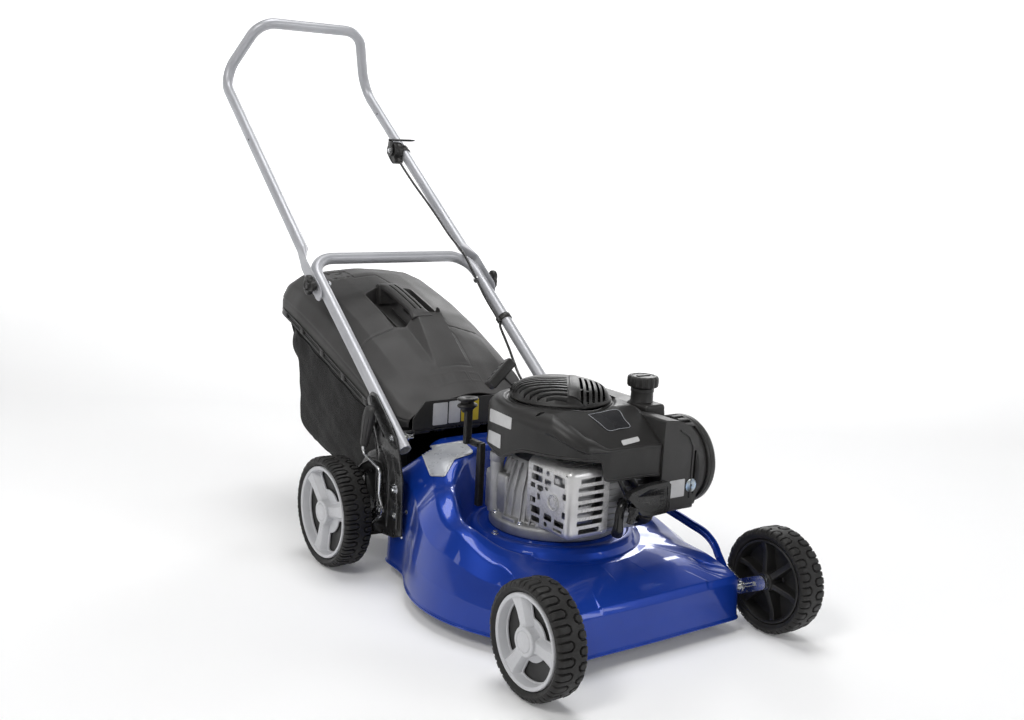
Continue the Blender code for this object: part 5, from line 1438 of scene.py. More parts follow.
shell = prism("throttle_shell", tear(), "X", -hw, hw, 0.0016, 4)
rim_tool = prism("rt", [(p[0] * 0.86 - 0.0006, p[1] * 0.86 - 0.0002) for p in tear()], "X", -hw - 0.01, -hw + 0.0010)
groove = prism("g", tear(0.004), "X", -0.0012, -0.0004)
core_keep = prism("k", [(p[0] * 0.965, p[1] * 0.965) for p in tear()], "X", -0.003, 0.003)
cut(groove, core_keep)
cut(shell, [rim_tool, groove])
bevel(shell, 0.0003, 2, 45)
evaluated(shell)
neck = moved(lathe("neck", [(0, -0.002), (0.0052, -0.002), (0.0050, 0.0040), (0.0038, 0.0062), (0.0, 0.0062)], 26), at((0, -0.0270, -0.0065), (0, -1, 0)))
shell = join([shell, neck], "throttle_shell")
moved(shell, tilt)
place(shell, "upper_handle", "shroud", "black_plastic", "throttle_housing", 40)
strap = lathe("throttle_strap", [(TUBE_R + 0.0002, -0.0075), (TUBE_R + 0.0022, -0.0075), (TUBE_R + 0.0026, -0.0070), (TUBE_R + 0.0026, 0.0070), (TUBE_R + 0.0022, 0.0075), (TUBE_R + 0.0002, 0.0075)], 44)
moved(strap, at(leg, slope))
place(strap, "upper_handle", "shroud", "black_plastic")
screw = bolt("throttle_screw", (0, 0, 0), (0, 0, 1), 0.0040, 0.0034, 1.25, False)
slot_tool = block("st", (-0.006, -0.0006, 0.0022), (0.006, 0.0006, 0.006), 0)
cut(screw, slot_tool)
moved(screw, Matrix.Translation(THROTTLE + Vector((-hw - 0.0042, 0, 0))) @ aim((-1, 0, 0)))
place(screw, "throttle_lever", "zinc", "zinc")

pivot = THROTTLE + Vector((-hw - 0.0004, 0, 0))
disc = lathe("ld", [(0.0, 0.0), (0.0125, 0.0), (0.0129, -0.0006), (0.0129, -0.0032), (0.0121, -0.0040), (0.0, -0.0040)], 48, "X")
finger = prism("lf", fillet([(-0.0100, 0.0060), (-0.0086, 0.0185), (-0.0070, 0.0248), (0.0062, 0.0252), (0.0074, 0.0190), (0.0104, 0.0060)], 0.0016, 3, True), "X", -0.0038, -0.0003, 0.0005, 2)
wedge_rows = []
for x, z0, z1, half_y in ((-0.0038, 0.0214, 0.0256, 0.0074), (0.0010, 0.0213, 0.0258, 0.0078), (0.0160, 0.0213, 0.0262, 0.0078), (0.0330, 0.0213, 0.0266, 0.0068), (0.0500, 0.0216, 0.0266, 0.0052),
                          (0.0580, 0.0226, 0.0262, 0.0038), (0.0604, 0.0236, 0.0254, 0.0022)):
    ring = []
    for k in range(28):
        a = 2 * PI * k / 28
        c, s_ = math.cos(a), math.sin(a)
        yy = math.copysign(abs(c) ** 0.55, c) * half_y
        zz = (z0 + z1) / 2 + math.copysign(abs(s_) ** 0.6, s_) * (z1 - z0) / 2 - 0.0016 * (c * c) * (1 if s_ > 0 else 0) * -0.4
        ring.append((x, yy, zz))
    wedge_rows.append(ring)
tab = grid("lt", wedge_rows, closed_u=True, cap=True)
lever_t = join([disc, finger, tab], "throttle_finger")
bevel(lever_t, 0.0003, 2, 50)
evaluated(lever_t)
moved(lever_t, Matrix.Translation(pivot) @ Matrix.Rotation(turn + rad(-35), 4, "X"))
place(lever_t, "throttle_lever", "gloss_black", "black_plastic", "throttle_lever", 40)

# clip round the lower handle, with a hook for the cable
low_axis = (Vector(LOWER_TOP) - Vector(LOWER_END)).normalized()
CLIP = on_lower(0.615)
band = lathe("cb", [(TUBE_R + 0.0002, 0.0060), (TUBE_R + 0.0018, 0.0060), (TUBE_R + 0.0024, 0.0052), (TUBE_R + 0.0024, -0.0052), (TUBE_R + 0.0018, -0.0060), (TUBE_R + 0.0002, -0.0060)], 44)
moved(band, Matrix.Translation(CLIP) @ low_axis.to_track_quat("Z", "X").to_matrix().to_4x4())
cable_at = Vector((CLIP.x - 0.0168, CLIP.y - 0.002, CLIP.z - 0.003))
eye = lathe("ce", [(0.0029, 0.0052), (0.0042, 0.0052), (0.0046, 0.0046), (0.0046, -0.0046), (0.0042, -0.0052), (0.0029, -0.0052)], 30)
moved(eye, Matrix.Translation(cable_at) @ low_axis.to_track_quat("Z", "X").to_matrix().to_4x4())
place(join([band, eye], "cable_band"), "chassis", "shroud", "black_plastic", "cable_clip", 40)


# -------------------------------------------------------------------- catcher
LID_TABLE = [   # y, half width, rim height, shoulder height, shoulder half width, crown height
    (0.2150, 0.140, 0.2620, 0.290, 0.100, 0.316),
    (0.2350, 0.158, 0.2600, 0.303, 0.104, 0.329),
    (0.2900, 0.168, 0.2720, 0.341, 0.114, 0.366),
    (0.3600, 0.169, 0.2950, 0.377, 0.118, 0.400),
    (0.4500, 0.170, 0.3260, 0.419, 0.120, 0.440),
    (0.5400, 0.170, 0.3570, 0.451, 0.122, 0.470),
    (0.6200, 0.170, 0.3830, 0.472, 0.122, 0.492),
    (0.6900, 0.166, 0.3990, 0.480, 0.121, 0.492),
    (0.7080, 0.158, 0.4040, 0.474, 0.117, 0.484),
]
M["yellow"] = plastic("plain_yellow", (0.52, 0.38, 0.012), (0.62, 0.46, 0.018), 0.36, 1500, 0.00002, 0.04, blotch=40)


def smooth_table(table, ys, width=0.010):
    t = np.array(table)
    fine = np.linspace(t[0, 0], t[-1, 0], 1200)
    out = [ys]
    step = fine[1] - fine[0]
    half = int(3 * width / step)
    kernel = np.exp(-0.5 * (np.arange(-half, half + 1) * step / width) ** 2)
    kernel /= kernel.sum()
    for k in range(1, t.shape[1]):
        v = np.interp(fine, t[:, 0], t[:, k])
        padded = np.concatenate([2 * v[0] - v[half:0:-1], v, 2 * v[-1] - v[-2:-half - 2:-1]])
        out.append(np.interp(ys, fine, np.convolve(padded, kernel, "valid")))
    return np.stack(out, axis=1)


def resample(points, count):
    p = np.array([tuple(q) for q in points])
    d = np.concatenate([[0], np.cumsum(np.linalg.norm(np.diff(p, axis=0), axis=1))])
    s = np.linspace(0, d[-1], count)
    return np.stack([np.interp(s, d, p[:, k]) for k in range(p.shape[1])], axis=1)


def seg_distance(x, y, pts, closed=False):
    best = np.full(np.shape(x), 1e9)
    ring = list(pts) + ([pts[0]] if closed else [])
    for (ax, ay), (bx, by) in zip(ring, ring[1:]):
        ex, ey = bx - ax, by - ay
        t = np.clip(((x - ax) * ex + (y - ay) * ey) / (ex * ex + ey * ey), 0, 1)
        best = np.minimum(best, np.hypot(x - ax - t * ex, y - ay - t * ey))
    return best


RECESS = [(-65, 526), (-30, 543), (48, 537), (52, 440), (40, 405), (-22, 405), (-47, 397), (-67, 403)]


def lid_relief(x, y):
    """Height added to the lid's top, all in metres, from x and y."""
    X, Y = np.asarray(x) * 1000, np.asarray(y) * 1000
    h = np.zeros(np.broadcast(X, Y).shape)
    # boss that the carrying handle runs into
    prof = np.where(Y > 362, 12 + (Y - 362) / 48 * 8, (Y - 284) / 78 * 12)
    top_l = np.interp(Y, [284, 360, 415], [-42, -24, -12])
    foot_l = np.interp(Y, [284, 410], [-43, -41])
    top_r = np.interp(Y, [284, 362, 415], [28, 38, 45])
    foot_r = np.interp(Y, [284, 362, 415], [30, 46, 56])
    side = np.clip((X - foot_l) / (top_l - foot_l + 0.4), 0, 1) * np.clip((foot_r - X) / (foot_r - top_r), 0, 1)
    boss = np.clip(prof, 0, None) * side * (Y < 440)
    h += boss
    # recessed step on the boss's right and in front of it, groove across, panel lines
    def groove(pts, width, depth, closed=False):
        return -depth * np.exp(-(seg_distance(X, Y, pts, closed) / width) ** 2)
    h += groove([(47, 398), (52, 366), (34, 276), (-36, 280)], 1.4, 0.9)
    h += groove([(-150, 392), (-128, 399), (-68, 404)], 1.6, 1.4) + groove([(52, 396), (110, 390), (150, 384)], 1.6, 1.4)
    h += groove([(-48, 604), (4, 604), (14, 566), (-2, 556)], 1.5, 1.2)
    # rear plate in a shallow tray
    tray = [(-92, 612), (-46, 606), (-40, 664), (-86, 672)]
    d = polygon_distance(X, Y, tray)
    h += -1.6 * smoothstep(1.2, -1.2, d) + groove(tray, 1.1, -0.7, True)
    for cx, cy in ((-82, 622), (-56, 617), (-80, 660), (-54, 655)):
        h += -1.8 * smoothstep(4.6, 3.2, np.hypot(X - cx, Y - cy))
    h += -1.2 * smoothstep(1.0, -1.0, polygon_distance(X, Y, [(-72, 632), (-60, 630), (-58, 648), (-70, 650)]))
    # empty frame with four cells on the front
    for k in range(4):
        a0, a1 = -70 + 28 * k, -46 + 28 * k
        slope_ = -0.10
        ring = [(a0, 246 + (a0 + 70) * slope_ * 0.4), (a1, 246 + (a1 + 70) * slope_ * 0.4), (a1, 270 + (a1 + 70) * slope_), (a0, 270 + (a0 + 70) * slope_)]
        h += groove(ring, 0.9, -0.55, True)
    # brim round the recess
    h += groove(RECESS, 3.2, -0.9, True)
    return h / 1000


def lid_half(row):
    y, w, rim, zs, ws, zc = row
    return [(w, rim), (w, rim + 0.42 * (zs - rim)), (w - 0.30 * (w - ws), rim + 0.75 * (zs - rim)), (ws, zs),
            (0.55 * ws, zs + 0.62 * (zc - zs)), (0.0, zc)]


LID_U, LID_V = 241, 250
lid_ys = np.linspace(0.2150, 0.7080, LID_V)
lid_rows = smooth_table(LID_TABLE, lid_ys, 0.006)
surface = []
for row in lid_rows:
    half_ = lid_half(row)
    arch = [Vector((x, z, 0)) for x, z in half_] + [Vector((-x, z, 0)) for x, z in reversed(half_[:-1])]
    arch = fillet(arch, [0, 0.030, 0.022, 0.010, 0.10, 0.20, 0.10, 0.010, 0.022, 0.030, 0], 6)
    pts = resample(arch, LID_U)
    x, z = pts[:, 0], pts[:, 1]
    weight = smoothstep(0.150, 0.120, np.abs(x))
    z = z + lid_relief(x, np.full_like(x, row[0])) * weight
    # swage line along the side
    t = (z - row[2]) / (row[3] - row[2])
    x = x - np.sign(x) * 0.0012 * np.exp(-((t - 0.38) / 0.03) ** 2) * (np.abs(x) > 0.13)
    surface.append(np.stack([x, np.full_like(x, row[0]), z], axis=1))
surface = np.array(surface)
lid_grid = surface.copy()
# rear wall rolls down from the last arch
last = surface[-1]
for k in range(1, 7):
    a = k / 6 * PI / 2
    inner = last.copy()
    inner[:, 1] += 0.0048 * math.sin(a)
    drop_ = 0.0048 * (1 - math.cos(a))
    inner[:, 2] = np.maximum(lid_rows[-1][2], inner[:, 2] - drop_)
    inner[:, 0] *= 1 - 0.0022 * (1 - math.cos(a)) / 0.158
    surface = np.concatenate([surface, inner[None]])
for k in range(1, 13):
    inner = surface[-1 if k == 1 else LID_V + 5].copy()
    inner[:, 2] = lid_rows[-1][2] + (inner[:, 2] - lid_rows[-1][2]) * (1 - k / 12)
    surface = np.concatenate([surface, inner[None]])
shell = grid("lid_shell", surface.tolist())
bm = bmesh.new()
bm.from_mesh(shell.data)
bmesh.ops.remove_doubles(bm, verts=bm.verts, dist=0.00002)
bmesh.ops.recalc_face_normals(bm, faces=bm.faces)
probe = [f for f in bm.faces if abs(f.calc_center_median().x) < 0.02 and abs(f.calc_center_median().y - 0.35) < 0.02]
if probe and sum(f.normal.z for f in probe) < 0:
    bmesh.ops.reverse_faces(bm, faces=bm.faces)
bm.to_mesh(shell.data)
bm.free()
lid_target = Target(shell)


def lid_z(x, y):
    hit, _ = lid_target.drop((x, y, 0.7), (0, 0, -1))
    return hit.z if hit is not None else 0.4


solidify(shell, 0.0026, -1, False)
evaluated(shell)
hole_ring = fillet([Vector((x / 1000, y / 1000, 0)) for x, y in RECESS], [0.007, 0.010, 0.010, 0.010, 0.008, 0.008, 0.006, 0.006], 6, True)
cut(shell, prism("hole", [(p.x, p.y) for p in hole_ring], "Z", 0.34, 0.60))
bevel(shell, 0.0005, 2, 50)
place(shell, "catcher", "lid", "catcher_grey", "catcher_lid", 32)

ring_pts = resample([tuple(p) for p in hole_ring] + [tuple(hole_ring[0])], 161)[:-1]
cx, cy = ring_pts[:, 0].mean(), ring_pts[:, 1].mean()
well_rows = []
for scale_, f in ((1.0, 0.0), (0.996, 0.06), (0.985, 0.5), (0.975, 0.80), (0.968, 0.90), (0.950, 0.965), (0.92, 0.995), (0.86, 1.0), (0.5, 1.0), (0.01, 1.0)):
    row = []
    for px_, py_, _ in ring_pts:
        x, y = cx + (px_ - cx) * scale_, cy + (py_ - cy) * scale_
        top_ = lid_z(px_, py_) - 0.0007
        bottom = 0.3790 + 0.3497 * (y - 0.385)
        row.append((x, y, top_ + (bottom - top_) * f))
    well_rows.append(row)
well = grid("lid_well", well_rows, closed_u=True)
bm = bmesh.new()
bm.from_mesh(well.data)
if sum(f.normal.z * f.calc_area() for f in bm.faces) < 0:
    bmesh.ops.reverse_faces(bm, faces=bm.faces)
bm.to_mesh(well.data)
bm.free()
solidify(well, 0.0016, -1, False)
place(well, "catcher", "lid", "catcher_grey", (), 40)
ribs = []
for k in range(3):
    x = -0.034 + 0.028 * k
    ribs.append(prism("well_rib_%d" % k, [(0.412, 0.3890), (0.516, 0.4255), (0.516, 0.4295), (0.412, 0.3930)], "X", x - 0.0010, x + 0.0010, 0.0004))
place(join(ribs, "well_ribs"), "catcher", "lid", "catcher_grey")

# carrying handle over the well
line = smooth_line([(-0.0040, 0.3990, 0.4260), (-0.0040, 0.4120, 0.4330), (-0.0040, 0.4400, 0.4440), (-0.0040, 0.4900, 0.4600), (-0.0040, 0.5200, 0.4680), (-0.0040, 0.5440, 0.4700)], 44)
rows = []
for i, p in enumerate(line):
    t = (line[min(i + 1, 43)] - line[max(i - 1, 0)]).normalized()
    up_ = Vector((1, 0, 0)).cross(t).normalized()
    hw_ = 0.0185 + 0.0045 * sstep(0.5210, 0.5420, p.y) + 0.006 * sstep(0.425, 0.400, p.y)
    ht = 0.0075
    ring = []
    for k in range(40):
        a = 2 * PI * k / 40
        c, s_ = math.cos(a), math.sin(a)
        ring.append(p + Vector((1, 0, 0)) * math.copysign(abs(c) ** 0.42, c) * hw_ + up_ * math.copysign(abs(s_) ** 0.62, s_) * ht)
    rows.append(ring)
grip = grid("lid_grip", rows, closed_u=True, cap=True)
slot_tool = prism("gs", [(0.4180, 0.4340), (0.5260, 0.4660), (0.5260, 0.4900), (0.4180, 0.4900)], "X", 0.0005, 0.0052)
slot_2 = prism("gs2", [(0.4180, 0.4340), (0.5260, 0.4660), (0.5260, 0.4900), (0.4180, 0.4900)], "X", -0.0115, -0.0078)
cut(grip, [slot_tool, slot_2])
root = prism("lid_grip_root", [(0.5300, 0.4360), (0.5520, 0.4300), (0.5520, 0.4735), (0.5440, 0.4770), (0.5330, 0.4740)], "X", -0.0265, 0.0185, 0.0022, 3)
bevel(grip, 0.0007, 2, 45)
evaluated(grip)
place(join([grip, root], "lid_grip"), "catcher", "lid", "catcher_grey", (), 40)

# rim strip that the bag clips into, with slots and a rod seen in each
for side, label in ((-1, "right"), (1, "left")):
    rows = []
    ys = np.linspace(0.2400, 0.7000, 116)
    tab_ = smooth_table(LID_TABLE, ys, 0.006)
    for y, w, rim, zs, ws, zc in tab_:
        n = Vector((0, -0.33, 0.944))
        base = Vector((w - 0.0004, y, rim - 0.0005))
        sect = [(0.0, 0.0), (0.0022, -0.0004), (0.0030, 0.0006), (0.0030, 0.0016), (0.0022, 0.0026), (0.0022, 0.0105), (0.0030, 0.0118), (0.0030, 0.0134), (0.0020, 0.0144), (0.0, 0.0148)]
        rows.append([((base.x + a) * side, base.y + n.y * b, base.z + n.z * b) for a, b in sect])
    strip = grid("rim_strip_" + label, rows, closed_u=True, cap=True)
    tools, rods = [], []
    for k, (ya, yb) in enumerate(((0.664, 0.598), (0.584, 0.512), (0.4950, 0.4230), (0.4060, 0.3380), (0.3180, 0.2620))):
        seq = smooth_table(LID_TABLE, np.array([yb, (ya + yb) / 2, ya]), 0.006)
        outline = []
        for (y, w, rim, *_r) in seq:
            outline.append((y - 0.33 * 0.0040, rim + 0.0036))
        for (y, w, rim, *_r) in reversed(seq):
            outline.append((y - 0.33 * 0.0100, rim + 0.0096))
        lo, hi = sorted((side * 0.1600, side * 0.1780))
        tools.append(prism("slot", outline, "X", lo, hi))
        knots = [(side * (w - 0.0002), y - 0.33 * 0.0066, rim + 0.0062) for (y, w, rim, *_r) in seq]
        rods.append(sweep("r", smooth_line(knots, 12), 0.0013, 10))
        # small ramp at each slot's upper end
        y, w, rim = seq[-1][:3]
        rods.append(block("ramp", tuple(min(a, b) for a, b in zip((side * (w - 0.001), y - 0.006, rim + 0.0020), (side * (w + 0.0045), y + 0.007, rim + 0.0120))),
                          tuple(max(a, b) for a, b in zip((side * (w - 0.001), y - 0.006, rim + 0.0020), (side * (w + 0.0045), y + 0.007, rim + 0.0120))), 0.0016))
    cut(strip, tools)
    bevel(strip, 0.0003, 1, 50)
    place(strip, "catcher", "shroud", "black_plastic", (), 40)
    place(join(rods, "rim_clips_" + label), "catcher", "shroud", "black_plastic", (), 40)

# ---------------------------------------------------- fabric bag under the lid
BAG_TABLE = [   # y, half width, top height, half width below, bottom height
    (0.2250, 0.130, 0.2560, 0.128, 0.1220),
    (0.2600, 0.155, 0.2590, 0.148, 0.1180),
    (0.3600, 0.163, 0.2890, 0.157, 0.1160),
    (0.4600, 0.164, 0.3240, 0.159, 0.1170),
    (0.5600, 0.164, 0.3580, 0.159, 0.1320),
    (0.6150, 0.163, 0.3770, 0.158, 0.1440),
    (0.6260, 0.162, 0.3810, 0.157, 0.2350),
    (0.6360, 0.162, 0.3840, 0.157, 0.2720),
    (0.6630, 0.160, 0.3890, 0.155, 0.3080),
    (0.6800, 0.156, 0.3930, 0.152, 0.3580),
]
t = np.array(BAG_TABLE)
path = resample(t[:, [0, 4]], 150)
d = np.concatenate([[0], np.cumsum(np.hypot(np.diff(t[:, 0]), np.diff(t[:, 4])))])
s = np.linspace(0, d[-1], 170)
cols = []
for k in range(5):
    v = np.interp(s, d, t[:, k])
    kern = np.exp(-0.5 * (np.arange(-9, 10) / 3.2) ** 2)
    kern /= kern.sum()
    padded = np.concatenate([2 * v[0] - v[9:0:-1], v, 2 * v[-1] - v[-2:-11:-1]])
    cols.append(np.convolve(padded, kern, "valid"))
bag_rows = np.stack(cols, axis=1)
BAG_U = 190
cloth = []
for y, w, top_, wb, low_ in bag_rows:
    mid = 0.5 * (top_ + low_)
    half_ = [(w, top_), (w + 0.0005, mid), (wb, low_ + min(0.030, 0.35 * (top_ - low_))), (wb - 0.025, low_ + 0.004), (0.0, low_)]
    arch = [Vector((x, z, 0)) for x, z in half_] + [Vector((-x, z, 0)) for x, z in reversed(half_[:-1])]
    arch = fillet(arch, [0, 0.2, 0.024, 0.024, 0.3, 0.024, 0.024, 0.2, 0], 7)
    pts = resample(arch, BAG_U)
    cloth.append(np.stack([pts[:, 0], np.full(BAG_U, y), pts[:, 1]], axis=1))
cloth = np.array(cloth)
du = np.gradient(cloth, axis=1)
dv = np.gradient(cloth, axis=0)
normal = np.cross(du, dv)
normal /= np.linalg.norm(normal, axis=2, keepdims=True) + 1e-12
centre = np.array([0, 0.45, 0.26])
if np.sum(normal * (cloth - centre)) < 0:
    normal = -normal
x, y, z = cloth[..., 0], cloth[..., 1], cloth[..., 2]
tops, lows = bag_rows[:, 2][:, None], bag_rows[:, 4][:, None]
down = np.clip((tops - z) / np.maximum(tops - lows, 0.02), 0, 1)
side_w = smoothstep(0.10, 0.15, np.abs(x))
# the cloth hangs from its clips: it draws in between them near the rim, billows out lower down and creases at the turn
clips_y = np.array([0.290, 0.372, 0.459, 0.548, 0.631])
nearest = np.min(np.abs(y[..., None] - clips_y), axis=-1)
pleat = -0.0030 * smoothstep(0.006, 0.034, nearest) * np.exp(-(down / 0.24) ** 2)
billow = 0.0016 * np.sin(np.clip(down, 0, 1) * PI) ** 1.5 - 0.0024
folds = np.zeros_like(x)
for k, (f0, ph, amp, lean) in enumerate(((46, 0.4, 0.0016, 0.9), (78, 2.1, 0.0011, -0.6), (30, 1.2, 0.0016, 1.9), (118, 0.2, 0.0005, -1.6))):
    folds += amp * np.sin(f0 * (y + lean * (z - 0.25)) + ph + 1.3 * np.sin(9 * y + 17 * z + k)) * (0.35 + 0.65 * down)
wrinkle = np.array([[mnoise.noise(Vector((x[j, i] * 16, y[j, i] * 20 + z[j, i] * 7, z[j, i] * 24))) for i in range(BAG_U)] for j in range(x.shape[0])])
fine_w = np.array([[mnoise.noise(Vector((x[j, i] * 42, y[j, i] * 55, z[j, i] * 38))) for i in range(BAG_U)] for j in range(x.shape[0])])
rear_w = smoothstep(0.600, 0.640, y)
edge_ = smoothstep(0.0, 0.10, down)
move = (pleat * side_w + billow * side_w + (folds * 0.8 + 0.0028 * wrinkle + 0.0008 * fine_w) * edge_ * (0.75 + 0.9 * rear_w)) - 0.0012
sag = -0.0060 * smoothstep(0.0, 0.13, 0.165 - np.abs(x)) * (down > 0.9) * smoothstep(0.225, 0.36, y) * smoothstep(0.625, 0.54, y)
cloth = cloth + normal * np.clip(move, -0.0085, 0.0012)[..., None]
cloth[..., 2] = np.maximum(cloth[..., 2] + sag * 0.6, 0.1105)
close_row = cloth[-1].copy()
close_row[:, 1] += 0.0030
close_row[:, 2] = np.maximum(close_row[:, 2], BAG_TABLE[-1][2] - 0.006)
close_2 = close_row.copy()
close_2[:, 2] = BAG_TABLE[-1][2]
cloth = np.concatenate([cloth, close_row[None], close_2[None]])
bag = grid("fabric_bag", cloth.tolist())
bm = bmesh.new()
bm.from_mesh(bag.data)
bmesh.ops.remove_doubles(bm, verts=bm.verts, dist=0.00003)
bmesh.ops.recalc_face_normals(bm, faces=bm.faces)
under = [f for f in bm.faces if abs(f.calc_center_median().x) < 0.03 and f.calc_center_median().z < 0.16]
if under and sum(f.normal.z for f in under) > 0:
    bmesh.ops.reverse_faces(bm, faces=bm.faces)
bm.to_mesh(bag.data)
bm.free()
solidify(bag, 0.0014, -1, False)
place(bag, "catcher", "fabric", "bag_fabric", "catcher_bag", 60)
# piped seams along the two lower edges and round the mouth, and a hem under the rim
V = len(bag_rows)
for label, col in (("right", None), ("left", None)):
    sgn = -1 if label == "right" else 1
    seam = []
    for j in range(2, V - 6, 3):
        ring = cloth[j]
        ok = np.where((np.sign(ring[:, 0]) == sgn) & (ring[:, 2] < bag_rows[j][4] + 0.35 * (bag_rows[j][2] - bag_rows[j][4])))[0]
        if len(ok) == 0:
            continue
        i = ok[np.argmax(np.abs(ring[ok, 0]) * 0.7 - ring[ok, 2])]
        seam.append(tuple(ring[i] + normal[j, i] * 0.0006))
    place(sweep("bag_seam_" + label, smooth_line(seam, 150), 0.0015, 8), "catcher", "fabric", "bag_fabric", (), 60)
    hem = []
    for j in range(1, V - 2, 3):
        i = 0 if cloth[j][0, 0] * sgn > 0 else BAG_U - 1
        k = 4 if i == 0 else BAG_U - 5
        hem.append(tuple(cloth[j][k] + normal[j, k] * 0.0003))
    place(sweep("bag_hem_" + label, smooth_line(hem, 150), 0.0012, 8), "catcher", "fabric", "bag_fabric", (), 60)
mouth = [tuple(cloth[1][i] + normal[1, i] * 0.0002) for i in range(0, BAG_U, 3)]
place(sweep("bag_mouth", smooth_line(mouth, 160), 0.0018, 8), "catcher", "fabric", "bag_fabric", (), 60)

# -------------------------------------------------------------- rear flap
ROD_Y, ROD_Z = 0.2190, 0.2520
flap = prism("flap", [tuple(p) for p in fillet([(-0.134, 0.2570), (-0.134, 0.2780), (-0.108, 0.3080), (0.108, 0.3080), (0.134, 0.2780), (0.134, 0.2570)], [0.002, 0.006, 0.006, 0.006, 0.006, 0.002], 4, True)],
             "Y", 0.2085, 0.2115, 0.0009, 3)
bits = [flap]
for x in (-0.110, 0.0, 0.110):
    knuckle = lathe("k", [(0.0034, -0.0160), (0.0062, -0.0160), (0.0066, -0.0154), (0.0066, 0.0154), (0.0062, 0.0160), (0.0034, 0.0160)], 32)
    knuckle.data.transform(Matrix.Translation((x, ROD_Y, ROD_Z)) @ Matrix.Rotation(PI / 2, 4, "Y"))
    bits += [knuckle, block("w", (x - 0.0155, 0.2090, ROD_Z + 0.0044), (x + 0.0155, 0.2196, ROD_Z + 0.0072), 0.0008)]
for x in (-0.085, -0.028, 0.028, 0.085):
    bits.append(block("s", (x - 0.0012, 0.2110, 0.2590), (x + 0.0012, 0.2126, 0.3030), 0.0005))
place(join(bits, "flap_plate"), "rear_flap", "shroud", "black_plastic", "rear_flap", 40)
for k, (a, b, z0, z1, look) in enumerate(((-0.0925, -0.0610, 0.2615, 0.3030, "label"), (-0.0580, -0.0330, 0.2625, 0.3040, "label"), (-0.0305, 0.0080, 0.2635, 0.3045, "yellow"))):
    tag = prism("flap_tag_%d" % k, rrect(a, z0, b, z1, 0.002), "Y", 0.20815, 0.2086, 0.0001, 1)
    place(tag, "rear_flap", look, "black_plastic" if look != "yellow" else None, (), 40)


# --------------------------------------------------------------------- engine
def blended(obj, a, b, start, end, mat, slot, replaces, angle=60):
    obj.data.transform(SHIFT @ obj.matrix_world)
    obj.matrix_world = Matrix.Identity(4)
    obj.data.materials.clear()
    obj.data.materials.append(M[mat])
    obj.data.shade_smooth()
    obj.data.set_sharp_from_angle(angle=rad(angle))
    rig.blend(obj, a, b, SHIFT @ Vector(start), SHIFT @ Vector(end))
    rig.slot(obj, slot)
    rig.replaces(obj, replaces)
    return obj


E0 = Matrix.Translation((0, ENGINE_Y, 0))
SHROUD = [(-0.066, -0.2020, 0.2935), (-0.0520, -0.2050, 0.2915), (-0.0430, -0.2067, 0.2900), (-0.0380, -0.2076, 0.2890), (-0.0345, -0.2081, 0.2780), (-0.0310, -0.2085, 0.2620), (-0.0260, -0.2088, 0.2585), (-0.0170, -0.2092, 0.2575), (0.0020, -0.2094, 0.2570),
          (0.0300, -0.2092, 0.2565), (0.060, -0.2085, 0.256), (0.094, -0.2050, 0.254),
          (0.1000, -0.1700, 0.258), (0.1000, -0.1000, 0.262), (0.1000, -0.0300, 0.264), (0.0960, 0.0150, 0.266),
          (0.0700, 0.0520, 0.268), (0.0330, 0.0710, 0.270), (-0.0100, 0.0750, 0.272), (-0.0550, 0.0620, 0.274),
          (-0.0940, 0.0310, 0.278), (-0.1140, -0.0080, 0.275), (-0.1200, -0.0500, 0.270), (-0.1140, -0.0950, 0.2890),
          (-0.1000, -0.1480, 0.2915), (-0.0860, -0.1800, 0.2930)]


def dense_loop(loop, n):
    out = []
    m = len(loop)
    for i in range(n):
        t = i * m / n
        k = int(t)
        f = t - k
        p0, p1, p2, p3 = (Vector(loop[(k + d) % m]) for d in (-1, 0, 1, 2))
        out.append(0.5 * ((2 * p1) + (p2 - p0) * f + (2 * p0 - 5 * p1 + 4 * p2 - p3) * f * f + (3 * p1 - p0 - 3 * p2 + p3) * f ** 3))
    return out


def hood(x, y):
    """Height of the engine's top cover."""
    r = math.hypot(x, y - ENGINE_Y)
    front = max(0.0, -0.128 - y)
    z = 0.3600 - 0.14 * max(0.0, r - 0.090) - 0.28 * front - 3.1 * front * front
    side = max(0.0, abs(x) - 0.078)
    return z - 5.5 * side * side


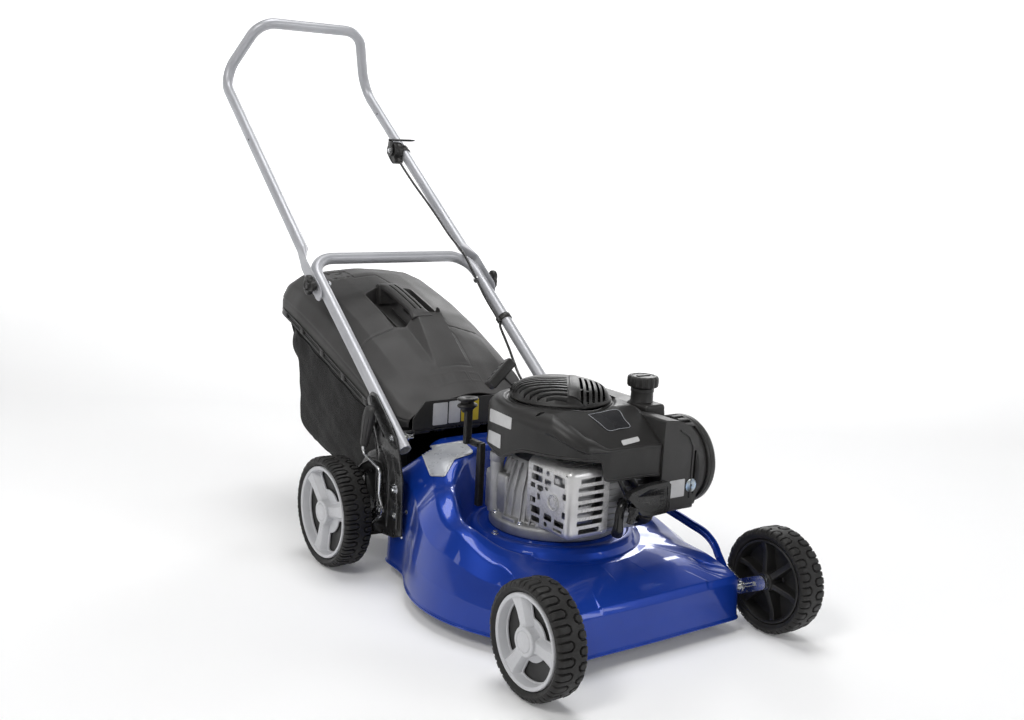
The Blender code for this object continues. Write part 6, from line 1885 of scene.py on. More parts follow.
loop = dense_loop(SHROUD, 400)
loop_low = []
rows = []
for p in loop:
    out_dir = Vector((p.x, p.y - ENGINE_Y)).normalized()
    # front-facing part has a crisp edge, the rest a soft one
    frontal = sstep(-0.150, -0.195, p.y) * sstep(-0.085, -0.040, p.x)
    left = sstep(-0.02, -0.05, p.x)
    soft = 0.0200 + 0.0120 * sstep(-0.06, -0.13, p.y) * left - 0.0150 * frontal - 0.0060 * sstep(0.02, 0.08, p.x) * (1 - frontal)
    crease = sstep(-0.120, -0.175, p.y) * left
    step_in = 0.0042 * crease + 0.0007 * frontal
    q_top = p.to_2d() - out_dir * soft
    z_top = hood(q_top.x, q_top.y)
    z_c = z_top - soft * 0.86
    prof = [(0.0 + step_in, p.z), (0.0 + step_in, p.z + 0.0035), (step_in, z_c - 0.0045), (step_in * 0.86, z_c - 0.0020), (0.0, z_c - 0.0002)]
    for k in range(1, 9):
        a = k / 8 * PI / 2
        prof.append((soft * (1 - math.cos(a)), z_c + (z_top - z_c) * math.sin(a)))
    ring = []
    for inset, z in prof:
        q = p.to_2d() - out_dir * inset
        ring.append((q.x, q.y, z))
    # over the hood to the recess round the starter cover
    reach = (q_top - Vector((0, ENGINE_Y))).length
    for k in range(1, 15):
        f = k / 14
        rr = reach + (0.0960 - reach) * f
        q = Vector((0, ENGINE_Y)) + out_dir * rr
        ring.append((q.x, q.y, hood(q.x, q.y)))
    q = Vector((0, ENGINE_Y)) + out_dir * 0.0960
    zt = hood(q.x, q.y)
    for rr, dz in ((0.0945, -0.0004), (0.0930, -0.0016), (0.0920, -0.0028), (0.0905, -0.0034), (0.0890, -0.0034), (0.0882, -0.0028), (0.0876, -0.0006), (0.0860, 0.0000), (0.0835, 0.0000)):
        q = Vector((0, ENGINE_Y)) + out_dir * rr
        ring.append((q.x, q.y, min(zt, 0.3598) + dz))
    rows.append(ring)
shroud = grid("engine_shroud", rows, closed_v=True)
bm = bmesh.new()
bm.from_mesh(shroud.data)
if sum(f.normal.z * f.calc_area() for f in bm.faces) < 0:
    bmesh.ops.reverse_faces(bm, faces=bm.faces)
bm.to_mesh(shroud.data)
bm.free()
hood_target = Target(shroud)
solidify(shroud, 0.0022, -1, False)
evaluated(shroud)
# oval slot in the top
hit, n_ = hood_target.see(480 + 302 / 5, 355 + 293 / 5)
tool = prism("oval", ring2(0, 0, 0.0078, 28, 0, 0.0031), "Z", -0.010, 0.010)
tool.data.transform(Matrix.Translation(hit) @ Matrix.Rotation(rad(-12), 4, "Z"))
cut(shroud, tool)
place(shroud, "chassis", "shroud", "black_plastic", "blower_housing", 33)
skirt_line = [r[1] for r in rows]
skirt = sweep("shroud_lip", [Vector(v) for v in skirt_line] + [Vector(skirt_line[0])], 0.0014, 8, False)
place(skirt, "chassis", "shroud", "black_plastic")

# plain plates where the photo has labels
e_px = lambda u, v: (480 + u / 5, 355 + v / 5)
plates = (("hood_plate", [(535, 297), (600, 282), (690, 270), (728, 322), (758, 362), (700, 374), (640, 384), (590, 345)], "dark_badge", 1.2),
          ("hood_tag", [(704, 429), (788, 408), (800, 431), (716, 453)], "label", 1.0),
          ("side_plate_a", [(52, 266), (160, 315), (156, 374), (50, 330)], "label", 0.8),
          ("side_plate_b", [(45, 372), (104, 400), (102, 470), (40, 432)], "label", 0.8))
for name, pts, look, round_px in plates:
    try:
        obj = plate_on(name, hood_target, [e_px(*p) for p in pts], None, 0.0005, 0.0001, 22, round_px)
        place(obj, "chassis", look, "black_plastic", (), 40)
    except Exception as problem:
        print("plate", name, problem)
rim_pts = [e_px(*p) for p in ((541, 299), (600, 288), (686, 275), (722, 322), (750, 359), (700, 369), (643, 378), (598, 343), (541, 299))]
place(bead_on("hood_plate_rim", hood_target, rim_pts, 0.0004, -0.1, None, 90), "chassis", "badge", "zinc", (), 60)

# slotted starter cover
outer = [(0.0862, 0.3606), (0.0866, 0.3626), (0.0858, 0.3640), (0.0840, 0.3650), (0.0828, 0.3668), (0.0812, 0.3712), (0.0786, 0.3756), (0.0746, 0.3798), (0.0692, 0.3836),
         (0.0610, 0.3868), (0.0520, 0.3893), (0.0420, 0.3912), (0.0300, 0.3928), (0.0150, 0.3938), (0.0, 0.3941)]
inner = [(0.0, 0.3917), (0.0150, 0.3914), (0.0300, 0.3904), (0.0420, 0.3888), (0.0510, 0.3870), (0.0595, 0.3845), (0.0664, 0.3815), (0.0716, 0.3782), (0.0756, 0.3742),
         (0.0782, 0.3702), (0.0798, 0.3662), (0.0812, 0.3640), (0.0834, 0.3626), (0.0840, 0.3606)]
dome = lathe("starter_cover", outer + inner, 144, closed=True)
along_a = Vector((0.807, -0.591))
along_b = Vector((-0.591, -0.807))


def bar(points_ab, width0, width1, z0=0.3655, z1=0.41):
    """Vertical cutter that follows points given along the two slot directions."""
    pts = [along_a * a + along_b * b for a, b in points_ab]
    left_, right_ = [], []
    for i, p in enumerate(pts):
        d = (pts[min(i + 1, len(pts) - 1)] - pts[max(i - 1, 0)]).normalized()
        n = Vector((-d.y, d.x))
        w = (width0 + (width1 - width0) * i / (len(pts) - 1)) / 2
        left_.append(tuple(p + n * w))
        right_.append(tuple(p - n * w))
    return prism("bar", left_ + right_[::-1], "Z", z0, z1)


tools = []
SLOTS = ((0.0000, 0.0058), (0.0112, 0.0060), (0.0224, 0.0062), (0.0334, 0.0062), (0.0442, 0.0060), (0.0545, 0.0058), (0.0640, 0.0052), (0.0724, 0.0044), (0.0790, 0.0030))
for k, (b0, wide) in enumerate(SLOTS):
    end_r = math.sqrt(max(0.0, 0.0830 ** 2 - b0 ** 2))
    a_left = -end_r
    pts = []
    for j in range(12):
        t_ = j / 11
        a = a_left + (0.0085 - a_left) * t_
        pts.append((a, b0 - 0.0060 * (1 - t_) ** 2 * (1.0 if k < 5 else 0.35) + 0.001 * t_))
    tools.append(bar(pts, wide, wide * 1.08))
for k, a0 in enumerate((0.0335, 0.0425, 0.0515, 0.0605, 0.0690)):
    reach_b = math.sqrt(max(0.0, 0.0828 ** 2 - a0 ** 2))
    pts = []
    for j in range(14):
        t_ = j / 13
        b = -0.012 - 0.004 * k * 0 + (reach_b + 0.012) * t_
        pts.append((a0 + 0.0040 * math.sin(t_ * PI * 0.5) * (0.3 + 0.18 * k) - 0.002, b))
    tools.append(bar(pts, 0.0044, 0.0050))
cut(dome, tools)
bevel(dome, 0.0005, 2, 40)
evaluated(dome)
moved(dome, E0)
place(dome, "chassis", ["shroud", "core"], "black_plastic", "recoil_cover", 35)
# faces below the outer skin, the slot walls and the underside, take the darker black plastic: painted shade in the gaps
# between the slats
for f in dome.data.polygons:
    c = f.center
    r = math.hypot(c.x, c.y - (ENGINE_Y - YC))
    skin_z = float(np.interp(r, [p[0] for p in outer[::-1]], [p[1] for p in outer[::-1]]))
    if c.z < skin_z - 0.0007 and r < 0.0835:
        f.material_index = 1
rib_rows = []
for j in range(14):
    t_ = j / 13
    b = -0.016 + (0.0760 + 0.016) * t_
    half_w = 0.0062 + 0.0034 * t_
    a_mid = 0.0205 - 0.0006 * t_
    row = []
    for s_, lift in ((-1.0, -0.0010), (-0.98, 0.0008), (-0.90, 0.0017), (-0.3, 0.0021), (0.3, 0.0021), (0.90, 0.0017), (0.98, 0.0008), (1.0, -0.0010)):
        q = along_a * (a_mid + s_ * half_w) + along_b * b
        r = min(q.length, 0.0815)
        z = float(np.interp(r, [p[0] for p in outer[::-1]], [p[1] for p in outer[::-1]]))
        q = q.normalized() * r if q.length > 1e-6 else q
        row.append((q.x, q.y + ENGINE_Y, z + lift))
    rib_rows.append(row)
rib = grid("starter_cover_rib", rib_rows)
solidify(rib, 0.0024, 0)
place(rib, "chassis", "shroud", "black_plastic", (), 35)
# dark finned disc under the cover: painted shade seen through the slots
fins = [lathe("fan_disc", [(0.0, 0.3578), (0.0770, 0.3578), (0.0770, 0.3566), (0.0, 0.3566)], 72)]
for k in range(22):
    a = 2 * PI * k / 22
    fin = prism("fin", [(0.030, -0.0009), (0.074, -0.0006), (0.074, 0.0006), (0.030, 0.0009)], "Z", 0.3574, 0.3632)
    fin.data.transform(Matrix.Rotation(a, 4, "Z"))
    fins.append(fin)
place(moved(join(fins, "starter_screen"), E0), "chassis", "core", "black_plastic")
ring_bolts = []
for k in range(3):
    a = rad(20 + 120 * k)
    ring_bolts.append(bolt("rb", (0.0835 * math.cos(a), ENGINE_Y + 0.0835 * math.sin(a), 0.3640), (0, 0, 1), 0.0030, 0.0030, 1.2))
place(join(ring_bolts, "starter_screws"), "chassis", "black_steel", "black_steel")

# ------------------------------------------------------- muffler and its guard
gx0, gx1, gy0, gy1, gz0, gz1 = -0.0865, -0.0050, -0.1915, -0.0800, 0.1610, 0.2765
guard = block("guard", (gx0, gy0, gz0), (0.020, -0.050, gz1), 0.0125, 7)
inner_b = block("gi", (gx0 + 0.0013, gy0 + 0.0013, gz0 + 0.0013), (0.030, -0.040, gz1 - 0.0013), 0.0112, 7)
cut(guard, inner_b)
cut(guard, [block("t1", (gx1, -0.3, 0.1), (0.1, 0.1, 0.4), 0)])
cut(guard, [block("t2", (-0.3, gy1, 0.1), (0.1, 0.1, 0.4), 0)])
tools = []


def face_l(u, v):
    return (-0.0835 + (-0.1880 + 0.0835) * u, 0.2740 + (0.1630 - 0.2740) * v)


def window_l(u0, v0, u1, v1, r=0.0018, skew=0.0):
    a, b = face_l(u0, v0), face_l(u1, v1)
    ring = [Vector((a[0], a[1], 0)), Vector((b[0], a[1] + skew, 0)), Vector((b[0], b[1] + skew, 0)), Vector((a[0], b[1], 0))]
    return prism("w", [tuple(p)[:2] for p in fillet(ring, r, 3, True)], "X", gx0 - 0.003, gx0 + 0.0020)


for u0, v0, u1, v1 in ((0.09, 0.08, 0.34, 0.165), (0.06, 0.205, 0.34, 0.30), (0.05, 0.345, 0.165, 0.42), (0.05, 0.56, 0.19, 0.645), (0.06, 0.69, 0.32, 0.80),
                       (0.10, 0.845, 0.32, 0.93), (0.63, 0.10, 0.90, 0.25), (0.40, 0.215, 0.56, 0.30), (0.42, 0.73, 0.62, 0.83), (0.68, 0.76, 0.92, 0.85), (0.66, 0.89, 0.88, 0.945), (0.42, 0.335, 0.50, 0.385), (0.86, 0.33, 0.94, 0.42), (0.86, 0.60, 0.94, 0.70)):
    tools.append(window_l(u0, v0, u1, v1))
for u, v, r in ((0.475, 0.125, 0.0046), (0.47, 0.90, 0.0046), (0.93, 0.055, 0.0022)):
    y, z = face_l(u, v)
    tools.append(prism("c", ring2(y, z, r, 22), "X", gx0 - 0.003, gx0 + 0.0020))
for pts in ([(0.22, 0.35), (0.36, 0.345), (0.38, 0.40), (0.30, 0.45), (0.22, 0.42)], [(0.22, 0.47), (0.30, 0.49), (0.32, 0.56), (0.24, 0.58)]):
    ring = [Vector((*face_l(*p), 0)) for p in pts]
    tools.append(prism("w", [tuple(p)[:2] for p in fillet(ring, 0.0012, 3, True)], "X", gx0 - 0.003, gx0 + 0.0020))
ey, ez = face_l(0.64, 0.52)
for k in range(12):
    a = 2 * PI * k / 12
    tools.append(prism("d", ring2(ey + 0.0098 * math.cos(a), ez + 0.0098 * math.sin(a), 0.00125, 10), "X", gx0 - 0.003, gx0 + 0.0020))
for k in range(7):
    z = 0.2590 - 0.0140 * k
    ring = rrect(-0.0690 + (0.004 if k in (0, 6) else 0), z - 0.0042, -0.0160 - (0.006 if k in (0, 6) else 0), z + 0.0042, 0.0022, 3)
    tools.append(prism("f", ring, "Y", gy0 - 0.003, gy0 + 0.0020))
for k in range(4):
    y = -0.1700 + 0.0220 * k
    tools.append(prism("tp", rrect(-0.0620, y, -0.0200, y + 0.0080, 0.0022, 3), "Z", gz1 - 0.0020, gz1 + 0.003))
cut(guard, tools)
bevel(guard, 0.0003, 1, 45)
place(guard, "chassis", "guard", "zinc", "muffler_guard", 35)
bits = [lathe("rg", [(0.0128, 0.0), (0.0138, 0.0), (0.0140, 0.0004), (0.0140, 0.0010), (0.0132, 0.0014), (0.0124, 0.0010), (0.0124, 0.0)], 44),
        lathe("cc", [(0.0, 0.0), (0.0062, 0.0), (0.0060, 0.0008), (0.0, 0.0012)], 30)]
emblem = join(bits, "guard_ring")
moved(emblem, at((gx0 - 0.0001, ey, ez), (-1, 0, 0)))
place(emblem, "chassis", "guard", "zinc")
studs = []
for x, z in ((-0.0165, 0.2670), (-0.0165, 0.1695)):
    studs.append(moved(lathe("st", [(0.0, 0.0016), (0.0014, 0.0014), (0.0022, 0.0004), (0.0022, -0.001), (0.0, -0.001)], 18), at((x, gy0, z), (0, -1, 0))))
place(join(studs, "guard_rivets"), "chassis", "guard", "zinc")
muff = block("muffler_can", (-0.0760, -0.1800, 0.1760), (-0.0190, -0.0860, 0.2700), 0.0120, 5)
seam = prism("ms", rrect(-0.0785, -0.1825, -0.0165, -0.0835, 0.012, 5), "Z", 0.2215, 0.2245, 0.0008)
pipe = moved(lathe("mp", [(0.0055, 0.0), (0.0085, 0.0), (0.0088, 0.0006), (0.0088, 0.0060), (0.0055, 0.0060)], 36), at((-0.0760, -0.140, 0.2000), (-1, 0, 0)))
place(join([muff, seam, pipe], "muffler_can"), "chassis", "steel", "steel", "muffler")

# ----------------------------------------------------------------- crankcase
prof = [(0.0129, 0.2620), (0.0720, 0.2620), (0.0745, 0.2608), (0.0760, 0.2580), (0.0790, 0.2480), (0.0900, 0.2120), (0.0930, 0.1900), (0.0955, 0.1660), (0.0975, 0.1625), (0.1060, 0.1608),
        (0.1085, 0.1596), (0.1105, 0.1575), (0.1110, 0.1545), (0.1110, 0.1430), (0.1100, 0.1412), (0.1075, 0.1406), (0.0129, 0.1406)]
case = lathe("case", prof, 120)
moved(case, E0)
ribs = []
for k in range(13):
    a = rad(128 + 11.5 * k)
    c_, s_ = math.cos(a), math.sin(a)
    rib = prism("cr", [(0.070, 0.1595), (0.1035, 0.1595), (0.0995, 0.1680), (0.0950, 0.2100), (0.0845, 0.2480), (0.0800, 0.2560), (0.070, 0.2560)], "Y", -0.0013, 0.0013, 0.0006)
    rib.data.transform(E0 @ Matrix.Rotation(a, 4, "Z"))
    ribs.append(rib)
for a_deg, r0, r1, w, z1 in ((150, 0.080, 0.104, 0.010, 0.1655), (186, 0.080, 0.106, 0.016, 0.1665), (222, 0.080, 0.106, 0.012, 0.1665)):
    pad = block("pad", (r0, -w, 0.1590), (r1, w, z1), 0.0016, 3)
    pad.data.transform(E0 @ Matrix.Rotation(rad(a_deg), 4, "Z"))
    ribs.append(pad)
head = block("head", (-0.0030, -0.1880, 0.1650), (0.0600, -0.1000, 0.2560), 0.0040, 3)
fins = []
for k in range(8):
    z = 0.1720 + 0.0105 * k
    fins.append(block("hf", (-0.0055, -0.1905, z), (0.0625, -0.1000, z + 0.0028), 0.0008, 2))
sump = block("sump", (-0.0950, -0.0320, 0.1600), (-0.0700, 0.0300, 0.2300), 0.0050, 4)
post = lathe("post", [(0.0, 0.1600), (0.0130, 0.1600), (0.0128, 0.1720), (0.0116, 0.1760), (0.0114, 0.2480), (0.0128, 0.2500), (0.0128, 0.2625), (0.0118, 0.2635), (0.0, 0.2635)], 40)
post.data.transform(Matrix.Translation((-0.0900, 0.0040, 0)))
bay = block("bay", (-0.1150, -0.2200, 0.1640), (-0.0040, -0.0790, 0.3000), 0)
cut(case, bay)
bevel(case, 0.0006, 2, 40)
evaluated(case)
body_ = join([case, *ribs, head, *fins, sump, post], "engine_block")
place(body_, "chassis", "cast", "cast_aluminium", "crankcase", 35)
cap_bolt = lathe("pb", [(0.0, 0.2720), (0.0062, 0.2720), (0.0070, 0.2712), (0.0070, 0.2660), (0.0110, 0.2655), (0.0114, 0.2636), (0.0, 0.2636)], 32)
cap_bolt.data.transform(Matrix.Translation((-0.0900, 0.0040, 0)))
place(cap_bolt, "chassis", "black_steel", "black_steel")
flange_bolts = []
for a_deg in (128, 160, 200, 236, 262):
    flange_bolts.append(bolt("fb", (0.1030 * math.cos(rad(a_deg)), ENGINE_Y + 0.1030 * math.sin(rad(a_deg)), 0.1606), (0, 0, 1), 0.0042, 0.0050, 1.35))
place(join(flange_bolts, "flange_bolts"), "chassis", "zinc", "zinc")

# ----------------------------------------------------- tank, cap, air cleaner
tank = block("tank", (0.1035, -0.1330, 0.2720), (0.1680, 0.0700, 0.3500), 0.0150, 6)
seam = prism("tank_seam", rrect(0.1025, -0.1340, 0.1690, 0.0710, 0.0150, 5), "Z", 0.3120, 0.3150, 0.0010)
CAPX, CAPY = 0.1290, -0.1060
neck = lathe("neck", [(0.0150, 0.3400), (0.0225, 0.3400), (0.0225, 0.3530), (0.0195, 0.3570), (0.0190, 0.3720), (0.0200, 0.3728), (0.0200, 0.3780), (0.0190, 0.3795), (0.0160, 0.3800)], 56)
neck.data.transform(Matrix.Translation((CAPX, CAPY, 0)))
boss = block("boss", (0.1060, -0.1450, 0.3180), (0.1500, -0.0900, 0.3560), 0.0060, 4)
place(join([tank, seam, neck, boss], "fuel_tank_shell"), "chassis", "shroud", "black_plastic", "fuel_tank", 40)


def cap_outline(t):
    return 0.0258 + 0.0009 * math.cos(16 * t) ** 3


cap = lobed("fuel_cap_top", [(0.80, 0.3809), (0.93, 0.3812), (0.985, 0.3822), (1.0, 0.3838), (1.01, 0.3900), (1.0, 0.3960), (0.965, 0.3986), (0.90, 0.3998), (0.80, 0.4003), (0.74, 0.3999), (0.70, 0.3992), (0.3, 0.3994), (0.02, 0.3996)], cap_outline, 192)
handle_ = prism("cap_bar", rrect(-0.0150, -0.0035, 0.0150, 0.0035, 0.0034, 5), "Z", 0.3985, 0.4010, 0.0008)
cap = join([cap, handle_], "fuel_cap_top")
cap.data.transform(Matrix.Translation((CAPX, CAPY, 0)))
place(cap, "fuel_cap", "shroud", "black_plastic", "fuel_cap", 35)

ACY, ACZ = -0.1440, 0.2560


def flat(points, radii, steps=4):
    """Rounded outline from plain corner points."""
    return [tuple(p)[:2] for p in fillet([Vector((a, b, 0)) for a, b in points], radii, steps, True)]


base = prism("ab", flat([(0.0900, 0.1960), (0.1690, 0.1960), (0.1715, 0.2100), (0.1715, 0.2900), (0.1670, 0.3120), (0.1490, 0.3320), (0.1220, 0.3440), (0.0900, 0.3480)],
                        [0.004, 0.004, 0.010, 0.012, 0.014, 0.016, 0.012, 0.004], 6), "Y", -0.2110, -0.1370, 0.0060, 6)
drum = lathe("ad", [(0.0, 0.1640), (0.0600, 0.1640), (0.0690, 0.1660), (0.0728, 0.1690), (0.0735, 0.1720), (0.0735, 0.1845), (0.0725, 0.1858), (0.0660, 0.1858), (0.0660, 0.1752), (0.0, 0.1752)], 96, "X", (0, ACY, ACZ))
slot_t = prism("sl", rrect(0.1605, 0.2150, 0.1650, 0.2900, 0.0015, 3), "Y", -0.2300, -0.2070)
ledge = block("al", (0.1080, -0.2080, 0.1880), (0.1700, -0.1500, 0.1990), 0.0035, 3)
front_rib = prism("fr", [(0.1540, 0.2080), (0.1570, 0.2080), (0.1585, 0.2980), (0.1460, 0.3180), (0.1250, 0.3300), (0.1240, 0.3270), (0.1440, 0.3150), (0.1552, 0.2960)], "Y", -0.2130, -0.2095, 0.0010)
cut(base, slot_t)
teeth = []
for k in range(5):
    a = rad(64 + 13 * k)
    tooth = block("tt", (0.1660, -0.0045, 0.0725), (0.1880, 0.0045, 0.0772), 0.0010, 2)
    tooth.data.transform(Matrix.Translation((0, ACY, ACZ)) @ Matrix.Rotation(a - PI / 2, 4, "X"))
    teeth.append(tooth)
# the air box takes the lighter copy of the black plastic, which is painted light
place(join([base, drum, ledge, front_rib, *teeth], "air_box"), "chassis", "airbox", "black_plastic", "air_cleaner_base", 38)
lid_c = lathe("air_lid", [(0.0, 0.1960), (0.0640, 0.1960), (0.0640, 0.1866), (0.0765, 0.1866), (0.0770, 0.1874), (0.0770, 0.1905), (0.0762, 0.1912), (0.0762, 0.1924), (0.0770, 0.1932), (0.0770, 0.1985), (0.0762, 0.2025), (0.0740, 0.2055), (0.0700, 0.2078),
                      (0.0640, 0.2090), (0.0600, 0.2088), (0.0590, 0.2080), (0.0560, 0.2080), (0.0550, 0.2089), (0.0, 0.2092)], 120, "X", (0, ACY, ACZ))
place(lid_c, "chassis", "shroud", "black_plastic", "air_cleaner_cover", 38)
filt = []
prof = []
pleats = 40
rows = []
for k in range(pleats * 4):
    a = 2 * PI * k / (pleats * 4)
    r = 0.0590 if (k // 2) % 2 else 0.0545
    rows.append([(0.1762, ACY + r * math.cos(a), ACZ + r * math.sin(a)), (0.1898, ACY + r * math.cos(a), ACZ + r * math.sin(a))])
ring_o = grid("fo", [[r[0] for r in rows], [r[1] for r in rows]], closed_u=True, cap=True)
place(ring_o, "chassis", "paper", "filter_paper", "air_filter", 30)
tag = prism("air_tag", rrect(0.1090, 0.2130, 0.1430, 0.2430, 0.0015), "Y", -0.2116, -0.2109, 0.0001, 1)
place(tag, "chassis", "label", "black_plastic", (), 40)
disc = lathe("choke_plate", [(0.0, 0.0), (0.0115, 0.0), (0.0118, 0.0004), (0.0118, 0.0012), (0.0112, 0.0016), (0.0, 0.0016)], 44)
hole = lathe("h", [(0.0, -0.01), (0.0024, -0.01), (0.0024, 0.01), (0.0, 0.01)], 20)
cut(disc, hole)
disc.data.transform(Matrix.Translation((0.1570, -0.2112, 0.2300)) @ aim((0, -1, 0)))
place(disc, "chassis", "blue_zinc", "zinc")

# -------------------------------------------- dipstick, fill tube, plug boot
paddle = prism("dp", flat([(-0.0020, 0.2340), (0.0060, 0.2430), (0.0400, 0.2500), (0.0830, 0.2520), (0.0895, 0.2470), (0.0895, 0.2050), (0.0840, 0.1990), (0.0500, 0.1975), (0.0300, 0.2020), (0.0140, 0.2200)],
                         [0.004, 0.006, 0.020, 0.004, 0.004, 0.006, 0.006, 0.010, 0.010, 0.008], 5), "Y", -0.2350, -0.2222, 0.0030, 5)
panel = prism("pn", flat([(0.0130, 0.2330), (0.0420, 0.2440), (0.0820, 0.2455), (0.0835, 0.2300), (0.0830, 0.2070), (0.0520, 0.2040), (0.0340, 0.2080)], 0.004, 4), "Y", -0.2400, -0.2340)
cut(paddle, panel)
bevel(paddle, 0.0003, 1, 50)
evaluated(paddle)
lips = []
for k in range(4):
    z = 0.2120 + 0.0075 * k
    lips.append(block("lp", (0.0680, -0.2352, z), (0.0790, -0.2335, z + 0.0018), 0.0005, 1))
stem_d = sweep("ds", [Vector((0.0170, -0.2290, 0.2120)), Vector((0.0120, -0.2290, 0.1960)), Vector((0.0115, -0.2280, 0.1900))], 0.0062, 20)
cap_d = sweep("dc", [Vector((0.0180, -0.2290, 0.2160)), Vector((0.0150, -0.2290, 0.2060))], 0.0085, 22)
lips += [stem_d, cap_d]
place(join([paddle, *lips], "dipstick_grip"), "oil_dipstick", "gloss_black", "black_plastic", "oil_dipstick", 40)
fill = fillet([(0.0760, -0.1500, 0.1615), (0.0760, -0.1700, 0.1680), (0.0740, -0.1960, 0.1800), (0.0660, -0.2100, 0.2080)], 0.020, 8)
tube_ = sweep("ft", fill, 0.0095, 28)
collar = moved(lathe("fc", [(0.0, -0.0050), (0.0108, -0.0050), (0.0114, -0.0042), (0.0114, 0.0030), (0.0104, 0.0040), (0.0, 0.0040)], 36), at(fill[-2], Vector(fill[-1]) - Vector(fill[-3])))
place(join([tube_, collar], "fill_tube"), "chassis", "shroud", "black_plastic", "oil_fill_tube", 45)
boot = moved(lathe("bt", [(0.0, 0.0), (0.0082, 0.0), (0.0086, 0.0010), (0.0084, 0.0080), (0.0078, 0.0088), (0.0078, 0.0100), (0.0085, 0.0110), (0.0085, 0.0190), (0.0076, 0.0208), (0.0050, 0.0212), (0.0, 0.0212)], 40), at((0.0240, -0.1888, 0.2120), (0, -1, 0)))
lead = sweep("ld", smooth_line([(0.0240, -0.2040, 0.2120), (0.0160, -0.2100, 0.2300), (0.0060, -0.2070, 0.2500), (0.0020, -0.2000, 0.2680)], 26), 0.0040, 16)
hood_ = sweep("hd", smooth_line([(0.0240, -0.2000, 0.2160), (0.0140, -0.2060, 0.2140), (0.0075, -0.2070, 0.2040), (0.0060, -0.2070, 0.1880), (0.0065, -0.2060, 0.1740), (0.0080, -0.2020, 0.1640)], 40), 0.0080, 24, True, [0.0076 + 0.0020 * smoothstep(24, 36, k) for k in range(40)])
place(join([boot, lead, hood_], "plug_boot"), "chassis", "gloss_black", "black_plastic", "spark_plug_boot", 45)
carb = block("cb", (0.0780, -0.1330, 0.2080), (0.1030, -0.0950, 0.2500), 0.0030, 3)
intake = [block("it", (0.0600, -0.1800, 0.2050), (0.1010, -0.0950, 0.2640), 0.0060, 4)]
for k in range(5):
    intake.append(block("ir", (0.0620, -0.1825, 0.2120 + 0.0100 * k), (0.0990, -0.1790, 0.2150 + 0.0100 * k), 0.0008, 2))
intake.append(sweep("io", smooth_line([(0.0640, -0.1780, 0.2300), (0.0520, -0.1900, 0.2360), (0.0380, -0.1960, 0.2480), (0.0300, -0.1900, 0.2620)], 30), 0.0050, 18))
place(join(intake, "intake_cover"), "chassis", "core", "black_plastic", (), 40)
bowl = moved(lathe("cbw", [(0.0, -0.016), (0.0110, -0.016), (0.0130, -0.012), (0.0132, 0.0), (0.0, 0.0)], 36), Matrix.Translation((0.0905, -0.1140, 0.2080)))
place(join([carb, bowl], "carburettor_body"), "chassis", "cast", "cast_aluminium", "carburettor", 40)

# --------------------------------------------------- starter rope and its grip
STEM = Vector((-0.0560, 0.0170, 0.3720))
away = Vector((-0.62, 0.42, 0.66)).normalized()
axis_z = Vector((0.52, 0.10, 0.85)).normalized()
axis_x = away.cross(axis_z).normalized()
axis_z = axis_x.cross(away).normalized()
frame_g = Matrix((axis_x, away, axis_z)).transposed().to_4x4()
grip_b = block("sg", (-0.0145, -0.0088, -0.0290), (0.0145, 0.0088, 0.0290), 0.0032, 4)
tools = [block("se", (-0.0115, -0.0060, 0.0220), (0.0115, 0.0060, 0.0340), 0.0015, 2)]
for s_ in (-1, 1):
    for k in range(4):
        z = -0.0230 + 0.0115 * k
        tools.append(block("sk", tuple((-0.0098, s_ * 0.0100 - 0.0021, z)), tuple((0.0098, s_ * 0.0100 + 0.0021, z + 0.0062)), 0.0008, 1))
cut(grip_b, tools)
ferrule = moved(lathe("sf", [(0.0026, 0.0), (0.0052, 0.0), (0.0060, 0.0022), (0.0060, 0.0030), (0.0, 0.0030)], 26), at((0, -0.0112, 0), (0, 1, 0)))
grip_b = join([grip_b, ferrule], "rope_grip")
grip_b.data.transform(Matrix.Translation(STEM + away * 0.0300) @ frame_g)
place(grip_b, "starter_grip", "shroud", "black_plastic", "starter_grip", 40)
# twisted three-strand rope
strands = []
length = 0.0300 - 0.0085 - 0.0004
for k in range(3):
    pts = []
    for j in range(26):
        s_ = j / 25 * length
        a = 2 * PI * (k / 3 + s_ / 0.0085)
        u_ = axis_x * math.cos(a) + axis_z * math.sin(a)
        pts.append(STEM + away * s_ + u_ * 0.0010)
    strands.append(sweep("strand", pts, 0.00125, 10))
rope = join(strands, "pull_rope")
blended(rope, "chassis", "starter_grip", STEM + away * 0.002, STEM + away * (length - 0.001), "grip", "black_plastic", "starter_rope")
eye = moved(lathe("rope_eye", [(0.0030, -0.0030), (0.0070, -0.0030), (0.0078, -0.0020), (0.0078, 0.0010), (0.0066, 0.0026), (0.0044, 0.0030), (0.0030, 0.0020)], 40), at(STEM - away * 0.0010, away))
horn = sweep("rope_horn", smooth_line([STEM - away * 0.0035, STEM + Vector((0.006, -0.002, -0.007)), STEM + Vector((0.012, -0.006, -0.010))], 16), 0.0070, 24, True, [0.0070 + 0.0022 * k / 15 for k in range(16)])
place(join([eye, horn], "rope_outlet"), "chassis", "shroud", "black_plastic", (), 40)

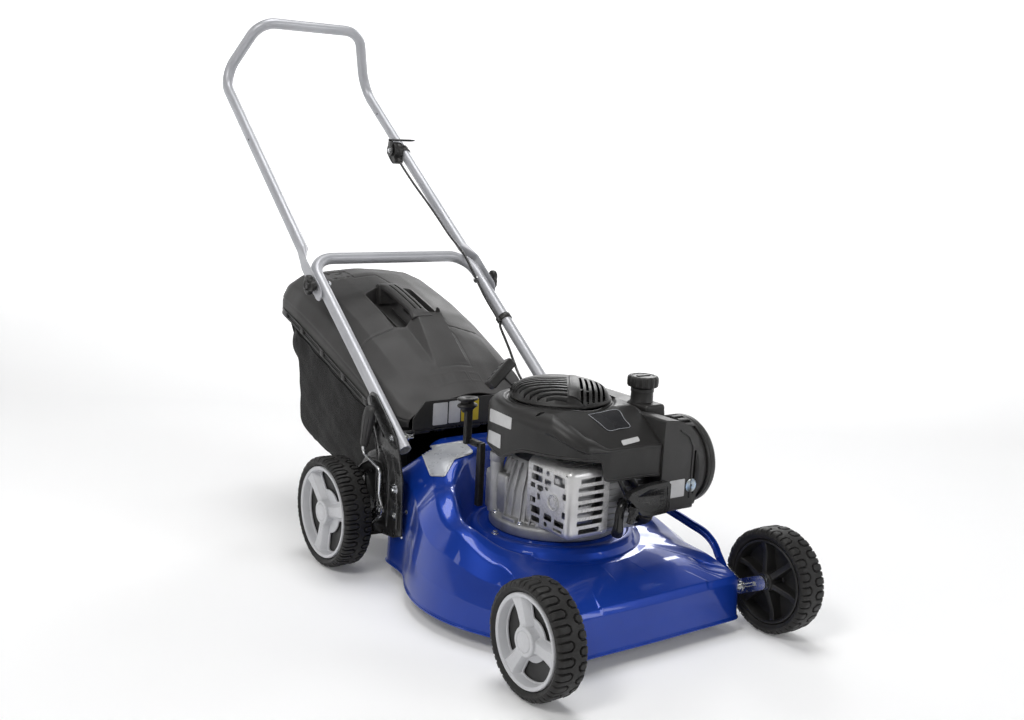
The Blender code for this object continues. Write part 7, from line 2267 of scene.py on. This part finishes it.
gd_ring = lathe("gr", [(0.0030, 0.3400), (0.0060, 0.3414), (0.0150, 0.3426), (0.0182, 0.3420), (0.0192, 0.3402), (0.0184, 0.3382), (0.0150, 0.3368), (0.0118, 0.3352), (0.0118, 0.3330),
                        (0.0150, 0.3314), (0.0176, 0.3300), (0.0184, 0.3280), (0.0174, 0.3258), (0.0140, 0.3238), (0.0104, 0.3200), (0.0088, 0.3160), (0.0030, 0.3160)], 72)
for v in gd_ring.data.vertices:
    v.co.x *= 1.07
    v.co.y *= 0.76
gd_ring.data.transform(Matrix.Translation((-0.0925, 0.0980, -0.0045)))
stem_ = block("gs", (-0.0985, 0.0905, 0.2550), (-0.0845, 0.0995, 0.3180), 0.0020, 3)
arm_ = block("ga", (-0.0900, 0.0600, 0.2540), (-0.0780, 0.1000, 0.2640), 0.0020, 3)
foot_ = block("gf", (-0.0900, 0.0560, 0.1500), (-0.0780, 0.0680, 0.2640), 0.0020, 3)
place(join([gd_ring, stem_, arm_, foot_], "rope_hook"), "chassis", "shroud", "black_plastic", "rope_guide", 40)


# ------------------------------------------- handle brackets and notched plate
AXLE_R = 0.0060
REAR_SHAFT, REAR_HUB = (0.2383, 0.0807), (0.2817, 0.1015)
FRONT_SHAFT, FRONT_HUB = (-0.2900, 0.0680), (-0.3334, 0.0888)
plate_line = [(0.124, 0.092), (0.126, 0.190), (0.140, 0.235), (0.154, 0.266), (0.168, 0.280), (0.225, 0.325),
              (0.243, 0.328), (0.259, 0.312), (0.236, 0.270), (0.212, 0.222), (0.213, 0.120), (0.256, 0.0945),
              (0.252, 0.066), (0.232, 0.062), (0.190, 0.078), (0.150, 0.082)]


def ridge(points, radius, side, x, height):
    """Pressed bead along a line on a plate that faces sideways."""
    line = smooth_line([(x - side * (radius - height), y, z) for y, z in points], 24)
    return sweep("bead", line, radius, 14, True)


for side, label in ((1, "left"), (-1, "right")):
    lo, hi = sorted((side * 0.1995, side * 0.2025))
    outline = flat(plate_line, [0.006, 0.010, 0.006, 0.006, 0.005, 0.005, 0.007, 0.007, 0.006, 0.010, 0.010, 0.006, 0.006, 0.006, 0.006, 0.006], 4)
    tools = [ring2(*REAR_SHAFT, AXLE_R + 0.0006, 28), ring2(0.1530, 0.2120, 0.0060, 20), ring2(0.1480, 0.1150, 0.0045, 18),
             flat([(0.1900, 0.2460), (0.2060, 0.2660), (0.2170, 0.2820), (0.1960, 0.2700)], 0.003, 3)]
    plate = prism("bracket", outline, "X", lo, hi, 0.0006, 2, holes=tools)
    face = side * 0.2025
    bits = [plate]
    for pts, r in (([(0.1420, 0.1000), (0.1440, 0.1500), (0.1500, 0.1920), (0.1640, 0.2300)], 0.0040),
                   ([(0.1760, 0.0960), (0.1740, 0.1500), (0.1760, 0.2050), (0.1950, 0.2350)], 0.0040),
                   ([(0.1960, 0.1060), (0.1960, 0.1500), (0.1960, 0.1800)], 0.0030)):
        bits.append(ridge(pts, r, side, face, 0.0013))
    # flange folded out along the handle's leg
    start, end = Vector((0, 0.1450, 0.2480)), Vector((0, 0.2380, 0.3240))
    run = (end - start).normalized()
    normal = Vector((0, -run.z, run.y))
    rows = []
    for i in range(9):
        p = start + (end - start) * (i / 8)
        w = 0.0145 * min(1.0, 0.55 + 0.45 * min(i, 8 - i) / 1.5)
        prof = [(0.0, -0.0030), (0.0006, -0.0008), (0.0022, 0.0), (w - 0.0008, 0.0), (w, -0.0010), (w - 0.0008, -0.0020), (0.0030, -0.0020), (0.0018, -0.0036)]
        rows.append([(side * (0.2000 + a), p.y + normal.y * (b - 0.0035), p.z + normal.z * (b - 0.0035)) for a, b in prof])
    bits.append(grid("flange", rows, closed_u=True, cap=True))
    # lip turned out along the rear edge
    lip = smooth_line([(side * 0.2050, 0.2350, 0.2720), (side * 0.2050, 0.2130, 0.2260), (side * 0.2050, 0.2125, 0.1700), (side * 0.2050, 0.2130, 0.1260)], 30)
    bits.append(sweep("lip", lip, 0.0018, 12, True))
    hub = lathe("hub", [(AXLE_R + 0.0005, 0.0), (0.0125, 0.0), (0.0128, 0.0006), (0.0128, 0.0016), (0.0118, 0.0022), (AXLE_R + 0.0012, 0.0022), (AXLE_R + 0.0005, 0.0016)], 36)
    bits.append(moved(hub, at((side * 0.2022, *REAR_SHAFT), (side, 0, 0))))
    place(join(bits, "bracket_" + label), "chassis", "black_steel", "black_steel", "handle_bracket_" + label, 35)
    heads = [bolt("b1", (face, 0.1495, 0.1713), (side, 0, 0), 0.0062, 0.0050, 1.5), bolt("b2", (face, 0.1480, 0.1240), (side, 0, 0), 0.0045, 0.0030, 1.3)]
    place(join(heads, "bracket_screws_" + label), "chassis", "zinc", "zinc", (), 35)

for side, label in ((1, "left"), (-1, "right")):
    lo, hi = sorted((side * 0.1985, side * 0.2000))
    web = prism("web_plate", flat([(0.1900, 0.1050), (0.1900, 0.2300), (0.2220, 0.2280), (0.2500, 0.2140), (0.2740, 0.1900), (0.2700, 0.1500), (0.2560, 0.1040), (0.2300, 0.0960)],
                                  [0.004, 0.006, 0.010, 0.010, 0.012, 0.012, 0.010, 0.008], 4), "X", lo, hi, 0.0005, 2)
    bead = smooth_line([(side * 0.2000, 0.2120, 0.2150), (side * 0.2000, 0.2400, 0.2060), (side * 0.2000, 0.2620, 0.1860), (side * 0.2000, 0.2590, 0.1480), (side * 0.2000, 0.2480, 0.1120)], 24)
    place(join([web, sweep("web_bead", bead, 0.0011, 10, True)], "bracket_web_" + label), "chassis", "black_steel", "black_steel", (), 35)

notch_line = [(0.180, 0.176), (0.196, 0.210), (0.228, 0.206), (0.262, 0.190), (0.284, 0.172), (0.278, 0.162), (0.268, 0.170), (0.262, 0.166), (0.254, 0.178),
              (0.247, 0.174), (0.240, 0.185), (0.232, 0.181), (0.226, 0.191), (0.217, 0.186), (0.212, 0.192), (0.202, 0.192), (0.196, 0.168)]
notch = prism("notches", flat(notch_line, 0.0018, 3), "X", -0.2055 + 0.0002, -0.2027, 0.0005, 2)
edge = sweep("notch_rim", smooth_line([(-0.2058, 0.196, 0.2095), (-0.2058, 0.228, 0.2055), (-0.2058, 0.262, 0.1895), (-0.2058, 0.2830, 0.1722)], 24), 0.0016, 12, True)
place(join([notch, edge], "notch_plate"), "chassis", "black_steel", "black_steel", "height_notch_plate", 35)

# ------------------------------------------------------------- height lever
HOOK = (0.176, 0.128)
lever_line = [(-0.2205, *HOOK), (-0.2108, *HOOK), (-0.2108, 0.191, 0.152), (-0.2118, 0.187, 0.198), (-0.2150, 0.247, 0.2165), (-0.2150, 0.2262, 0.2870)]
wire = sweep("wire", fillet([Vector(p) for p in lever_line], 0.0120, 10), 0.0031, 20)
hook_line = fillet([Vector(p) for p in [(-0.2108, 0.1790, 0.1335), (-0.2112, 0.1830, 0.1130), (-0.2120, 0.2150, 0.1010), (-0.2120, 0.2330, 0.1290)]], 0.0075, 8)
hook = sweep("hook", hook_line, 0.0029, 18)
coil_pts = []
for i in range(70):
    a = 2 * PI * i / 14
    coil_pts.append((-0.2195 + 0.0016 * i / 14 * 1.0, HOOK[0] + 0.0052 * math.cos(a), HOOK[1] + 0.0052 * math.sin(a)))
coil = sweep("coil", [Vector(p) for p in coil_pts], 0.0007, 8)
place(join([wire, hook, coil], "lever_wire"), "rear_axle", "zinc", "zinc", "height_lever", 50)
g1, g0_ = Vector(lever_line[-1]), Vector(lever_line[-2])
g0 = g1.lerp(g0_, 0.80)
up_ = (g1 - g0).normalized()
side_x = Vector((1, 0, 0))
side_x = (side_x - up_ * side_x.dot(up_)).normalized()
rows = []
tall = [(0.0030, -0.0004), (0.0070, -0.0004), (0.0086, 0.0006), (0.0092, 0.0030)]
body_prof = [(0.0092 + 0.0048 * smoothstep(0.0, 0.052, h) - 0.0012 * smoothstep(0.058, 0.072, h), h) for h in [0.0050 + 0.0020 * k for k in range(34)]]
tall += body_prof + [(0.0112, 0.0742), (0.0088, 0.0766), (0.0050, 0.0779), (0.0004, 0.0782)]
for r, h in tall:
    row = []
    for k in range(96):
        a = 2 * PI * k / 96
        rr = r / math.sqrt((math.cos(a) / 0.74) ** 2 + math.sin(a) ** 2)
        if 0.006 < h < 0.068:
            fade = sstep(0.006, 0.014, h) * sstep(0.068, 0.058, h)
            rr -= 0.0010 * fade * max(0.0, math.cos(9 * a)) ** 6
        if 0.0052 < h < 0.0100:
            rr += 0.0005
        row.append(tuple(g0 + up_ * h + side_x * (rr * math.cos(a)) + up_.cross(side_x) * (rr * math.sin(a))))
    rows.append(row)
grip_ = grid("lever_grip", rows, closed_u=True, cap=True)
place(grip_, "rear_axle", "grip", "black_plastic", "height_lever_grip", 40)

# -------------------------------------------------------- axles and link bar
LINK_ARM = 0.035
tail = (REAR_SHAFT[0] + LINK_ARM * math.cos(rad(250)), REAR_SHAFT[1] + LINK_ARM * math.sin(rad(250)))
ftail = (FRONT_SHAFT[0] + LINK_ARM * math.cos(rad(30)), FRONT_SHAFT[1] + LINK_ARM * math.sin(rad(30)))


def strap(a, b, ra, rb, x0, x1, waist=0.0, holes=()):
    """Plate with two round ends."""
    a, b = Vector(a), Vector(b)
    d = b - a
    turn = math.atan2(d.y, d.x)
    n = 14
    out = [(a.x + ra * math.cos(turn + PI / 2 + PI * i / n), a.y + ra * math.sin(turn + PI / 2 + PI * i / n)) for i in range(n + 1)]
    out += [(b.x + rb * math.cos(turn - PI / 2 + PI * i / n), b.y + rb * math.sin(turn - PI / 2 + PI * i / n)) for i in range(n + 1)]
    lo_, hi_ = sorted((x0, x1))
    return prism("strap", out, "X", lo_, hi_, 0.0006, 2, holes=holes)


def rod_x(x0, x1, yz, r, chamfer=0.0006, steps=28):
    lo_, hi_ = sorted((x0, x1))
    return lathe("rod", [(0.0, lo_), (r - chamfer, lo_), (r, lo_ + chamfer), (r, hi_ - chamfer), (r - chamfer, hi_), (0.0, hi_)], steps, "X", (0, *yz))


def clip_ring(x, yz, r, side):
    ring = lathe("ring", [(r + 0.0002, 0.0), (r + 0.0040, 0.0), (r + 0.0042, 0.0004), (r + 0.0042, 0.0010), (r + 0.0038, 0.0014), (r + 0.0002, 0.0014)], 28)
    return moved(ring, at((x, *yz), (side, 0, 0)))


for name, shaft, hub_, arm_x, stub in (("rear_axle", REAR_SHAFT, REAR_HUB, 0.2190, 0.2700), ("front_axle", FRONT_SHAFT, FRONT_HUB, 0.2155, 0.2640)):
    bits = [rod_x(-arm_x, arm_x, shaft, AXLE_R)]
    for side in (-1, 1):
        bits.append(strap(shaft, hub_, 0.0125, 0.0120, side * (arm_x - 0.0040), side * (arm_x + 0.0004)))
        mid = (Vector(shaft) + Vector(hub_)) / 2
        run = (Vector(hub_) - Vector(shaft)).normalized() * 0.013
        bits.append(sweep("web", [Vector((side * (arm_x - 0.0038), *(mid - run))), Vector((side * (arm_x - 0.0038), *(mid + run)))], 0.0034, 14))
        bits.append(rod_x(side * (arm_x - 0.0030), side * stub, hub_, AXLE_R))
        bits.append(clip_ring(side * (arm_x - 0.0066), shaft, AXLE_R, side))
        bits.append(clip_ring(side * (arm_x + 0.0004), hub_, AXLE_R, side))
        boss_ = moved(lathe("weld", [(AXLE_R, 0.0), (AXLE_R + 0.0030, 0.0), (AXLE_R + 0.0016, 0.0012), (AXLE_R, 0.0030)], 28), at((side * (arm_x - 0.0040), *shaft), (-side, 0, 0)))
        bits.append(boss_)
    if name == "rear_axle":
        bits.append(strap(shaft, tail, 0.0110, 0.0080, 0.2148, 0.2192))
        bits.append(rod_x(0.2085, 0.2170, tail, 0.0030))
        bits.append(strap(shaft, HOOK, 0.0110, 0.0090, -0.2192, -0.2148, holes=[ring2(*HOOK, 0.0034, 16)]))
    else:
        bits.append(strap(shaft, ftail, 0.0110, 0.0080, 0.2113, 0.2157))
        bits.append(rod_x(0.2050, 0.2135, ftail, 0.0030))
    place(join(bits, name + "_crank"), name, "zinc", "zinc", name, 35)

link_line = [ftail, (-0.2400, 0.1090), (-0.2330, 0.1190), (-0.2220, 0.1280), (-0.2020, 0.1370), (-0.1650, 0.1430),
             (-0.1270, 0.1490), (-0.0500, 0.1590), (0.0300, 0.1660), (0.0800, 0.1640), (0.1100, 0.1530),
             (0.1350, 0.1320), (0.1900, 0.0800), tail]
mid_line = [Vector(p)[:] for p in smooth_line([(0, a, b) for a, b in link_line], 110)]
mid_line = [(p[1], p[2]) for p in mid_line]


def ribbon(line, half, grow=0.0):
    left_, right_ = [], []
    pts = [Vector(p) for p in line]
    for i, p in enumerate(pts):
        d = (pts[min(i + 1, len(pts) - 1)] - pts[max(i - 1, 0)]).normalized()
        n = Vector((-d.y, d.x))
        left_.append(tuple(p + n * half))
        right_.append(tuple(p - n * half))

    def arc(c, d, sgn):
        base = math.atan2(d.y, d.x)
        return [(c.x + half * math.cos(base + PI / 2 - PI * k / 10), c.y + half * math.sin(base + PI / 2 - PI * k / 10)) for k in range(1, 10)]
    return left_ + arc(pts[-1], (pts[-1] - pts[-2]), 1) + right_[::-1] + arc(pts[0], (pts[0] - pts[1]), 1)


bar_ = prism("link", ribbon(mid_line, 0.0075), "X", 0.2055, 0.2090, 0.0009, 3, holes=[ring2(*ftail, 0.0032, 20), ring2(*tail, 0.0032, 20)])
core_line = mid_line[5:-5]
bead_l = sweep("link_bead", [Vector((0.2052, *p)) for p in core_line], 0.0026, 12)
bead_r = sweep("link_bead", [Vector((0.2092, *p)) for p in core_line], 0.0026, 12)
place(join([bar_, bead_l, bead_r], "link_bar"), "height_link_bar", "deck", "deck_blue", "height_link_bar", 35)
for k, p in enumerate((ftail, tail)):
    ring = [clip_ring(0.2047, p, 0.0030, -1), moved(lathe("wash", [(0.0031, 0.0), (0.0068, 0.0), (0.0070, 0.0004), (0.0070, 0.0010), (0.0031, 0.0012)], 28), at((0.2092, *p), (1, 0, 0)))]
    place(join(ring, "link_washers_%d" % k), "height_link_bar", "zinc", "zinc", (), 35)

# ------------------------------------------------------------------ flap rod
ROD_Y, ROD_Z = 0.2190, 0.2520
rod_bits = [rod_x(-0.1985, 0.1985, (ROD_Y, ROD_Z), 0.0030)]
spring = []
for side in (-1, 1):
    pts = []
    for i in range(14 * 9):
        a = 2 * PI * i / 14
        pts.append(Vector((side * (0.060 + 0.0024 * i / 14), ROD_Y + 0.0048 * math.cos(a), ROD_Z + 0.0048 * math.sin(a))))
    spring.append(sweep("spring", pts, 0.0008, 8))
    head_ = moved(lathe("rod_head", [(0.0, 0.0), (0.0050, 0.0), (0.0054, 0.0005), (0.0054, 0.0016), (0.0046, 0.0022), (0.0, 0.0024)], 24), at((side * 0.1963, ROD_Y, ROD_Z), (side, 0, 0)))
    rod_bits.append(head_)
place(join(rod_bits + spring, "flap_rod_steel"), "chassis", "black_steel", "zinc", "flap_rod", 45)

# ------------------------------------------------- cable that bends


def spline_points(knots, count):
    """Points at even steps of a smooth curve through the knots."""
    k = [Vector(p) for p in knots]
    k = [2 * k[0] - k[1]] + k + [2 * k[-1] - k[-2]]
    dense = []
    for i in range(1, len(k) - 2):
        p0, p1, p2, p3 = k[i - 1:i + 3]
        for j in range(24):
            t = j / 24
            dense.append(0.5 * ((2 * p1) + (p2 - p0) * t + (2 * p0 - 5 * p1 + 4 * p2 - p3) * t * t
                                + (3 * p1 - p0 - 3 * p2 + p3) * t ** 3))
    dense.append(k[-2])
    length = [0.0]
    for a, b in zip(dense, dense[1:]):
        length.append(length[-1] + (b - a).length)
    out, j = [], 0
    for i in range(count):
        want = length[-1] * i / (count - 1)
        while j < len(dense) - 2 and length[j + 1] < want:
            j += 1
        span = length[j + 1] - length[j] or 1
        out.append(dense[j].lerp(dense[j + 1], (want - length[j]) / span))
    return out


exit_cable = THROTTLE - slope * (0.0275 + 0.0008) - flat_up * 0.006
cable_knots = [exit_cable, exit_cable - slope * 0.022 - flat_up * 0.001, (0.1600, 0.7222, 0.6717), (0.1620, 0.6774, 0.6419),
               (0.1632, 0.6284, 0.6094), (0.1648, 0.5745, 0.5713), (0.1655, 0.5190, 0.5392), (0.1648, 0.4830, 0.5080),
               (0.1672, 0.4350, 0.4590), (CLIP.x - 0.0168, CLIP.y - 0.002, CLIP.z - 0.003), (0.1680, 0.3740, 0.4026), (0.1662, 0.3402, 0.3680),
               (0.1625, 0.3156, 0.3445), (0.1550, 0.2800, 0.3185), (0.1400, 0.2080, 0.2900), (0.1230, 0.1400, 0.2660),
               (0.1080, 0.0960, 0.2540), (0.0990, 0.0740, 0.2500)]
route = spline_points(cable_knots, 200)
CABLE_LENGTH = sum((b - a).length for a, b in zip(route, route[1:]))
jacket = sweep("throttle_cable_jacket", route, 0.0026, 16)
blended(jacket, "chassis", "upper_handle", (0.1672, 0.4350, 0.4590), (0.1648, 0.5745, 0.5713), "gloss_black", "black_plastic", "throttle_cable")
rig.cord(jacket, exit=SHIFT @ route[0], length=CABLE_LENGTH, diameter=0.0052, far_end="object", stiffness="stiff", lay="taut",
        path=[tuple(SHIFT @ p) for p in route])

# ------------------------------------------ under the cover and under the deck
E0_ = Matrix.Translation((0, ENGINE_Y, 0))
rows = []
for k in range(240):
    a = 2 * PI * k / 240
    rows.append([(r * math.cos(a + tw), ENGINE_Y + r * math.sin(a + tw), z) for r, z, tw in
                 ((0.0135, 0.3560, 0), (0.0338, 0.3560, 0), (0.0340, 0.3556, 0), (0.0340, 0.3542, 0), (0.0302, 0.3526, 0), (0.0300, 0.3520, 0), (0.0300, 0.3500, 0), (0.0302, 0.3494, 0), (0.0340, 0.3478, 0), (0.0340, 0.3464, 0), (0.0338, 0.3460, 0), (0.0092, 0.3460, 0), (0.0092, 0.3560, 0))])
reel = grid("rope_reel", [[p for p in row] for row in rows], closed_u=True, closed_v=True)
turns = []
for k in range(2):
    loop_ = [Vector((0.0314 * math.cos(2 * PI * i / 60), 0.0314 * math.sin(2 * PI * i / 60), 0.3499 + 0.0022 * k)) for i in range(61)]
    turns.append(moved(sweep("wound", loop_, 0.0011, 10, False), E0_))
place(join([reel, *turns], "rope_reel"), "starter_pulley", "shroud", "black_plastic", "starter_pulley", 40)

fw = lathe("fw", [(0.0131, 0.3120), (0.0260, 0.3120), (0.0280, 0.3135), (0.0600, 0.3135), (0.0640, 0.3300), (0.0655, 0.3310), (0.0770, 0.3310), (0.0780, 0.3300), (0.0780, 0.2980), (0.0770, 0.2965),
                  (0.0700, 0.2915), (0.0131, 0.2910)], 96)
vanes = []
for k in range(20):
    v = prism("vane", [(0.0640, -0.0012), (0.0770, 0.0008), (0.0770, 0.0028), (0.0640, 0.0010)], "Z", 0.3300, 0.3345, 0.0004, 1)
    v.data.transform(Matrix.Rotation(2 * PI * k / 20, 4, "Z"))
    vanes.append(v)
place(moved(join([fw, *vanes], "flywheel_fan"), E0_), "crankshaft", "cast", "cast_aluminium", "flywheel", 35)
sh = lathe("sh", [(0.0, 0.3440), (0.0072, 0.3440), (0.0080, 0.3432), (0.0080, 0.3220), (0.0127, 0.3140), (0.0127, 0.0730), (0.0117, 0.0720), (0.0, 0.0720)], 48)
place(moved(join([sh], "crank_steel"), E0_), "crankshaft", "steel", "steel", "crankshaft", 35)

disc_prof = [(0.0130, 0.1000), (0.0212, 0.1000), (0.0222, 0.0990), (0.0242, 0.0800), (0.0300, 0.0762), (0.0700, 0.0740), (0.0760, 0.0748), (0.0830, 0.0748), (0.0890, 0.0736), (0.1300, 0.0722), (0.1610, 0.0722), (0.1620, 0.0714),
             (0.1620, 0.0696), (0.1612, 0.0689), (0.1300, 0.0689), (0.0890, 0.0704), (0.0830, 0.0714), (0.0760, 0.0714), (0.0700, 0.0708), (0.0320, 0.0710), (0.0290, 0.0725), (0.0130, 0.0742)]
plate_d = lathe("disc", disc_prof, 128, closed=True)
tools = []
for k in range(2):
    tools.append(prism("dh", ring2(0.150 * (1 - 2 * k), 0, 0.0053, 24), "Z", 0.06, 0.09))
    tools.append(prism("dv", rrect(-0.010, 0.040 - 0.092 * k, 0.010, 0.052 - 0.092 * k, 0.004), "Z", 0.06, 0.09))
cut(plate_d, tools)
place(moved(plate_d, E0_), "crankshaft", "black_steel", "black_steel", "blade_disc", 35)
centre_bolt = moved(bolt("cb", (0, 0, 0.0722), (0, 0, -1), 0.0095, 0.0075, 1.7), E0_)
place(centre_bolt, "crankshaft", "zinc", "zinc", (), 35)
CUT_TIP = 0.2285
for k, label in enumerate("ab"):
    s_ = 1 - 2 * k
    x = 0.150 * s_
    shape = [(0.150 + 0.0140 * math.cos(rad(t)), 0.0140 * math.sin(rad(t))) for t in range(110, 251, 10)]
    shape += [(0.156, -0.0180), (CUT_TIP - 0.004, -0.0180), (CUT_TIP, -0.012), (CUT_TIP - 0.0005, 0.0140), (0.156, 0.0180)]
    shape = [(s_ * a, ENGINE_Y + s_ * b) for a, b in shape]
    blade = prism("blade", shape, "Z", 0.0650, 0.0678, 0.0005, 1, holes=[ring2(x, ENGINE_Y, 0.0053, 24)])
    # ground edge
    for v in blade.data.vertices:
        b_ = s_ * (v.co.y - ENGINE_Y)
        a_ = s_ * v.co.x
        if a_ > 0.157 and b_ < -0.0150:
            v.co.z = 0.0650 + (v.co.z - 0.0650) * 0.35
    place(blade, "swing_blade_" + label, "steel", "steel", "swing_blade_" + label, 30)
    bb = lathe("bb", [(0.0, 0.0785), (0.0052, 0.0785), (0.0056, 0.0780), (0.0056, 0.0760), (0.0085, 0.0760), (0.0088, 0.0750), (0.0088, 0.0732), (0.0085, 0.0724), (0.0050, 0.0724), (0.0050, 0.0646), (0.0085, 0.0646), (0.0096, 0.0640), (0.0096, 0.0622), (0.0070, 0.0602), (0.0, 0.0600)], 36)
    bb.data.transform(Matrix.Translation((x, ENGINE_Y, 0)))
    place(bb, "crankshaft", "zinc", "zinc", "blade_bolt_" + label, 35)


# ------------------------------------- frame nodes that stay: better materials
LOOK = {"deck_blue": "deck", "handle_silver": "handle", "black_plastic": "shroud", "catcher_grey": "lid", "bag_fabric": "fabric",
        "tyre_rubber": "rubber", "hub_grey": "hub", "zinc": "zinc", "cast_aluminium": "cast", "steel": "steel",
        "black_steel": "black_steel", "filter_paper": "paper"}
for obj in bpy.data.objects:
    if obj.type != "MESH":
        continue
    for slot_ in obj.material_slots:
        if slot_.material is None or slot_.material.name in {m.name for m in M.values()}:
            continue
        base = slot_.material.name.split(".")[0]
        for key, look in LOOK.items():
            if base == key or base.endswith(key):
                slot_.material = M[look]
                break


# ------------------------------------------------- camera, floor and lights
def camera():
    yaw, pitch, roll, focal = -0.6324, 0.1863, 0.053, 1207.9
    forward = Vector((-math.sin(yaw) * math.cos(pitch), math.cos(yaw) * math.cos(pitch), -math.sin(pitch)))
    right = Vector((math.cos(yaw), math.sin(yaw), 0))
    up = right.cross(forward)
    r2 = right * math.cos(roll) + up * math.sin(roll)
    u2 = -right * math.sin(roll) + up * math.cos(roll)
    data = bpy.data.cameras.new("camera")
    data.sensor_width = 36.0
    data.lens = focal / 1024 * 36.0
    data.clip_start, data.clip_end = 0.05, 60
    obj = bpy.data.objects.new("camera", data)
    bpy.context.scene.collection.objects.link(obj)
    rot = Matrix((r2, u2, -forward)).transposed().to_4x4()
    obj.matrix_world = Matrix.Translation((-1.2506, -1.6069 - YC, 0.7964)) @ rot
    bpy.context.scene.camera = obj


camera()
bpy.context.scene.view_settings.view_transform = "Standard"


def floor_material():
    g = Graph("floor")
    tone = g.mix(g.ramp(g.noise(0.8, 3), 0.3, 0.7), (0.92, 0.92, 0.925), (0.95, 0.95, 0.95))
    g.set(Base_Color=tone, Roughness=g.ramp(g.noise(3, 4), 0.3, 0.7, 0.55, 0.65), Normal=g.bump(g.noise(220, 3), 0.0001, 0.3))
    g.shader.inputs["Specular IOR Level"].default_value = 0.0
    reach = g.node("ShaderNodeVectorMath", operation="DOT_PRODUCT")
    g.link(g.coord, reach.inputs[0])
    reach.inputs[1].default_value = (0.59, 0.81, 0.0)
    g.set(Emission_Strength=g.ramp(reach.outputs["Value"], 1.1, 4.5, 0.06, 0.80))
    g.shader.inputs["Emission Color"].default_value = (1.0, 1.0, 1.0, 1)
    return g.mat


# floor that curves up far behind into a backdrop
rows = []
for i in range(41):
    a = 2 * PI * i / 40
    row = []
    for r, z in ((0.0, 0.0), (2.0, 0.0), (5.0, 0.0), (9.0, 0.0), (11.5, 0.5), (13.0, 2.2), (13.6, 5.0), (13.8, 9.0)):
        row.append((r * math.cos(a), r * math.sin(a), z - 0.0004))
    rows.append(row)
bm = bmesh.new()
grid_rows = [[bm.verts.new(p) for p in row] for row in rows[:-1]]
for i in range(40):
    a, b = grid_rows[i], grid_rows[(i + 1) % 40]
    for j in range(7):
        bm.faces.new((a[j], b[j], b[j + 1], a[j + 1]))
bmesh.ops.remove_doubles(bm, verts=bm.verts, dist=0.0001)
bmesh.ops.recalc_face_normals(bm, faces=bm.faces)
floor = from_bm("studio_floor", bm)
for f in floor.data.polygons:
    if f.center.length < 1.5 and f.normal.z < 0:
        floor.data.flip_normals()
        break
floor.data.shade_smooth()
floor.data.materials.append(floor_material())
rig.stage(floor)

world = bpy.data.worlds.new("studio")
world.use_nodes = True
bpy.context.scene.world = world
back = world.node_tree.nodes["Background"]
back.inputs["Color"].default_value = (0.95, 0.97, 1.0, 1)
back.inputs["Strength"].default_value = 0.10


def area(name, where, target, size, power, colour=(1, 1, 1), size_y=None):
    data = bpy.data.lights.new(name, "AREA")
    data.shape = "RECTANGLE"
    data.size = size
    data.size_y = size_y or size
    data.energy = power
    data.color = colour
    obj = bpy.data.objects.new(name, data)
    bpy.context.scene.collection.objects.link(obj)
    obj.location = where
    obj.rotation_euler = (Vector(target) - Vector(where)).to_track_quat("-Z", "Y").to_euler()
    return obj


area("key", (-2.6, -1.2, 3.2), (0, -0.2, 0.3), 1.1, 48, (1.0, 0.99, 0.97))
area("top", (0.3, 0.2, 3.6), (0, 0, 0.2), 1.8, 60)
area("fill", (1.6, -3.4, 1.8), (0, -0.3, 0.3), 1.2, 22, (0.97, 0.98, 1.0))
area("rim", (2.8, 2.4, 2.2), (0, 0.1, 0.5), 1.0, 28)
area("strip", (-3.0, 0.6, 1.9), (0, -0.2, 0.25), 0.35, 6, (1.0, 1.0, 1.0), 1.8)

# ------------------------------------------------------------------- sizes
low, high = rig.bounds()
with open("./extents.json", "w") as out:
    json.dump({"cad": CAD_BOX, "visual": [[float(c) for c in low], [float(c) for c in high]]}, out)
